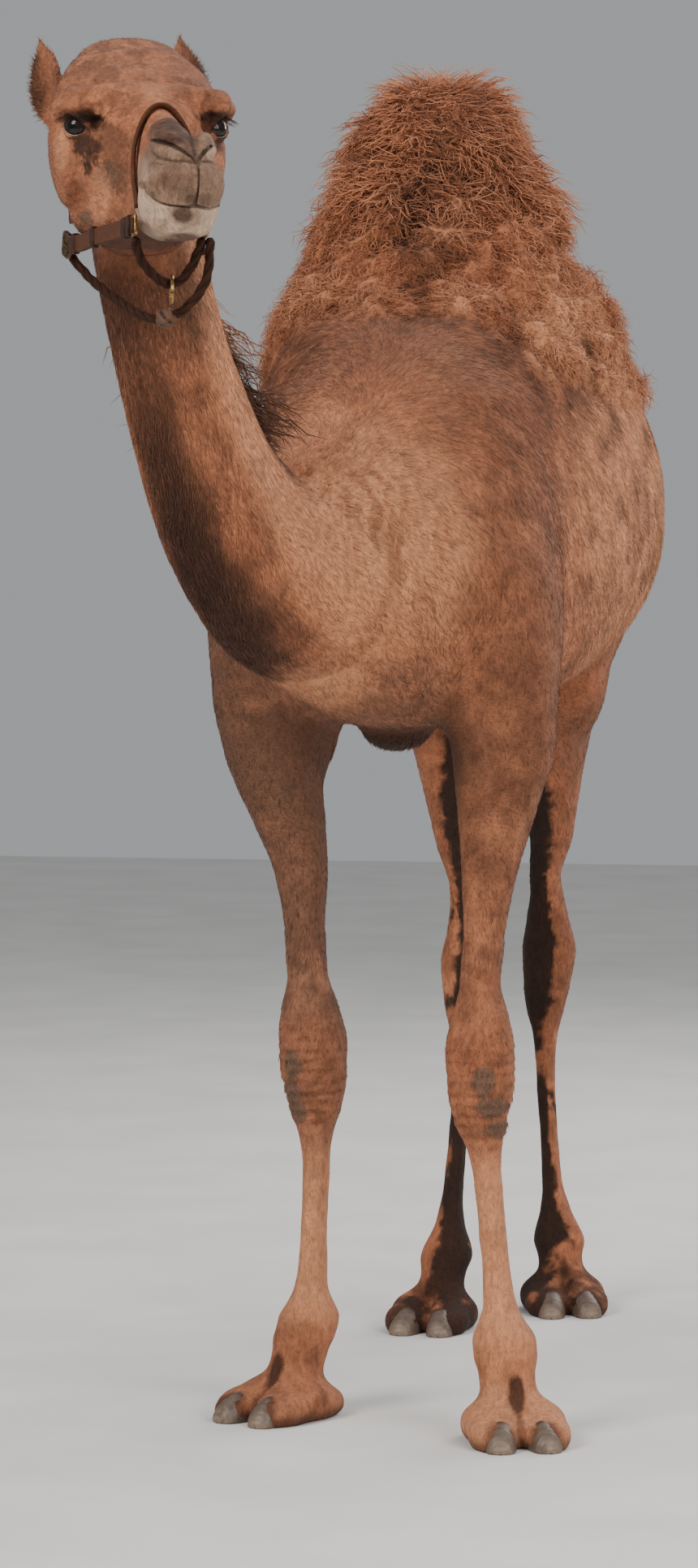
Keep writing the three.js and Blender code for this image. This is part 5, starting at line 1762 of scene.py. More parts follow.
@dataclass(frozen=True)
class SkinFinish:
    """Short flat hair on skin: the marking's colour broken into fine streaks along the lie of the hair, with
    painted shade in the valleys of the skin's folds.
    """

    name: str = "short_coat"
    streak: float = 900.0
    depth: float = 0.0012

    def build(self) -> bpy.types.Material:
        """The material."""
        g = Graph(self.name)
        lie = g.attribute("lie", "Vector")
        short = g.node("VectorMath", operation="MULTIPLY", i0=lie, i1=(2.6, 1.0, 1.0)).outputs[0]
        fine = g.noise(self.streak, lie, 3.0, 0.6)
        broad = g.noise(self.streak / 6, short, 3.0, 0.6)
        whorl = g.noise(self.streak / 20, g.place(), 3.0, 0.6)
        parted = g.attribute("parted", "Fac")
        fold = g.noise(46.0, g.place((1.0, 1.0, 0.14)), 2.5, 0.55)
        tone = g.attribute("tone")
        # painted shade: darker in the valleys of the fold bump, where the skin is parted
        tone = g.tinted(g.math("MULTIPLY", g.curve(fold, 0.53, 0.40), parted), tone, tone, (0.40, 0.34, 0.30))
        dark = g.tinted(g.curve(fine, 0.62, 0.34, 0.0, 0.6), tone, tone, (0.5, 0.44, 0.4))
        dark = g.tinted(g.curve(broad, 0.52, 0.30, 0.0, 0.55), dark, tone, (0.5, 0.44, 0.4))
        dark = g.tinted(g.curve(whorl, 0.50, 0.30, 0.0, 0.45), dark, tone, (0.55, 0.5, 0.46))
        pale = g.tinted(g.curve(broad, 0.5, 0.72, 0.0, 0.5), dark, tone, (1.25, 1.2, 1.14))
        folds = g.relief(g.math("MULTIPLY", fold, parted), 0.012, 1.0)
        waves = g.relief(whorl, self.depth * 8, 0.6, folds)
        normal = g.relief(fine, self.depth, 0.8, g.relief(broad, self.depth * 4, 0.8, waves))
        g.shader(Base_Color=pale, Roughness=0.85, Normal=normal)
        g.surface.inputs["Specular IOR Level"].default_value = 0.25
        g.surface.inputs["Sheen Weight"].default_value = 0.02
        g.surface.inputs["Sheen Roughness"].default_value = 0.5
        return g.material


@dataclass(frozen=True)
class TuftFinish:
    """Hair in locks: each lock's own colour, with a little variation along it."""

    name: str = "coat_locks"

    def build(self) -> bpy.types.Material:
        """The material."""
        g = Graph(self.name)
        tone = g.attribute("tone")
        grain = g.noise(700.0, g.place((1, 1, 0.25)), 2.0)
        colour = g.tinted(g.curve(grain, 0.35, 0.65, 0.0, 0.3), tone, tone, (0.6, 0.56, 0.52))
        g.shader(Base_Color=colour, Roughness=0.8)
        g.surface.inputs["Specular IOR Level"].default_value = 0.3
        g.surface.inputs["Sheen Weight"].default_value = 0.03
        g.surface.inputs["Sheen Roughness"].default_value = 0.45
        return g.material


# ---------------------------------------------------------------- the studio
@dataclass
class Studio:
    """A pale floor, soft lights and the camera."""

    camera_at: tuple[float, float, float] = (8.301, 1.544, 1.48)
    heading: tuple[float, float] = (-0.982, -0.191)
    pitch_down: float = 3.26
    lens: float = 121.1
    floor_half: float = 12.0

    def build(self) -> None:
        """Makes the floor, the lights and the camera."""
        self.floor()
        self.lamp("key_light", (4.8, -3.0, 4.6), (0.2, 0.0, 1.3), 2.6, 330.0, (1.0, 0.97, 0.93))
        self.lamp("fill_light", (4.6, 4.8, 3.2), (0.0, 0.0, 1.2), 3.4, 300.0, (1.0, 0.98, 0.96))
        self.lamp("top_light", (-0.6, 0.3, 5.6), (0.0, 0.0, 1.2), 4.0, 110.0, (1.0, 1.0, 1.0))
        self.lamp("back_light", (-4.6, 2.2, 3.6), (0.0, 0.0, 1.4), 3.0, 170.0, (1.0, 0.98, 0.95))
        world = bpy.data.worlds.new("studio_air")
        world.use_nodes = True
        world.node_tree.nodes["Background"].inputs["Color"].default_value = (0.86, 0.88, 0.9, 1.0)
        world.node_tree.nodes["Background"].inputs["Strength"].default_value = 0.42
        bpy.context.scene.world = world
        self.camera()

    def floor(self) -> None:
        """A flat pale floor with a faint mottle."""
        h = self.floor_half
        places = np.array([[-h, -h, 0], [h, -h, 0], [h, h, 0], [-h, h, 0]], float)
        g = Graph("pale_floor")
        mottle = g.noise(3.0, g.place(), 4.0)
        g.shader(Base_Color=g.blend(g.curve(mottle, 0.3, 0.7), (0.66, 0.65, 0.63), (0.72, 0.71, 0.69)),
            Roughness=0.85)
        made = mesh_object("floor", places, np.array([[0, 1, 2, 3]]), g.material, smooth=False)

    def lamp(self, name: str, at: Sequence[float], aim: Sequence[float], size: float, power: float,
            colour: Sequence[float]) -> None:
        """One soft square light aimed at a point."""
        lamp = bpy.data.lights.new(name, "AREA")
        lamp.shape, lamp.size, lamp.energy, lamp.color = "SQUARE", size, power, tuple(colour)
        made = bpy.data.objects.new(name, lamp)
        made.location = at
        way = unit(np.subtract(aim, at).astype(float))
        made.rotation_euler = (math.acos(-way[2]), 0.0, math.atan2(way[1], way[0]) - math.pi / 2)
        bpy.context.scene.collection.objects.link(made)

    def camera(self) -> None:
        """The camera, level across and looking a little down."""
        lens = bpy.data.cameras.new("camera")
        lens.lens, lens.sensor_width, lens.sensor_fit = self.lens, 36.0, "AUTO"
        lens.clip_end = 60.0
        made = bpy.data.objects.new("camera", lens)
        made.location = self.camera_at
        yaw = math.atan2(self.heading[1], self.heading[0])
        made.rotation_euler = (math.radians(90.0 - self.pitch_down), 0.0, yaw - math.pi / 2)
        bpy.context.scene.collection.objects.link(made)
        bpy.context.scene.camera = made


# ---------------------------------------------------------------- locks of hair
@dataclass(frozen=True)
class LockShape:
    """How one kind of lock is built: lengths in metres, the rest as shares of the length or counts."""

    length: float
    width: float
    lift: float = 0.2  # height gained, as a share of the length
    curl: float = 0.0  # radius of the wave, as a share of the length
    waves: float = 1.0
    rings: int = 2
    spread: float = 0.35  # radians that the lock may turn aside
    uneven: float = 0.3  # spread of the lengths
    flat: float = 0.5  # thickness over width


@dataclass(frozen=True)
class Roots:
    """Where locks grow: place, outward normal and lie of the coat there, and each root's random numbers."""

    places: Array
    normals: Array
    flow: Array
    chance: Array

    def __len__(self) -> int:
        """The number of roots."""
        return len(self.places)


def scatter(shell: Shell, weight: Array, count: int, seed: int) -> tuple[Array, Array, Array]:
    """Places spread evenly over a shell in proportion to area and weight.

    Steps of equal size are taken through the running total of area times weight, each place then lies at
    a random (u, v) of its quad: the four corners weighted by (1-u)(1-v), u(1-v), uv and (1-u)v.

    Args:
        shell: The skin.
        weight: One weight per place of the shell.
        count: Roots wanted.
        seed: Chooses the random numbers.

    Returns:
        Places, normals and eight random numbers for each root.
    """
    rng = np.random.default_rng(seed)
    a, b, c, d = (shell.places[shell.quads[:, k]] for k in range(4))
    area = np.linalg.norm(np.cross(c - a, d - b), axis=1) / 2
    total = np.cumsum(area * weight[shell.quads].mean(1))
    steps = (np.arange(count) + rng.random(count)) / count * total[-1]
    quad = shell.quads[np.minimum(np.searchsorted(total, steps), len(total) - 1)]
    u, v = rng.random((2, count, 1))
    shares = ((1 - u) * (1 - v), u * (1 - v), u * v, (1 - u) * v)
    places = sum(s * shell.places[quad[:, k]] for k, s in enumerate(shares))
    normals = unit(sum(s * shell.normals[quad[:, k]] for k, s in enumerate(shares)))
    return places, normals, rng.random((count, 8))


def grow(roots: Roots, shape: LockShape, scale: Array, lift: Array, curl: Array) -> tuple[Array, Array,
        Array]:
    """Thin closed locks, three-sided, tapering to a point.

    The middle line at t from 0 to 1 is root + L t f + L lift (t - 0.45 t^2) n, with a wave of radius
    L curl t in the plane of b and n, where f is the lie turned aside by a random angle, n the normal and
    b = n x f. Ring sizes follow (1 - t)^0.7 (0.7 + 0.6 t).

    Args:
        roots: Where they grow.
        shape: What kind they are.
        scale: Each lock's length as a multiple of the shape's.
        lift: Each lock's lift as a multiple of the shape's.
        curl: Each lock's curl as a multiple of the shape's.

    Returns:
        Vertices, triangles, and t for each vertex.
    """
    n_locks, r = len(roots), roots.chance
    turn = ((r[:, 0] - 0.5) * 2 * shape.spread)[:, None]
    across = np.cross(roots.normals, roots.flow)
    f = roots.flow * np.cos(turn) + across * np.sin(turn)
    b = np.cross(roots.normals, f)
    length = (shape.length * scale * (1 + shape.uneven * (2 * r[:, 1] - 1)))[:, None]
    width = (shape.width * (0.7 + 0.6 * r[:, 2]) * np.clip(scale, 0.6, 1.3))[:, None]
    rise = (shape.lift * lift * (0.6 + 0.8 * r[:, 3]))[:, None]
    swing = (shape.curl * curl)[:, None]
    phase = (r[:, 4] * 2 * math.pi)[:, None]
    turns = shape.waves * (0.7 + 0.6 * r[:, 5])[:, None]
    roll = ((r[:, 6] - 0.5) * 1.6)[:, None]
    side = b * np.cos(roll) + roots.normals * np.sin(roll)
    top = roots.normals * np.cos(roll) - b * np.sin(roll)
    stations = np.linspace(0, 1, shape.rings + 1)
    rows, share = [], []
    for t in stations:
        angle = phase + 2 * math.pi * turns * t
        wave = length * swing * t**0.7
        middle = (
            roots.places - roots.normals * (0.12 * width + 0.0006)
            + f * length * t * (1 - 0.25 * swing)
            + roots.normals * length * rise * (t - 0.45 * t * t)
            + b * wave * (np.sin(angle) - np.sin(phase))
            + roots.normals * np.maximum(wave * 0.8 * (1 + np.cos(angle)) / 2, 0)
        )
        if t >= 1:
            rows.append(middle[:, None, :])
            share.append(np.full((n_locks, 1), 1.0))
            continue
        size = width * 0.5 * (1 - t) ** 0.7 * (0.7 + 0.6 * t) / 0.8
        ring = [middle + side * size * math.cos(a) + top * size * shape.flat * 2 * math.sin(a) * 0.8
                for a in (math.pi / 2, math.pi * 7 / 6, math.pi * 11 / 6)]
        rows.append(np.stack(ring, 1))
        share.append(np.full((n_locks, 3), t))
    places = np.concatenate(rows, 1)
    per = places.shape[1]
    pattern = [(0, 2, 1)]
    for k in range(shape.rings - 1):
        for i in range(3):
            j = (i + 1) % 3
            lo, hi = 3 * k, 3 * k + 3
            pattern += [(lo + i, lo + j, hi + j), (lo + i, hi + j, hi + i)]
    last = 3 * (shape.rings - 1)
    pattern += [(last + i, last + (i + 1) % 3, per - 1) for i in range(3)]
    faces = (np.arange(n_locks)[:, None, None] * per + np.array(pattern)[None]).reshape(-1, 3)
    return places.reshape(-1, 3), faces, np.concatenate(share, 1).ravel()


@dataclass(frozen=True)
class LockPatch:
    """One coat piece: its skin, the count and kind of its locks, and functions of place for the rest."""

    name: str
    shell: str
    count: int
    shape: LockShape
    weight: Callable[["Ground"], Array]
    seed: int
    scale: Callable[["Ground"], Array] = lambda g: np.ones(len(g.p))
    lift: Callable[["Ground"], Array] = lambda g: np.ones(len(g.p))
    curl: Callable[["Ground"], Array] = lambda g: np.ones(len(g.p))
    stray: float = 0.0  # how far slow noise turns the lie, radians
    slot: str = "coat"
    dark_root: float = 0.82
    light_tip: float = 1.08
    varied: float = 0.20  # spread of the locks' brightness


@dataclass(frozen=True)
class Ground:
    """A set of places on the skin with their normals, regions and shares."""

    p: Array
    n: Array
    parts: Array
    w: Array


class Fleece:
    """The whole coat of locks over the skin."""

    def __init__(self, body: Body, coat: Coat, shells: dict[str, Shell]) -> None:
        """Keeps what the locks grow from."""
        self.body, self.coat, self.shells = body, coat, shells
        self.grounds: dict[str, Ground] = {}
        self.finish = TuftFinish().build()

    def ground(self, p: Array, n: Array) -> Ground:
        """Places with their regions."""
        parts = self.body.parts(p)
        return Ground(p, n, parts, self.coat.shares(parts))

    def unwrap(self, g: Ground) -> Array:
        """Each place's spot on a map of the unrolled regions, which fill equal columns of the unit square.

        Across a column runs the angle round the region's tube, and up it the length along the tube.
        """
        region = g.parts.argmin(0)
        present = np.unique(region)
        tubes = [self.body.trunk, self.body.hump, self.body.neck, *self.body.legs, self.body.tail]
        spots = np.zeros((len(g.p), 2))
        for column, k in enumerate(present):
            own = region == k
            if k == Region.HEAD.value:
                q = HEAD.inward(g.p[own])
                along, angle = (q[:, 0] + 0.20) / 0.55, np.arctan2(q[:, 2] + 0.03, q[:, 1])
            else:
                along, angle = tubes[k].around(g.p[own])
                along = along / tubes[k].length
            u = (column + 0.02 + 0.96 * (angle / (2 * math.pi) + 0.5)) / len(present)
            spots[own] = np.stack([0.01 + 0.98 * u, 0.01 + 0.98 * np.clip(along, 0, 1)], 1)
        return spots

    def plant(self, patch: LockPatch) -> bpy.types.Object:
        """Grows one piece of the coat.

        Args:
            patch: What to grow.

        Returns:
            The piece.
        """
        shell = self.shells[patch.shell]
        if patch.shell not in self.grounds:
            self.grounds[patch.shell] = self.ground(shell.places, shell.normals)
        weight = np.clip(patch.weight(self.grounds[patch.shell]), 0, None)
        p, n, chance = scatter(shell, weight, patch.count, patch.seed)
        g = self.ground(p, n)
        flow = self.coat.direction(p, n, g.parts)
        if patch.stray:
            angle = patch.stray * cloud(p, 0.045, patch.seed + 11)[:, None]
            flow = flow * np.cos(angle) + np.cross(n, flow) * np.sin(angle)
        roots = Roots(p, n, flow, chance)
        places, faces, t = grow(roots, patch.shape, patch.scale(g), patch.lift(g), patch.curl(g))
        per = len(places) // patch.count
        base = self.coat.colour(p, n, g.parts) * (1 + patch.varied * (2 * chance[:, 7] - 1))[:, None]
        along = patch.dark_root + (patch.light_tip - patch.dark_root) * t**0.8
        tone = np.repeat(base, per, 0) * along[:, None]
        local = np.stack([np.tile(np.arange(per) / per - 0.5, patch.count), t - 0.5], 1) * 0.003
        spots = np.repeat(self.unwrap(g), per, 0) + local
        made = mesh_object(patch.name, places + SHIFT, faces, self.finish, colours=np.clip(tone, 0, 1),
            corner_map=spots)
        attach(made, "root")
        LOG.info("%s: %d locks, %d triangles", patch.name, patch.count, len(faces))
        return made

    def ears(self, g: Ground) -> Array:
        """Where the ears' long edge hair grows: their outer halves, 0 to 1."""
        q = HEAD.inward(g.p)
        made = np.zeros(len(q))
        for (root, tip, facing), side in zip(EAR_POSES, (1.0, -1.0)):
            e = ear_frame(root, tip, facing).inward(q)
            on = on_ear(e, -0.02, 0.01)
            made = np.maximum(made, on * ramp(e[:, 1] * side, 0.004, 0.020))
        return made

    def nape(self, g: Ground) -> Array:
        """Where the nape's long dark curls grow, 0 to 1."""
        t, across, up, _, _, _ = self.body.neck.section(g.p)
        along = ramp(t, 0.62, 0.74) * (1 - ramp(t, 0.92, 1.02))
        return ramp(up, 0.050, 0.085) * (1 - ramp(np.abs(across), 0.03, 0.06)) * along * g.w[2]

    def patches(self) -> list[LockPatch]:
        """The pieces of the coat, from the hump down."""
        wool = LockShape(0.040, 0.0024, 0.62, 0.17, 1.3, 3, 1.3, 0.4)
        short = LockShape(0.020, 0.0023, 0.24, 0.0, 1.0, 1, 0.45, 0.35)
        neck = LockShape(0.018, 0.0020, 0.20, 0.0, 1.0, 1, 0.4, 0.4)
        mane = LockShape(0.026, 0.0016, 0.12, 0.04, 1.0, 2, 0.3, 0.45)
        curls = LockShape(0.095, 0.0030, 0.60, 0.12, 1.6, 4, 0.8, 0.5)
        edge = LockShape(0.012, 0.0010, 0.35, 0.06, 1.0, 2, 0.7, 0.5)
        leg = LockShape(0.0115, 0.0016, 0.20, 0.0, 1.0, 1, 0.35, 0.3)
        face = LockShape(0.0080, 0.0010, 0.22, 0.0, 1.0, 1, 0.35, 0.35)
        coat = self.coat
        pieces = [
            LockPatch(
                f"coat_wool_{k + 1}", "skin", 10000, wool, lambda g: coat.wool(g.p, g.w), 100 + k,
                scale=lambda g: (0.35 + 0.65 * coat.wool(g.p, g.w)) * (0.80 + 0.30 * coat.clumps(g.p))
                * (0.85 + 0.75 * ramp(g.p[:, 2], 1.84, 1.98) - 0.25 * ramp(g.p[:, 2], 2.0, 2.12)),
                curl=lambda g: 2.1 - 1.3 * ramp(g.p[:, 2], 1.82, 2.02),
                lift=lambda g: 0.75 + 0.6 * ramp(g.p[:, 2], 1.9, 2.0),
                stray=0.9, slot="wool", dark_root=0.55, light_tip=1.15, varied=0.26,
            )
            for k in range(3)
        ]
        pieces += [
            LockPatch(
                f"coat_trunk_{k + 1}", "skin", 40000, short,
                lambda g: (g.w[0] + g.w[1]) * (1 - 0.8 * coat.wool(g.p, g.w)), 200 + k,
                stray=0.75, varied=0.36, dark_root=0.66, light_tip=1.14,
                lift=lambda g: 1 + 1.2 * coat.pleats(g.p) * (1 - coat.furrows(g.p)),
            )
            for k in range(2)
        ]
        pieces.append(LockPatch(
            "coat_neck", "skin", 28000, neck, lambda g: g.w[2] * (1 - 0.5 * coat.mane(g.p, g.w)), 300,
            stray=0.5, varied=0.32, dark_root=0.7,
        ))
        pieces.append(LockPatch(
            "coat_throat", "skin", 12500, mane, lambda g: coat.mane(g.p, g.w), 310,
            varied=0.26, dark_root=0.7,
            scale=lambda g: 0.35 + 0.35 * coat.mane(g.p, g.w) + 0.5 * coat.strip(g.p, g.w), stray=0.4,
        ))
        pieces.append(LockPatch(
            "coat_nape", "skin", 1500, curls, self.nape, 320,
            stray=0.9, dark_root=0.7, scale=lambda g: 0.45 + 0.6 * self.nape(g),
        ))
        pieces += [
            LockPatch(
                f"coat_legs_{name}", "skin", count, leg,
                (lambda a, b: lambda g: (g.w[a] + g.w[b]) * ramp(g.p[:, 2], 0.02, 0.05))(a, b), 400 + a,
                scale=lambda g: 0.5 + 0.7 * ramp(g.p[:, 2], 0.05, 0.9),
                varied=0.32, dark_root=0.7, stray=0.3,
            )
            for name, a, b, count in (("front", 3, 4, 24000), ("rear", 5, 6, 18000))
        ]
        pieces.append(LockPatch(
            "coat_head", "skin", 36000, face, lambda g: coat.face_hair(g.p, g.w), 500,
            stray=0.35, varied=0.34, dark_root=0.72, scale=lambda g: coat.face_length(g.p),
        ))
        pieces.append(LockPatch("coat_ears", "skin", 1500, edge, self.ears, 510, dark_root=0.7))
        pieces.append(LockPatch(
            "coat_tail", "skin", 2000, mane, lambda g: g.w[7], 600,
            scale=lambda g: 0.4 + 0.9 * ramp(-g.p[:, 2], -1.12, -0.98),
        ))
        return pieces

    def build(self) -> None:
        """Grows every piece."""
        for patch in self.patches():
            self.plant(patch)


# ---------------------------------------------------------------- eyes
@dataclass(frozen=True)
class EyeFinish:
    """A wet dark eye: a near-black iris with a wide level pupil in a brown ball."""

    name: str = "wet_eye"

    def build(self) -> bpy.types.Material:
        """The material."""
        g = Graph(self.name)
        threads = g.noise(260.0, g.place(), 3.0)
        tone = g.attribute("tone")
        colour = g.tinted(g.curve(threads, 0.35, 0.7, 0.0, 0.5), tone, tone, (0.5, 0.42, 0.36))
        g.shader(Base_Color=colour, Roughness=0.04)
        g.surface.inputs["Specular IOR Level"].default_value = 0.22
        g.surface.inputs["Coat Weight"].default_value = 0.25
        g.surface.inputs["Coat Roughness"].default_value = 0.02
        return g.material


@dataclass(frozen=True)
class LidFinish:
    """The moist bare margin of the lids, dark with a paler lower edge."""

    name: str = "lid_margin"

    def build(self) -> bpy.types.Material:
        """The material."""
        g = Graph(self.name)
        tone = g.attribute("tone")
        spots = g.noise(500.0, g.place(), 2.0)
        colour = g.tinted(g.curve(spots, 0.4, 0.7, 0.0, 0.4), tone, tone, (0.6, 0.5, 0.45))
        g.shader(Base_Color=colour, Roughness=0.32)
        return g.material


@dataclass
class Eye:
    """One eyeball with its cornea, the margins of its lids and its lashes."""

    plan: EyePlan
    cornea: float = 0.0012
    rim: float = 0.0011
    lashes: int = 90
    lash_length: float = 0.019

    @property
    def side(self) -> str:
        """The eye's side as a word."""
        return "left" if self.plan.side > 0 else "right"

    def place(self, e: Array) -> Array:
        """Places of the eye's frame in the model."""
        return HEAD.outward(self.plan.frame().outward(e)) + SHIFT

    def build(self, eye: bpy.types.Material, lid: bpy.types.Material, hair: bpy.types.Material) -> None:
        """Makes the ball, the lid margins and the lashes.

        Args:
            eye: The ball's finish.
            lid: The margins' finish.
            hair: The lashes' finish.
        """
        ball = self.ball(eye)
        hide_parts(f"eye_{self.side}")
        margin, fringe = self.margin(lid), self.fringe(hair)
        for piece, slot in ((ball, "eye"), (margin, "muzzle"), (fringe, "wool")):
            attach(piece, "root")
            LOG.info("%s: %d faces", piece.name, len(piece.data.polygons))

    def ball(self, finish: bpy.types.Material) -> bpy.types.Object:
        """The ball: a sphere whose radius grows by cornea exp(-(angle / 0.55)^2) about its axis."""
        rings, spokes = 40, 64
        angle = np.linspace(0, math.pi, rings)
        turn = np.arange(spokes) * 2 * math.pi / spokes
        a, b = np.meshgrid(angle, turn, indexing="ij")
        radius = self.plan.radius + self.cornea * np.exp(-((a / 0.55) ** 2))
        e = np.stack([radius * np.cos(a), radius * np.sin(a) * np.cos(b), radius * np.sin(a) * np.sin(b)], -1)
        e = e.reshape(-1, 3)
        away = a.ravel()
        iris, dark, brown = shade(26, 16, 12), shade(5, 5, 6), shade(44, 32, 26)
        tone = np.repeat(brown[None], len(e), 0)
        tone = mixed(tone, iris, 1 - ramp(away, 0.70, 0.80))
        tone = mixed(tone, dark, ramp(away, 0.62, 0.70) * (1 - ramp(away, 0.72, 0.80)))
        pupil = np.hypot(e[:, 1] / 0.0092, e[:, 2] / 0.0048)
        tone = mixed(tone, dark, 1 - ramp(pupil, 0.85, 1.05))
        return mesh_object(f"eye_ball_{self.side}", self.place(e), ringed(rings, spokes), finish,
            colours=tone)

    def edge(self, count: int) -> tuple[Array, Array]:
        """Points round the edge of the opening on the ball, with a share from -1 below to 1 above.

        Args:
            count: How many points.

        Returns:
            The points in the eye's frame, and the shares.
        """
        p = self.plan
        turn = np.arange(count) * 2 * math.pi / count
        y = p.half_width * 0.99 * np.cos(turn) - 0.001
        share = np.clip(np.abs(y + 0.001) / p.half_width, 0, 1)
        up = np.where(np.sin(turn) > 0, p.rise * (1 - share**2) ** 0.75, -p.fall * (1 - share**2) ** 0.85)
        z = up + 0.22 * y + 0.001
        radius = p.radius + 0.0016
        x = np.sqrt(np.maximum(radius**2 - y**2 - z**2, 1e-6))
        return np.stack([x, y * p.side, z], 1), np.sin(turn)

    def margin(self, finish: bpy.types.Material) -> bpy.types.Object:
        """The lid margins: a ring of round section carried round the opening's edge."""
        count, sides = 96, 8
        path, share = self.edge(count)
        along = unit(np.roll(path, -1, 0) - np.roll(path, 1, 0))
        out = unit(path - along * (path * along).sum(1, keepdims=True))
        across = np.cross(along, out)
        angle = np.arange(sides) * 2 * math.pi / sides
        c, s = np.cos(angle)[:, None], np.sin(angle)[:, None]
        ring = path[:, None] + self.rim * (out[:, None] * c + across[:, None] * s)
        grid = np.arange(count * sides).reshape(count, sides)
        right, down = np.roll(grid, -1, 1), np.roll(grid, -1, 0)
        quads = np.stack([grid, down, np.roll(down, -1, 1), right], -1).reshape(-1, 4)
        if self.plan.side < 0:
            quads = quads[:, ::-1]
        tone = mixed(np.repeat(shade(58, 42, 36)[None], count * sides, 0), shade(124, 106, 96),
            np.repeat(ramp(-share, 0.1, 0.6), sides))
        return mesh_object(f"eye_lid_margin_{self.side}", self.place(ring.reshape(-1, 3)), quads, finish,
            colours=tone)

    def fringe(self, finish: bpy.types.Material) -> bpy.types.Object:
        """The lashes: curved locks from the upper lid, drooping outwards."""
        rng = np.random.default_rng(71 if self.plan.side > 0 else 72)
        path, share = self.edge(self.lashes * 4)
        upper = share > 0.12
        chosen = rng.permutation(np.flatnonzero(upper))[: self.lashes]
        p = path[chosen] + unit(path[chosen]) * 0.0012 + np.array([0, 0, 0.0012])
        n = unit(path[chosen] * np.array([1.0, 1.0, 0.1]) + np.array([0.004, 0, 0.002]))
        flow = unit(np.stack([0.85 + 0 * p[:, 0], p[:, 1] * 30, -0.55 + 0 * p[:, 0]], 1))
        flow = unit(flow - n * (flow * n).sum(1, keepdims=True) * 0.4)
        roots = Roots(p, n, flow, rng.random((len(p), 8)))
        shape = LockShape(self.lash_length, 0.0007, 0.75, 0.0, 1.0, 4, 0.25, 0.3, 0.5)
        ones = np.ones(len(p))
        places, faces, t = grow(roots, shape, ones * (0.7 + 0.3 * share[chosen]), ones, ones)
        tone = np.repeat(shade(40, 28, 24)[None], len(places), 0) * (1 + 0.4 * t)[:, None]
        return mesh_object(f"eye_lashes_{self.side}", self.place(places), faces, finish, colours=tone)


# ---------------------------------------------------------------- claws
@dataclass(frozen=True)
class HornFinish:
    """Grey-brown claw horn with growth lines and worn pale tips."""

    name: str = "claw_horn"

    def build(self) -> bpy.types.Material:
        """The material."""
        g = Graph(self.name)
        tone = g.attribute("tone")
        lines = g.noise(420.0, g.attribute("lie", "Vector"), 2.0, 0.6)
        dirt = g.noise(60.0, g.place(), 3.0, 0.6)
        colour = g.tinted(g.curve(lines, 0.38, 0.62, 0.0, 0.5), tone, tone, (0.55, 0.50, 0.46))
        colour = g.blend(g.curve(dirt, 0.5, 0.7, 0.0, 0.5), colour, tuple(shade(58, 44, 36)))
        g.shader(Base_Color=colour, Roughness=0.5, Normal=g.relief(lines, 0.0008, 0.6))
        return g.material


@dataclass
class Claws:
    """The two nails of each foot: arched horn plates curving down over the toe's front."""

    length: float = 0.050
    width: float = 0.050
    height: float = 0.038

    def build(self, finish: bpy.types.Material) -> None:
        """Makes every nail in place of its packed ellipsoid.

        Args:
            finish: The horn.
        """
        for plan in LEG_PLANS:
            for side, digit in ((1, "outer"), (-1, "inner")):
                made = self.nail(plan, side, digit, finish)
                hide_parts(f"{plan.name}_claw_{digit}")
                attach(made, "root")
        LOG.info("claws: 8 nails")

    def nail(self, plan: LegPlan, side: int, digit: str, finish: bpy.types.Material) -> bpy.types.Object:
        """One nail.

        With u from root to tip and v from one side to the other, x = length sin(u 1.35) and the arch is
        width/2 sin(v) across and height cos(v) up, both narrowing to the tip, the tip bent to the floor.

        Args:
            plan: The leg it is on.
            side: 1 for the animal's left toe of the foot, -1 for its right toe.
            digit: The toe's name.
            finish: The horn.

        Returns:
            The piece.
        """
        rows, columns = 22, 24
        u = np.linspace(0, 1, rows)[:, None]
        v = np.linspace(-1.75, 1.75, columns)[None]
        taper = (1 - 0.30 * u**2) * np.sqrt(np.clip(1.02 - u**5, 0, 1))
        x = -0.026 + self.length * np.sin(1.35 * u) * (1 + 0 * v) + 0.0015 * np.cos(v)
        y = self.width / 2 * np.sin(v) * taper
        z = 0.006 + self.height * np.maximum(np.cos(v), -0.25) * taper * (1 - 0.62 * u**1.7) - 0.003 * u
        z = np.maximum(z, 0.0012)
        wave = 0.00035 * np.sin(u * 34.0)
        top = np.stack([x + wave, y, z + wave], -1).reshape(-1, 3)
        under = np.stack([x, y * 0.86, np.maximum(z - 0.0035, 0.0008)], -1).reshape(-1, 3)
        grid = np.arange(rows * columns).reshape(rows, columns)
        quads = np.stack([grid[:-1, :-1], grid[1:, :-1], grid[1:, 1:], grid[:-1, 1:]], -1).reshape(-1, 4)
        back = quads[:, ::-1] + rows * columns
        edge = np.concatenate([grid[0, :], grid[1:, -1], grid[-1, -2::-1], grid[-2:0:-1, 0]])
        after = np.roll(edge, -1)
        wall = np.stack([edge, after, after + rows * columns, edge + rows * columns], 1)
        local = np.vstack([top, under])
        at = np.array([0.45 * plan.foot_length, side * 0.21 * plan.foot_width, 0.0]) * MM
        turned = local @ turn_matrix(z=side * 8).T + at
        places = plan.foot_frame().outward(turned)
        share = np.repeat(np.linspace(0, 1, rows), columns)
        share = np.concatenate([share, share])
        base = mixed(np.repeat(shade(96, 80, 68)[None], len(places), 0), shade(140, 120, 102),
            ramp(share, 0.5, 1.0) * 0.7)
        base = mixed(base, shade(52, 40, 34), 1 - ramp(share, 0.0, 0.22))
        lie = np.stack([local[:, 0], local[:, 1] * 0.15, local[:, 2] * 0.3], 1)
        return mesh_object(f"{plan.name}_nail_{digit}", places + SHIFT, np.vstack([quads, back, wall]),
            finish, colours=base, lie=lie)


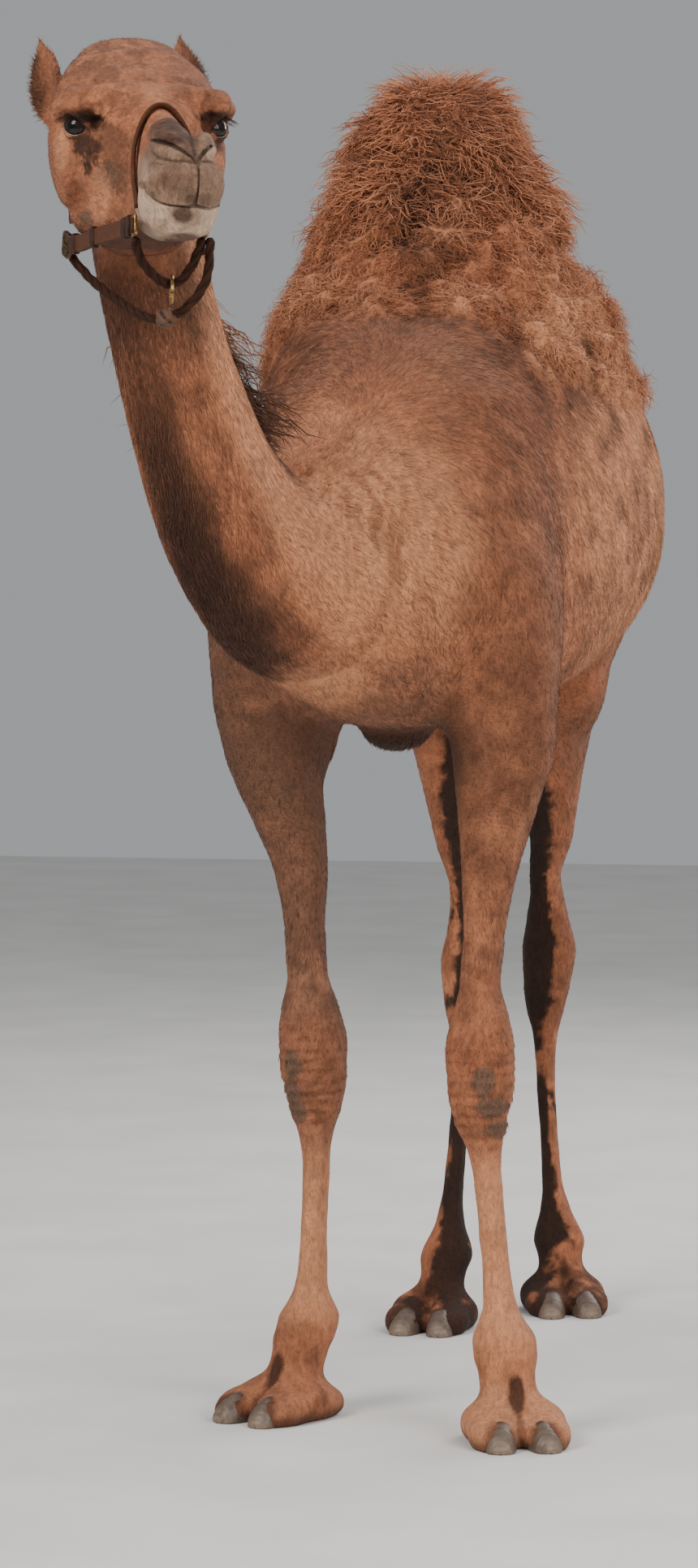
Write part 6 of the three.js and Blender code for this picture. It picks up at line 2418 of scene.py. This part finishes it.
# ---------------------------------------------------------------- halter
@dataclass(frozen=True)
class LeatherFinish:
    """Old brown leather: darker in its pores and creases, paler where it is rubbed."""

    name: str = "old_leather"
    rubbed: tuple[int, int, int] = (96, 66, 48)

    def build(self) -> bpy.types.Material:
        """The material."""
        g = Graph(self.name)
        pores = g.noise(900.0, g.place(), 3.0, 0.6)
        worn = g.noise(60.0, g.place(), 4.0, 0.65)
        tone = g.attribute("tone")
        colour = g.tinted(g.curve(pores, 0.60, 0.38, 0.0, 0.7), tone, tone, (0.45, 0.40, 0.36))
        colour = g.blend(g.curve(worn, 0.52, 0.72, 0.0, 0.45), colour, tuple(shade(*self.rubbed)))
        normal = g.relief(pores, 0.0006, 0.8, g.relief(worn, 0.002, 0.5))
        g.shader(Base_Color=colour, Roughness=g.curve(worn, 0.3, 0.7, 0.5, 0.72), Normal=normal,
            Specular_IOR_Level=0.25)
        return g.material


@dataclass(frozen=True)
class CordFinish:
    """Fuzzy cord: its thread colour broken by fine fibres."""

    name: str = "fuzzy_cord"

    def build(self) -> bpy.types.Material:
        """The material."""
        g = Graph(self.name)
        fibres = g.noise(1100.0, g.place(), 3.0, 0.6)
        dust = g.noise(45.0, g.place(), 3.0, 0.6)
        tone = g.attribute("tone")
        colour = g.tinted(g.curve(fibres, 0.62, 0.38, 0.0, 0.8), tone, tone, (0.40, 0.36, 0.34))
        colour = g.tinted(g.curve(dust, 0.55, 0.75, 0.0, 0.35), colour, tone, (1.6, 1.5, 1.4))
        g.shader(Base_Color=colour, Roughness=0.88, Normal=g.relief(fibres, 0.0009, 0.9),
            Specular_IOR_Level=0.2)
        return g.material


@dataclass(frozen=True)
class BrassFinish:
    """Dull worn brass or dark bronze, with tarnish in patches."""

    name: str = "worn_brass"
    metal: tuple[int, int, int] = (176, 136, 84)
    tarnish: tuple[int, int, int] = (78, 56, 38)

    def build(self) -> bpy.types.Material:
        """The material."""
        g = Graph(self.name)
        patches = g.noise(170.0, g.place(), 4.0, 0.65)
        rubs = g.noise(1400.0, g.place((1, 1, 0.2)), 2.0)
        colour = g.blend(g.curve(patches, 0.40, 0.66), tuple(shade(*self.metal)), tuple(shade(*self.tarnish)))
        rough = g.curve(patches, 0.35, 0.7, 0.28, 0.62)
        g.shader(Base_Color=colour, Metallic=0.92, Roughness=rough, Normal=g.relief(rubs, 0.0003, 0.4))
        return g.material


def squared_loop(half_x: float, half_z: float, bend: float, count: int) -> Array:
    """Points of a squarish loop in the x-z plane: half sizes times sign(c)|c|^bend of the cosine and sine."""
    angle = np.arange(count) * 2 * math.pi / count
    c, s = np.cos(angle), np.sin(angle)
    x, z = half_x * np.sign(c) * np.abs(c) ** bend, half_z * np.sign(s) * np.abs(s) ** bend
    return np.stack([x, 0 * c, z], 1)


def smooth_path(points: Array, step: float) -> Array:
    """A chain of points rounded by a cubic through them and spaced evenly.

    Between points p1 and p2 the curve is the mean of the two parabolas' usual blend,
    0.5 (2 p1 + (p2 - p0) t + (2 p0 - 5 p1 + 4 p2 - p3) t^2 + (3 p1 - p0 - 3 p2 + p3) t^3).

    Args:
        points: The chain.
        step: Spacing wanted along it, in the points' unit.

    Returns:
        The smooth chain.
    """
    ends = np.vstack([2 * points[0] - points[1], points, 2 * points[-1] - points[-2]])
    t = np.linspace(0, 1, 24, endpoint=False)[:, None]
    runs = []
    for p0, p1, p2, p3 in zip(ends[:-3], ends[1:-2], ends[2:-1], ends[3:]):
        runs.append(0.5 * (2 * p1 + (p2 - p0) * t + (2 * p0 - 5 * p1 + 4 * p2 - p3) * t**2
            + (3 * p1 - p0 - 3 * p2 + p3) * t**3))
    fine = np.vstack([*runs, points[-1:]])
    along = np.concatenate([[0], np.cumsum(np.linalg.norm(np.diff(fine, axis=0), axis=1))])
    wanted = np.linspace(0, along[-1], max(int(along[-1] / step), 2) + 1)
    return np.stack([np.interp(wanted, along, fine[:, k]) for k in range(3)], 1)


def swept(path: Array, side: Array, rise: Array, outline: Array, closed: bool = False) -> tuple[Array, Array]:
    """A skin carried along a path: ring k is path + side a + rise b for each [a, b] of its outline.

    Args:
        path: Points, n by 3.
        side: The outline's first direction at each point.
        rise: Its second.
        outline: Outlines, n by m by 2, or one m by 2 for all.
        closed: Whether the path joins up with itself.

    Returns:
        Places and quads, facing outwards when the outline runs from side to rise and the path along their
        cross product.
    """
    outline = np.broadcast_to(outline, (len(path), *outline.shape[-2:]))
    rings = path[:, None] + side[:, None] * outline[..., :1] + rise[:, None] * outline[..., 1:]
    n, m = rings.shape[:2]
    grid = np.arange(n * m).reshape(n, m)
    first = grid if closed else grid[:-1]
    second = np.roll(grid, -1, 0) if closed else grid[1:]
    quads = np.stack([first, np.roll(first, -1, 1), np.roll(second, -1, 1), second], -1).reshape(-1, 4)
    if not closed:
        fan = []
        for ring, flip in ((grid[0], True), (grid[-1], False)):
            for k in range(m // 2 - 1):
                quad = [ring[k], ring[k + 1], ring[m - 2 - k], ring[m - 1 - k]]
                fan.append(quad[::-1] if flip else quad)
        quads = np.vstack([quads, np.array(fan)])
    return rings.reshape(-1, 3), quads


def outline_of(half_a: float, half_b: float, power: float, count: int) -> Array:
    """A superellipse's points: half sizes times sign(c)|c|^(2/power) of the cosine and sine."""
    angle = (np.arange(count) + 0.5) * 2 * math.pi / count
    c, s = np.cos(angle), np.sin(angle)
    return np.stack([
        half_a * np.sign(c) * np.abs(c) ** (2 / power), half_b * np.sign(s) * np.abs(s) ** (2 / power),
    ], 1)


def wire(path: Array, across: Array, outline: Array) -> tuple[Array, Array]:
    """A closed loop of bar along a flat path, its outline's first direction square to the path's plane."""
    side = np.repeat(across[None], len(path), 0)
    rise = np.cross(unit(np.roll(path, -1, 0) - np.roll(path, 1, 0)), side)
    return swept(path, side, rise, outline, closed=True)


@dataclass
class Halter:
    """The head halter: noseband, crown strap, cheek straps, rings, buckle, ropes, chin ring and knot."""

    head: HeadFlesh
    noseband: tuple[float, float, float] = (160.0, 0.0, -35.0)
    crown: tuple[float, float, float] = (-150.0, 0.0, -30.0)
    cheek: tuple[tuple[float, float, float], ...] = (
        (204, 50, -131), (157, 54, -139), (60, 71, -152), (-10, 85, -165), (-70, 94, -171),
    )
    throat_rope: tuple[tuple[float, float, float], ...] = (
        (-86, -92, -186), (-76, -76, -206), (-40, -62, -224), (30, -36, -248), (92, -16, -262),
        (140, 4, -264), (166, 34, -246),
        (186, 57, -206), (207, 58, -149),
    )
    chin_rope: tuple[tuple[float, float, float], ...] = (
        (212, -49, -149), (204, -38, -180), (180, -10, -207), (166, 12, -214), (172, 30, -202),
        (186, 42, -176),
        (203, 48, -150),
    )
    rope_radius: float = 6.9
    brass_tone: tuple[int, int, int] = (170, 130, 80)
    side_ring: tuple[float, float, float] = (212.0, 50.0, -132.0)
    chin_ring: tuple[float, float, float] = (166.0, 12.0, -224.0)
    knot: tuple[float, float, float] = (150.0, 8.0, -262.0)
    buckle: tuple[float, float, float] = (-86.0, -96.0, -172.0)

    def build(self) -> None:
        """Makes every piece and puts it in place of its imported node."""
        self.leather = LeatherFinish().build()
        self.cord = CordFinish().build()
        self.brass = BrassFinish().build()
        self.bronze = BrassFinish("dark_bronze", (104, 80, 58), (40, 30, 25)).build()
        self.dark_leather = LeatherFinish("dark_leather", (86, 64, 52)).build()
        self.band("halter_noseband", self.noseband, -27.0, 15.0, 6.4, -108.0, ribbed=True)
        self.band("halter_crown_strap", self.crown, -18.0, 24.0, 5.2, -140.0, ribbed=False)
        for side, word in ((1.0, "left"), (-1.0, "right")):
            self.cheek_strap(f"halter_cheek_strap_{word}", side)
            self.ring(f"halter_ring_{word}", side)
        self.rope("halter_throat_rope", self.throat_rope, 31)
        self.rope("halter_chin_rope", self.chin_rope, 32)
        self.hoop()
        self.frame()
        self.tie()

    def keep(self, name: str, places: Array, quads: Array, finish: bpy.types.Material, tone: Array, slot: str,
            smooth: bool = True) -> None:
        """Makes a piece from places of the head's frame in millimetres, in place of the node of its name."""
        made = mesh_object(f"{name}_dressed", HEAD.outward(places * MM) + SHIFT, quads, finish, smooth=smooth,
            colours=tone)
        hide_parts(name)
        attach(made, "root")
        LOG.info("%s: %d faces", name, len(quads))

    def reach(self, centre: Array, ways: Array) -> Array:
        """How far along each way from a centre the flesh ends, in millimetres, in 260 steps to 220 mm."""
        steps = np.linspace(4.0, 220.0, 260)
        places = centre + ways[:, None] * steps[None, :, None]
        out = self.head.flesh(places.reshape(-1, 3) * MM).reshape(len(ways), -1) > 0
        return steps[out.argmax(1)]

    def band(self, name: str, at: Sequence[float], lean: float, width: float, thick: float, lowest: float,
            ribbed: bool) -> None:
        """A band round the head in a leaning plane, from one end below over the top to the other.

        Its middle line is the flesh's outline in that plane, smoothed and pushed out by the coat and half its
        thickness. A ribbed band is a rolled cord with slanting ribs 2.9 mm apart; a plain one is flat leather
        with raised edges.

        Args:
            name: The node it stands for.
            at: A point of the plane.
            lean: The plane's turn about the left axis, degrees.
            width: Its width.
            thick: Its thickness.
            lowest: Height of its ends.
            ribbed: Whether it is the rolled band.
        """
        turn = turn_matrix(y=lean)
        front, left, up = turn[:, 0], np.array([0.0, 1.0, 0.0]), turn[:, 2]
        angle = np.radians(np.linspace(-78, 258, 420))
        ways = left * np.cos(angle)[:, None] + up * np.sin(angle)[:, None]
        centre = np.array(at)
        radius = self.reach(centre, ways)
        kernel = np.hanning(15)
        radius = np.convolve(np.pad(radius, 7, mode="edge"), kernel / kernel.sum(), "valid") + 3.0 + thick / 2
        path = centre + ways * radius[:, None]
        path = path[path[:, 2] > lowest]
        length = np.concatenate([[0], np.cumsum(np.linalg.norm(np.diff(path, axis=0), axis=1))])
        wanted = np.linspace(0, length[-1], int(length[-1] / (0.72 if ribbed else 2.0)) + 1)
        path = np.stack([np.interp(wanted, length, path[:, k]) for k in range(3)], 1)
        tangent = unit(np.gradient(path, axis=0))
        side = np.repeat(-front[None], len(path), 0)
        rise = np.cross(tangent, side)
        count = 20
        outline = outline_of(width / 2, thick / 2, 2.2 if ribbed else 4.5, count)
        angle = (np.arange(count) + 0.5) * 2 * math.pi / count
        if ribbed:
            phase = wanted[:, None] * 2 * math.pi / 2.9 + 1.6 * np.cos(angle)[None]
            swell = 1 + 0.075 * np.sin(phase)
            # painted shade: darker in the grooves between the ribs
            tone_share = 0.5 - 0.5 * np.sin(phase)
        else:
            edge = np.broadcast_to(np.abs(outline[:, 0]) / (width / 2), (len(wanted), count))
            swell = 1 + 0.10 * ramp(edge, 0.70, 0.86) * (1 - ramp(edge, 0.9, 1.0))
            tone_share = 0.35 * ramp(edge, 0.8, 0.95)
        outlines = outline[None] * swell[..., None]
        places, quads = swept(path, side, rise, outlines)
        base = shade(118, 70, 46) if ribbed else shade(78, 46, 30)
        tone = mixed(np.repeat(base[None], len(places), 0), shade(48, 33, 26), tone_share.ravel())
        self.keep(name, places, quads, self.cord if ribbed else self.leather, tone, "leather")

    def cheek_strap(self, name: str, side: float) -> None:
        """A double strap of flat leather along the jaw, stitched near both edges, with two keepers.

        The stitches are small capsules 4.4 mm apart; the keepers are loops of the same leather.

        Args:
            name: The node it stands for.
            side: 1 for the animal's left.
        """
        path = smooth_path(np.array(self.cheek, float) * np.array([1, side, 1]), 1.5)
        level, rise = self.frames(path)
        half = 12.6
        pieces = [(*swept(path, level, rise, outline_of(2.2, half, 5, 28)), shade(72, 40, 25))]
        layer = slice(int(len(path) * 0.10), int(len(path) * 0.94))
        outer = path[layer] + level[layer] * (2.2 * side)
        upper = swept(outer, level[layer], rise[layer], outline_of(1.4, half - 1.2, 5, 28))
        pieces.append((*upper, shade(84, 48, 30)))
        length = len(path) * 1.5
        for share in (0.06, 0.145, 0.62, 0.90):
            k = int(share * (len(path) - 1))
            width = 5 if share < 0.5 else 4
            near = slice(max(k - width, 0), k + width)
            span = path[near] + level[near] * (1.2 * side)
            keeper = swept(span, level[near], rise[near], outline_of(5.2, half + 2.2, 6, 28))
            pieces.append((*keeper, shade(52, 29, 18)))
        for row in (-1, 1):
            for k in range(int(len(outer) * 0.02), int(len(outer) * 0.98), 3):
                left, up = level[layer][k], rise[layer][k]
                at = outer[k] + left * (1.55 * side) + up * (row * (half - 3.4))
                way = unit(outer[min(k + 1, len(outer) - 1)] - outer[max(k - 1, 0)])
                bar = at + way * np.array([-1.3, 0.0, 1.3])[:, None]
                own = (np.repeat(left[None], 3, 0), np.repeat(up[None], 3, 0))
                size = np.array([0.35, 0.55, 0.35])[:, None, None] * outline_of(1.0, 1.0, 2, 6)[None]
                pieces.append((*swept(bar, *own, size), shade(112, 82, 60)))
        self.gathered(name, pieces, self.leather, "leather")
        LOG.info("%s: %.0f mm long", name, length)

    def frames(self, path: Array) -> tuple[Array, Array]:
        """A path's side, held level across the head, and its rise."""
        tangent = unit(np.gradient(path, axis=0))
        side = unit(np.array([0.0, 1.0, 0.0]) - tangent * tangent[:, 1:2])
        return side, np.cross(tangent, side)

    def gathered(self, name: str, pieces: list[tuple[Array, Array, Array]], finish: bpy.types.Material,
            slot: str) -> None:
        """Joins meshes of one colour each into one piece."""
        places = np.vstack([p for p, _, _ in pieces])
        starts = np.cumsum([0, *(len(p) for p, _, _ in pieces[:-1])])
        quads = np.vstack([q + s for (_, q, _), s in zip(pieces, starts)])
        tone = np.vstack([np.repeat(c[None], len(p), 0) for p, _, c in pieces])
        self.keep(name, places, quads, finish, tone, slot)

    def ring(self, name: str, side: float) -> None:
        """A square ring of rounded wire: its line is a superellipse of power 7 and half size 13 mm."""
        turn = turn_matrix(y=-12)
        flat = squared_loop(13.0, 13.0, 2 / 7, 120)
        centre = np.array(self.side_ring) * np.array([1, side, 1])
        path = smooth_path(np.vstack([flat, flat[:1]]), 1.1)[:-1] @ turn.T + centre
        places, quads = wire(path, turn[:, 1], outline_of(2.4, 2.6, 3, 14))
        tone = np.repeat(shade(*self.brass_tone)[None], len(places), 0)
        self.keep(name, places, quads, self.brass, tone, "brass")

    def rope(self, name: str, points: Sequence[Sequence[float]], seed: int) -> None:
        """A rolled rope of three strands with short fuzz.

        Its radius is rope_radius (0.9 + 0.11 cos(3 angle - 2 pi s / 26 mm) + noise), less at the ends.

        Args:
            name: The node it stands for.
            points: Its middle line.
            seed: Chooses the fuzz.
        """
        path = smooth_path(np.array(points, float), 1.6)
        side, rise = self.frames(path)
        count = 24
        angle = (np.arange(count) + 0.5) * 2 * math.pi / count
        along = np.arange(len(path)) * 1.6
        strand = np.cos(3 * angle[None] - 2 * math.pi * along[:, None] / 26.0)
        rings = np.repeat(path[:, None], count, 1).reshape(-1, 3)
        lump = cloud(rings * MM, 0.011, seed).reshape(len(path), count)
        ends = np.minimum(ramp(along, -2, 5), ramp(along[::-1], -2, 5))[:, None]
        radius = self.rope_radius * (0.90 + 0.11 * strand + 0.10 * lump) * (0.55 + 0.45 * ends)
        outlines = np.stack([radius * np.cos(angle), radius * np.sin(angle)], -1)
        places, quads = swept(path, side, rise, outlines)
        # painted shade: darker in the grooves between the strands
        base = np.repeat(shade(62, 34, 20)[None], len(places), 0)
        base = mixed(base, shade(28, 17, 12), 0.8 * ramp(-strand.ravel(), 0.2, 1.0))
        self.keep(name, places, quads, self.cord, base, "rope")
        rng = np.random.default_rng(seed)
        number = 900
        row, column = rng.integers(2, len(path) - 2, number), rng.integers(0, count, number)
        n = side[row] * np.cos(angle[column])[:, None] + rise[row] * np.sin(angle[column])[:, None]
        at = path[row] + n * radius[row, column][:, None]
        way = unit(np.gradient(path, axis=0))[row]
        roots = Roots(HEAD.outward(at * MM) + SHIFT, n @ HEAD.turn.T, way @ HEAD.turn.T,
            rng.random((number, 8)))
        ones = np.ones(number)
        shape = LockShape(0.0045, 0.0005, 0.7, 0.12, 1.0, 2, 3.1, 0.5)
        hairs, faces, _ = grow(roots, shape, ones, ones, ones)
        fuzz = mesh_object(f"{name}_fuzz", hairs, faces, self.cord,
            colours=np.repeat(shade(66, 43, 33)[None], len(hairs), 0))
        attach(fuzz, "root")

    def hoop(self) -> None:
        """The chin ring: a round hoop of brass wire, 20 mm in radius, turned 8 degrees."""
        count = 110
        angle = np.arange(count) * 2 * math.pi / count
        turn = turn_matrix(z=-8)
        circle = np.stack([20 * np.cos(angle), 0 * angle, 20 * np.sin(angle)], 1)
        path = circle @ turn.T + np.array(self.chin_ring)
        places, quads = wire(path, turn[:, 1], outline_of(2.8, 2.8, 2, 16))
        tone = np.repeat(shade(*self.brass_tone)[None], len(places), 0)
        self.keep("halter_chin_ring", places, quads, self.brass, tone, "brass")

    def frame(self) -> None:
        """The buckle: a rounded frame of dark bronze bar, a middle bar and a tongue lying over it."""
        turn = turn_matrix(0, 12, 8)
        centre = np.array(self.buckle)

        def loop(half_x: float, half_z: float, bar: float, thick: float) -> tuple[Array, Array, Array]:
            """A closed loop of bar in the frame's plane."""
            flat = squared_loop(half_x, half_z, 0.3, 96)
            path = smooth_path(np.vstack([flat, flat[:1]]), 1.3)[:-1] @ turn.T + centre
            return (*wire(path, turn[:, 1], outline_of(thick, bar, 3.5, 16)), shade(90, 70, 50))

        def rod(a: Sequence[float], b: Sequence[float], radius: float) -> tuple[Array, Array, Array]:
            """A straight round rod between two points of the frame's plane."""
            share = np.linspace(0, 1, 9)[:, None]
            path = (np.array(a, float) + (np.array(b, float) - np.array(a, float)) * share) @ turn.T + centre
            way = unit(path[-1] - path[0])
            side = unit(np.cross(way, turn[:, 1]))
            frames = (np.repeat(side[None], 9, 0), np.repeat(np.cross(way, side)[None], 9, 0))
            return (*swept(path, *frames, outline_of(radius, radius, 2, 12)), shade(120, 92, 62))

        pieces = [
            loop(14.0, 16.0, 2.7, 3.1), rod((-1, 0, -15), (-1, 0, 15), 2.2),
            rod((-1, -3.0, 0), (14.5, -3.4, 0), 1.7),
            loop(8.5, 12.5, 1.5, 2.0),
        ]
        self.gathered("halter_buckle", pieces, self.bronze, "brass")

    def tie(self) -> None:
        """The leather knot: a lumpy ball with wraps that slant two ways, r = 0.93 + 0.055 wraps + noise."""
        rows, columns = 44, 64
        down, turn = np.linspace(0.02, math.pi - 0.02, rows), np.arange(columns) * 2 * math.pi / columns
        a, b = np.meshgrid(down, turn, indexing="ij")
        ball = np.stack([np.sin(a) * np.cos(b), np.sin(a) * np.sin(b), np.cos(a)], -1).reshape(-1, 3)
        one, other = unit(np.array([0.5, 0.6, 0.62])), unit(np.array([0.7, -0.6, 0.3]))
        wraps = np.cos(7.5 * (ball @ one) + 1.2) + 0.6 * np.cos(9 * (ball @ other))
        swell = 0.93 + 0.055 * wraps + 0.10 * cloud(ball * 0.02, 0.009, 77)
        places = ball * np.minimum(swell, 1.04)[:, None] * np.array([18.0, 16.0, 14.5]) + np.array(self.knot)
        # painted shade: darker in the grooves between the wraps
        tone = mixed(np.repeat(shade(96, 66, 50)[None], len(places), 0), shade(44, 30, 24),
            ramp(-wraps, 0.1, 1.2))
        self.keep("halter_knot", places, ringed(rows, columns), self.leather, tone, "leather")


# ---------------------------------------------------------------- the animal put together
FLESH_NODES = (
    "trunk", "hump", "neck", "chest_pad", "tail",
    *(f"{leg.name}_{part}" for leg in LEG_PLANS for part in ("upper", "lower", "foot")),
)
HEAD_NODES = ("head", "lower_jaw", "ear_left", "ear_right")


@dataclass
class Hide:
    """One skin from the field in four weights of mesh: body, limbs, head, and muzzle ahead of the noseband.

    The weights overlap by a few millimetres above the knees, behind the head and under the noseband, where
    the edge of each is sunk a little.
    """

    body: Body
    coat: Coat
    body_cell: float = 0.0108
    head_cell: float = 0.0027
    muzzle_cell: float = 0.00155
    limb_cell: float = 0.0062
    limb_top: float = 0.78
    neck_plane: Plane = ((-0.165, 0.0, -0.03), (0.92, 0.0, 0.40))
    nose_plane: Plane = ((0.160, 0.0, -0.035), (0.891, 0.0, 0.454))

    def side(self, p: Array, plane: Plane) -> Array:
        """How far each place lies ahead of a plane of the head's frame, in metres."""
        return (HEAD.inward(p) - np.array(plane[0])) @ unit(np.array(plane[1]))

    def build(self) -> Shell:
        """Takes the skin from the field.

        Returns:
            The skin on the body plan.
        """
        body = surface_net(self.body.distance, (-1.0, -0.38, -0.01), (1.72, 0.38, 2.17), self.body_cell)
        ahead = np.where(np.linalg.norm(body.places - HEAD.at, axis=1) < 0.45,
            self.side(body.places, self.neck_plane), -1.0)
        body = trimmed(body.moved(-0.0015 * ramp(ahead, -0.012, 0.010)), ahead < 0.012)
        body = body.moved(self.relief(body))
        body = body.moved(-0.0018 * ramp(self.limb_top + 0.004 - body.places[:, 2], 0.0, 0.012))
        body = trimmed(body, body.places[:, 2] > self.limb_top - 0.016)
        limbs = surface_net(self.body.distance, (-1.0, -0.36, -0.01), (0.86, 0.36, self.limb_top + 0.04),
            self.limb_cell)
        limbs = limbs.moved(self.limb_relief(limbs))
        limbs = limbs.moved(-0.0016 * ramp(limbs.places[:, 2] - self.limb_top + 0.006, 0.0, 0.012))
        limbs = trimmed(limbs, limbs.places[:, 2] < self.limb_top + 0.012)
        head = surface_net(self.body.distance, (1.02, -0.52, 1.62), (1.70, 0.06, 2.14), self.head_cell)
        behind, front = self.side(head.places, self.neck_plane), self.side(head.places, self.nose_plane)
        sunk = 0.0012 * ramp(-behind, -0.004, 0.008) + 0.0008 * ramp(front, 0.0, 0.005)
        head = trimmed(Shell(head.places - head.normals * sunk[:, None], head.quads, head.normals),
            (behind > -0.010) & (front < 0.005))
        nose = surface_net(self.nose_distance, (1.36, -0.24, 1.76), (1.70, 0.03, 2.06), self.muzzle_cell)
        front = self.side(nose.places, self.nose_plane)
        nose = trimmed(nose, front > 0.0)
        LOG.info("skin: body %d, limbs %d, head %d, muzzle %d places",
            *(len(s.places) for s in (body, limbs, head, nose)))
        return merged([body, limbs, head, nose])

    def nose_distance(self, p: Array) -> Array:
        """The head's own distance, for the muzzle that nothing else reaches."""
        return self.body.head.distance(HEAD.inward(p))

    def relief(self, shell: Shell) -> Array:
        """How far the body's skin is raised: the wool's clumps up to 24 mm, the furrows 8 mm deep."""
        p, coat = shell.places, self.coat
        w = coat.shares(self.body.parts(p))
        raised = 0.024 * coat.wool(p, w) * coat.clumps(p) * (1 - 0.75 * ramp(p[:, 2], 1.90, 2.05))
        return raised - 0.008 * (w[0] + w[2]) * coat.pleats(p) * coat.furrows(p)

    def limb_relief(self, shell: Shell) -> Array:
        """How far the limbs' skin is raised: calluses 2.5 mm, knee wrinkles 1.3 mm, unevenness all over."""
        p = shell.places
        knees, worn = self.coat.knees(p), self.coat.worn(p)
        fold = np.cos(2 * math.pi * p[:, 2] / 0.017 + 2.6 * cloud(p, 0.035, 61))
        rough, slow = cloud(p, 0.024, 62), cloud(p, 0.035, 63)
        uneven = 0.0028 * knees * rough + 0.0014 * ramp(p[:, 2], 0.015, 0.06) * slow
        return 0.0025 * worn + 0.0013 * knees * fold + uneven

    def dress(self, shell: Shell) -> None:
        """Makes the skin piece with its markings, in place of every node of flesh."""
        parts = self.body.parts(shell.places)
        colours = np.clip(self.coat.colour(shell.places, shell.normals, parts), 0, 1)
        # where the skin is folded: it carries the folds' bump and their painted shade
        parted = (1 - self.coat.wool(shell.places, self.coat.shares(parts))) * self.coat.pleats(shell.places)
        made = mesh_object("skin", shell.places + SHIFT, shell.quads, SkinFinish().build(), colours=colours,
            parted=parted,
                           lie=self.coat.lie(shell.places, parts), normals=shell.normals)
        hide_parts(*FLESH_NODES, *HEAD_NODES)
        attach(made, "root")
        LOG.info("skin: %d faces", len(shell.quads))


def main() -> None:
    """Builds the animal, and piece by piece."""
    logging.basicConfig(level=logging.INFO, format="%(name)s %(relativeCreated)d %(message)s")
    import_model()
    Studio().build()
    LOG.info("studio ready")
    body = Body()
    coat = Coat(body)
    hide = Hide(body, coat)
    skin = hide.build()
    LOG.info("skin taken")
    hide.dress(skin)
    fleece = Fleece(body, coat, {"skin": skin})
    fleece.build()
    eye, lid = EyeFinish().build(), LidFinish().build()
    for plan in EYES:
        Eye(plan).build(eye, lid, fleece.finish)
    Claws().build(HornFinish().build())
    Halter(body.head).build()


if __name__ == "__main__":
    main()
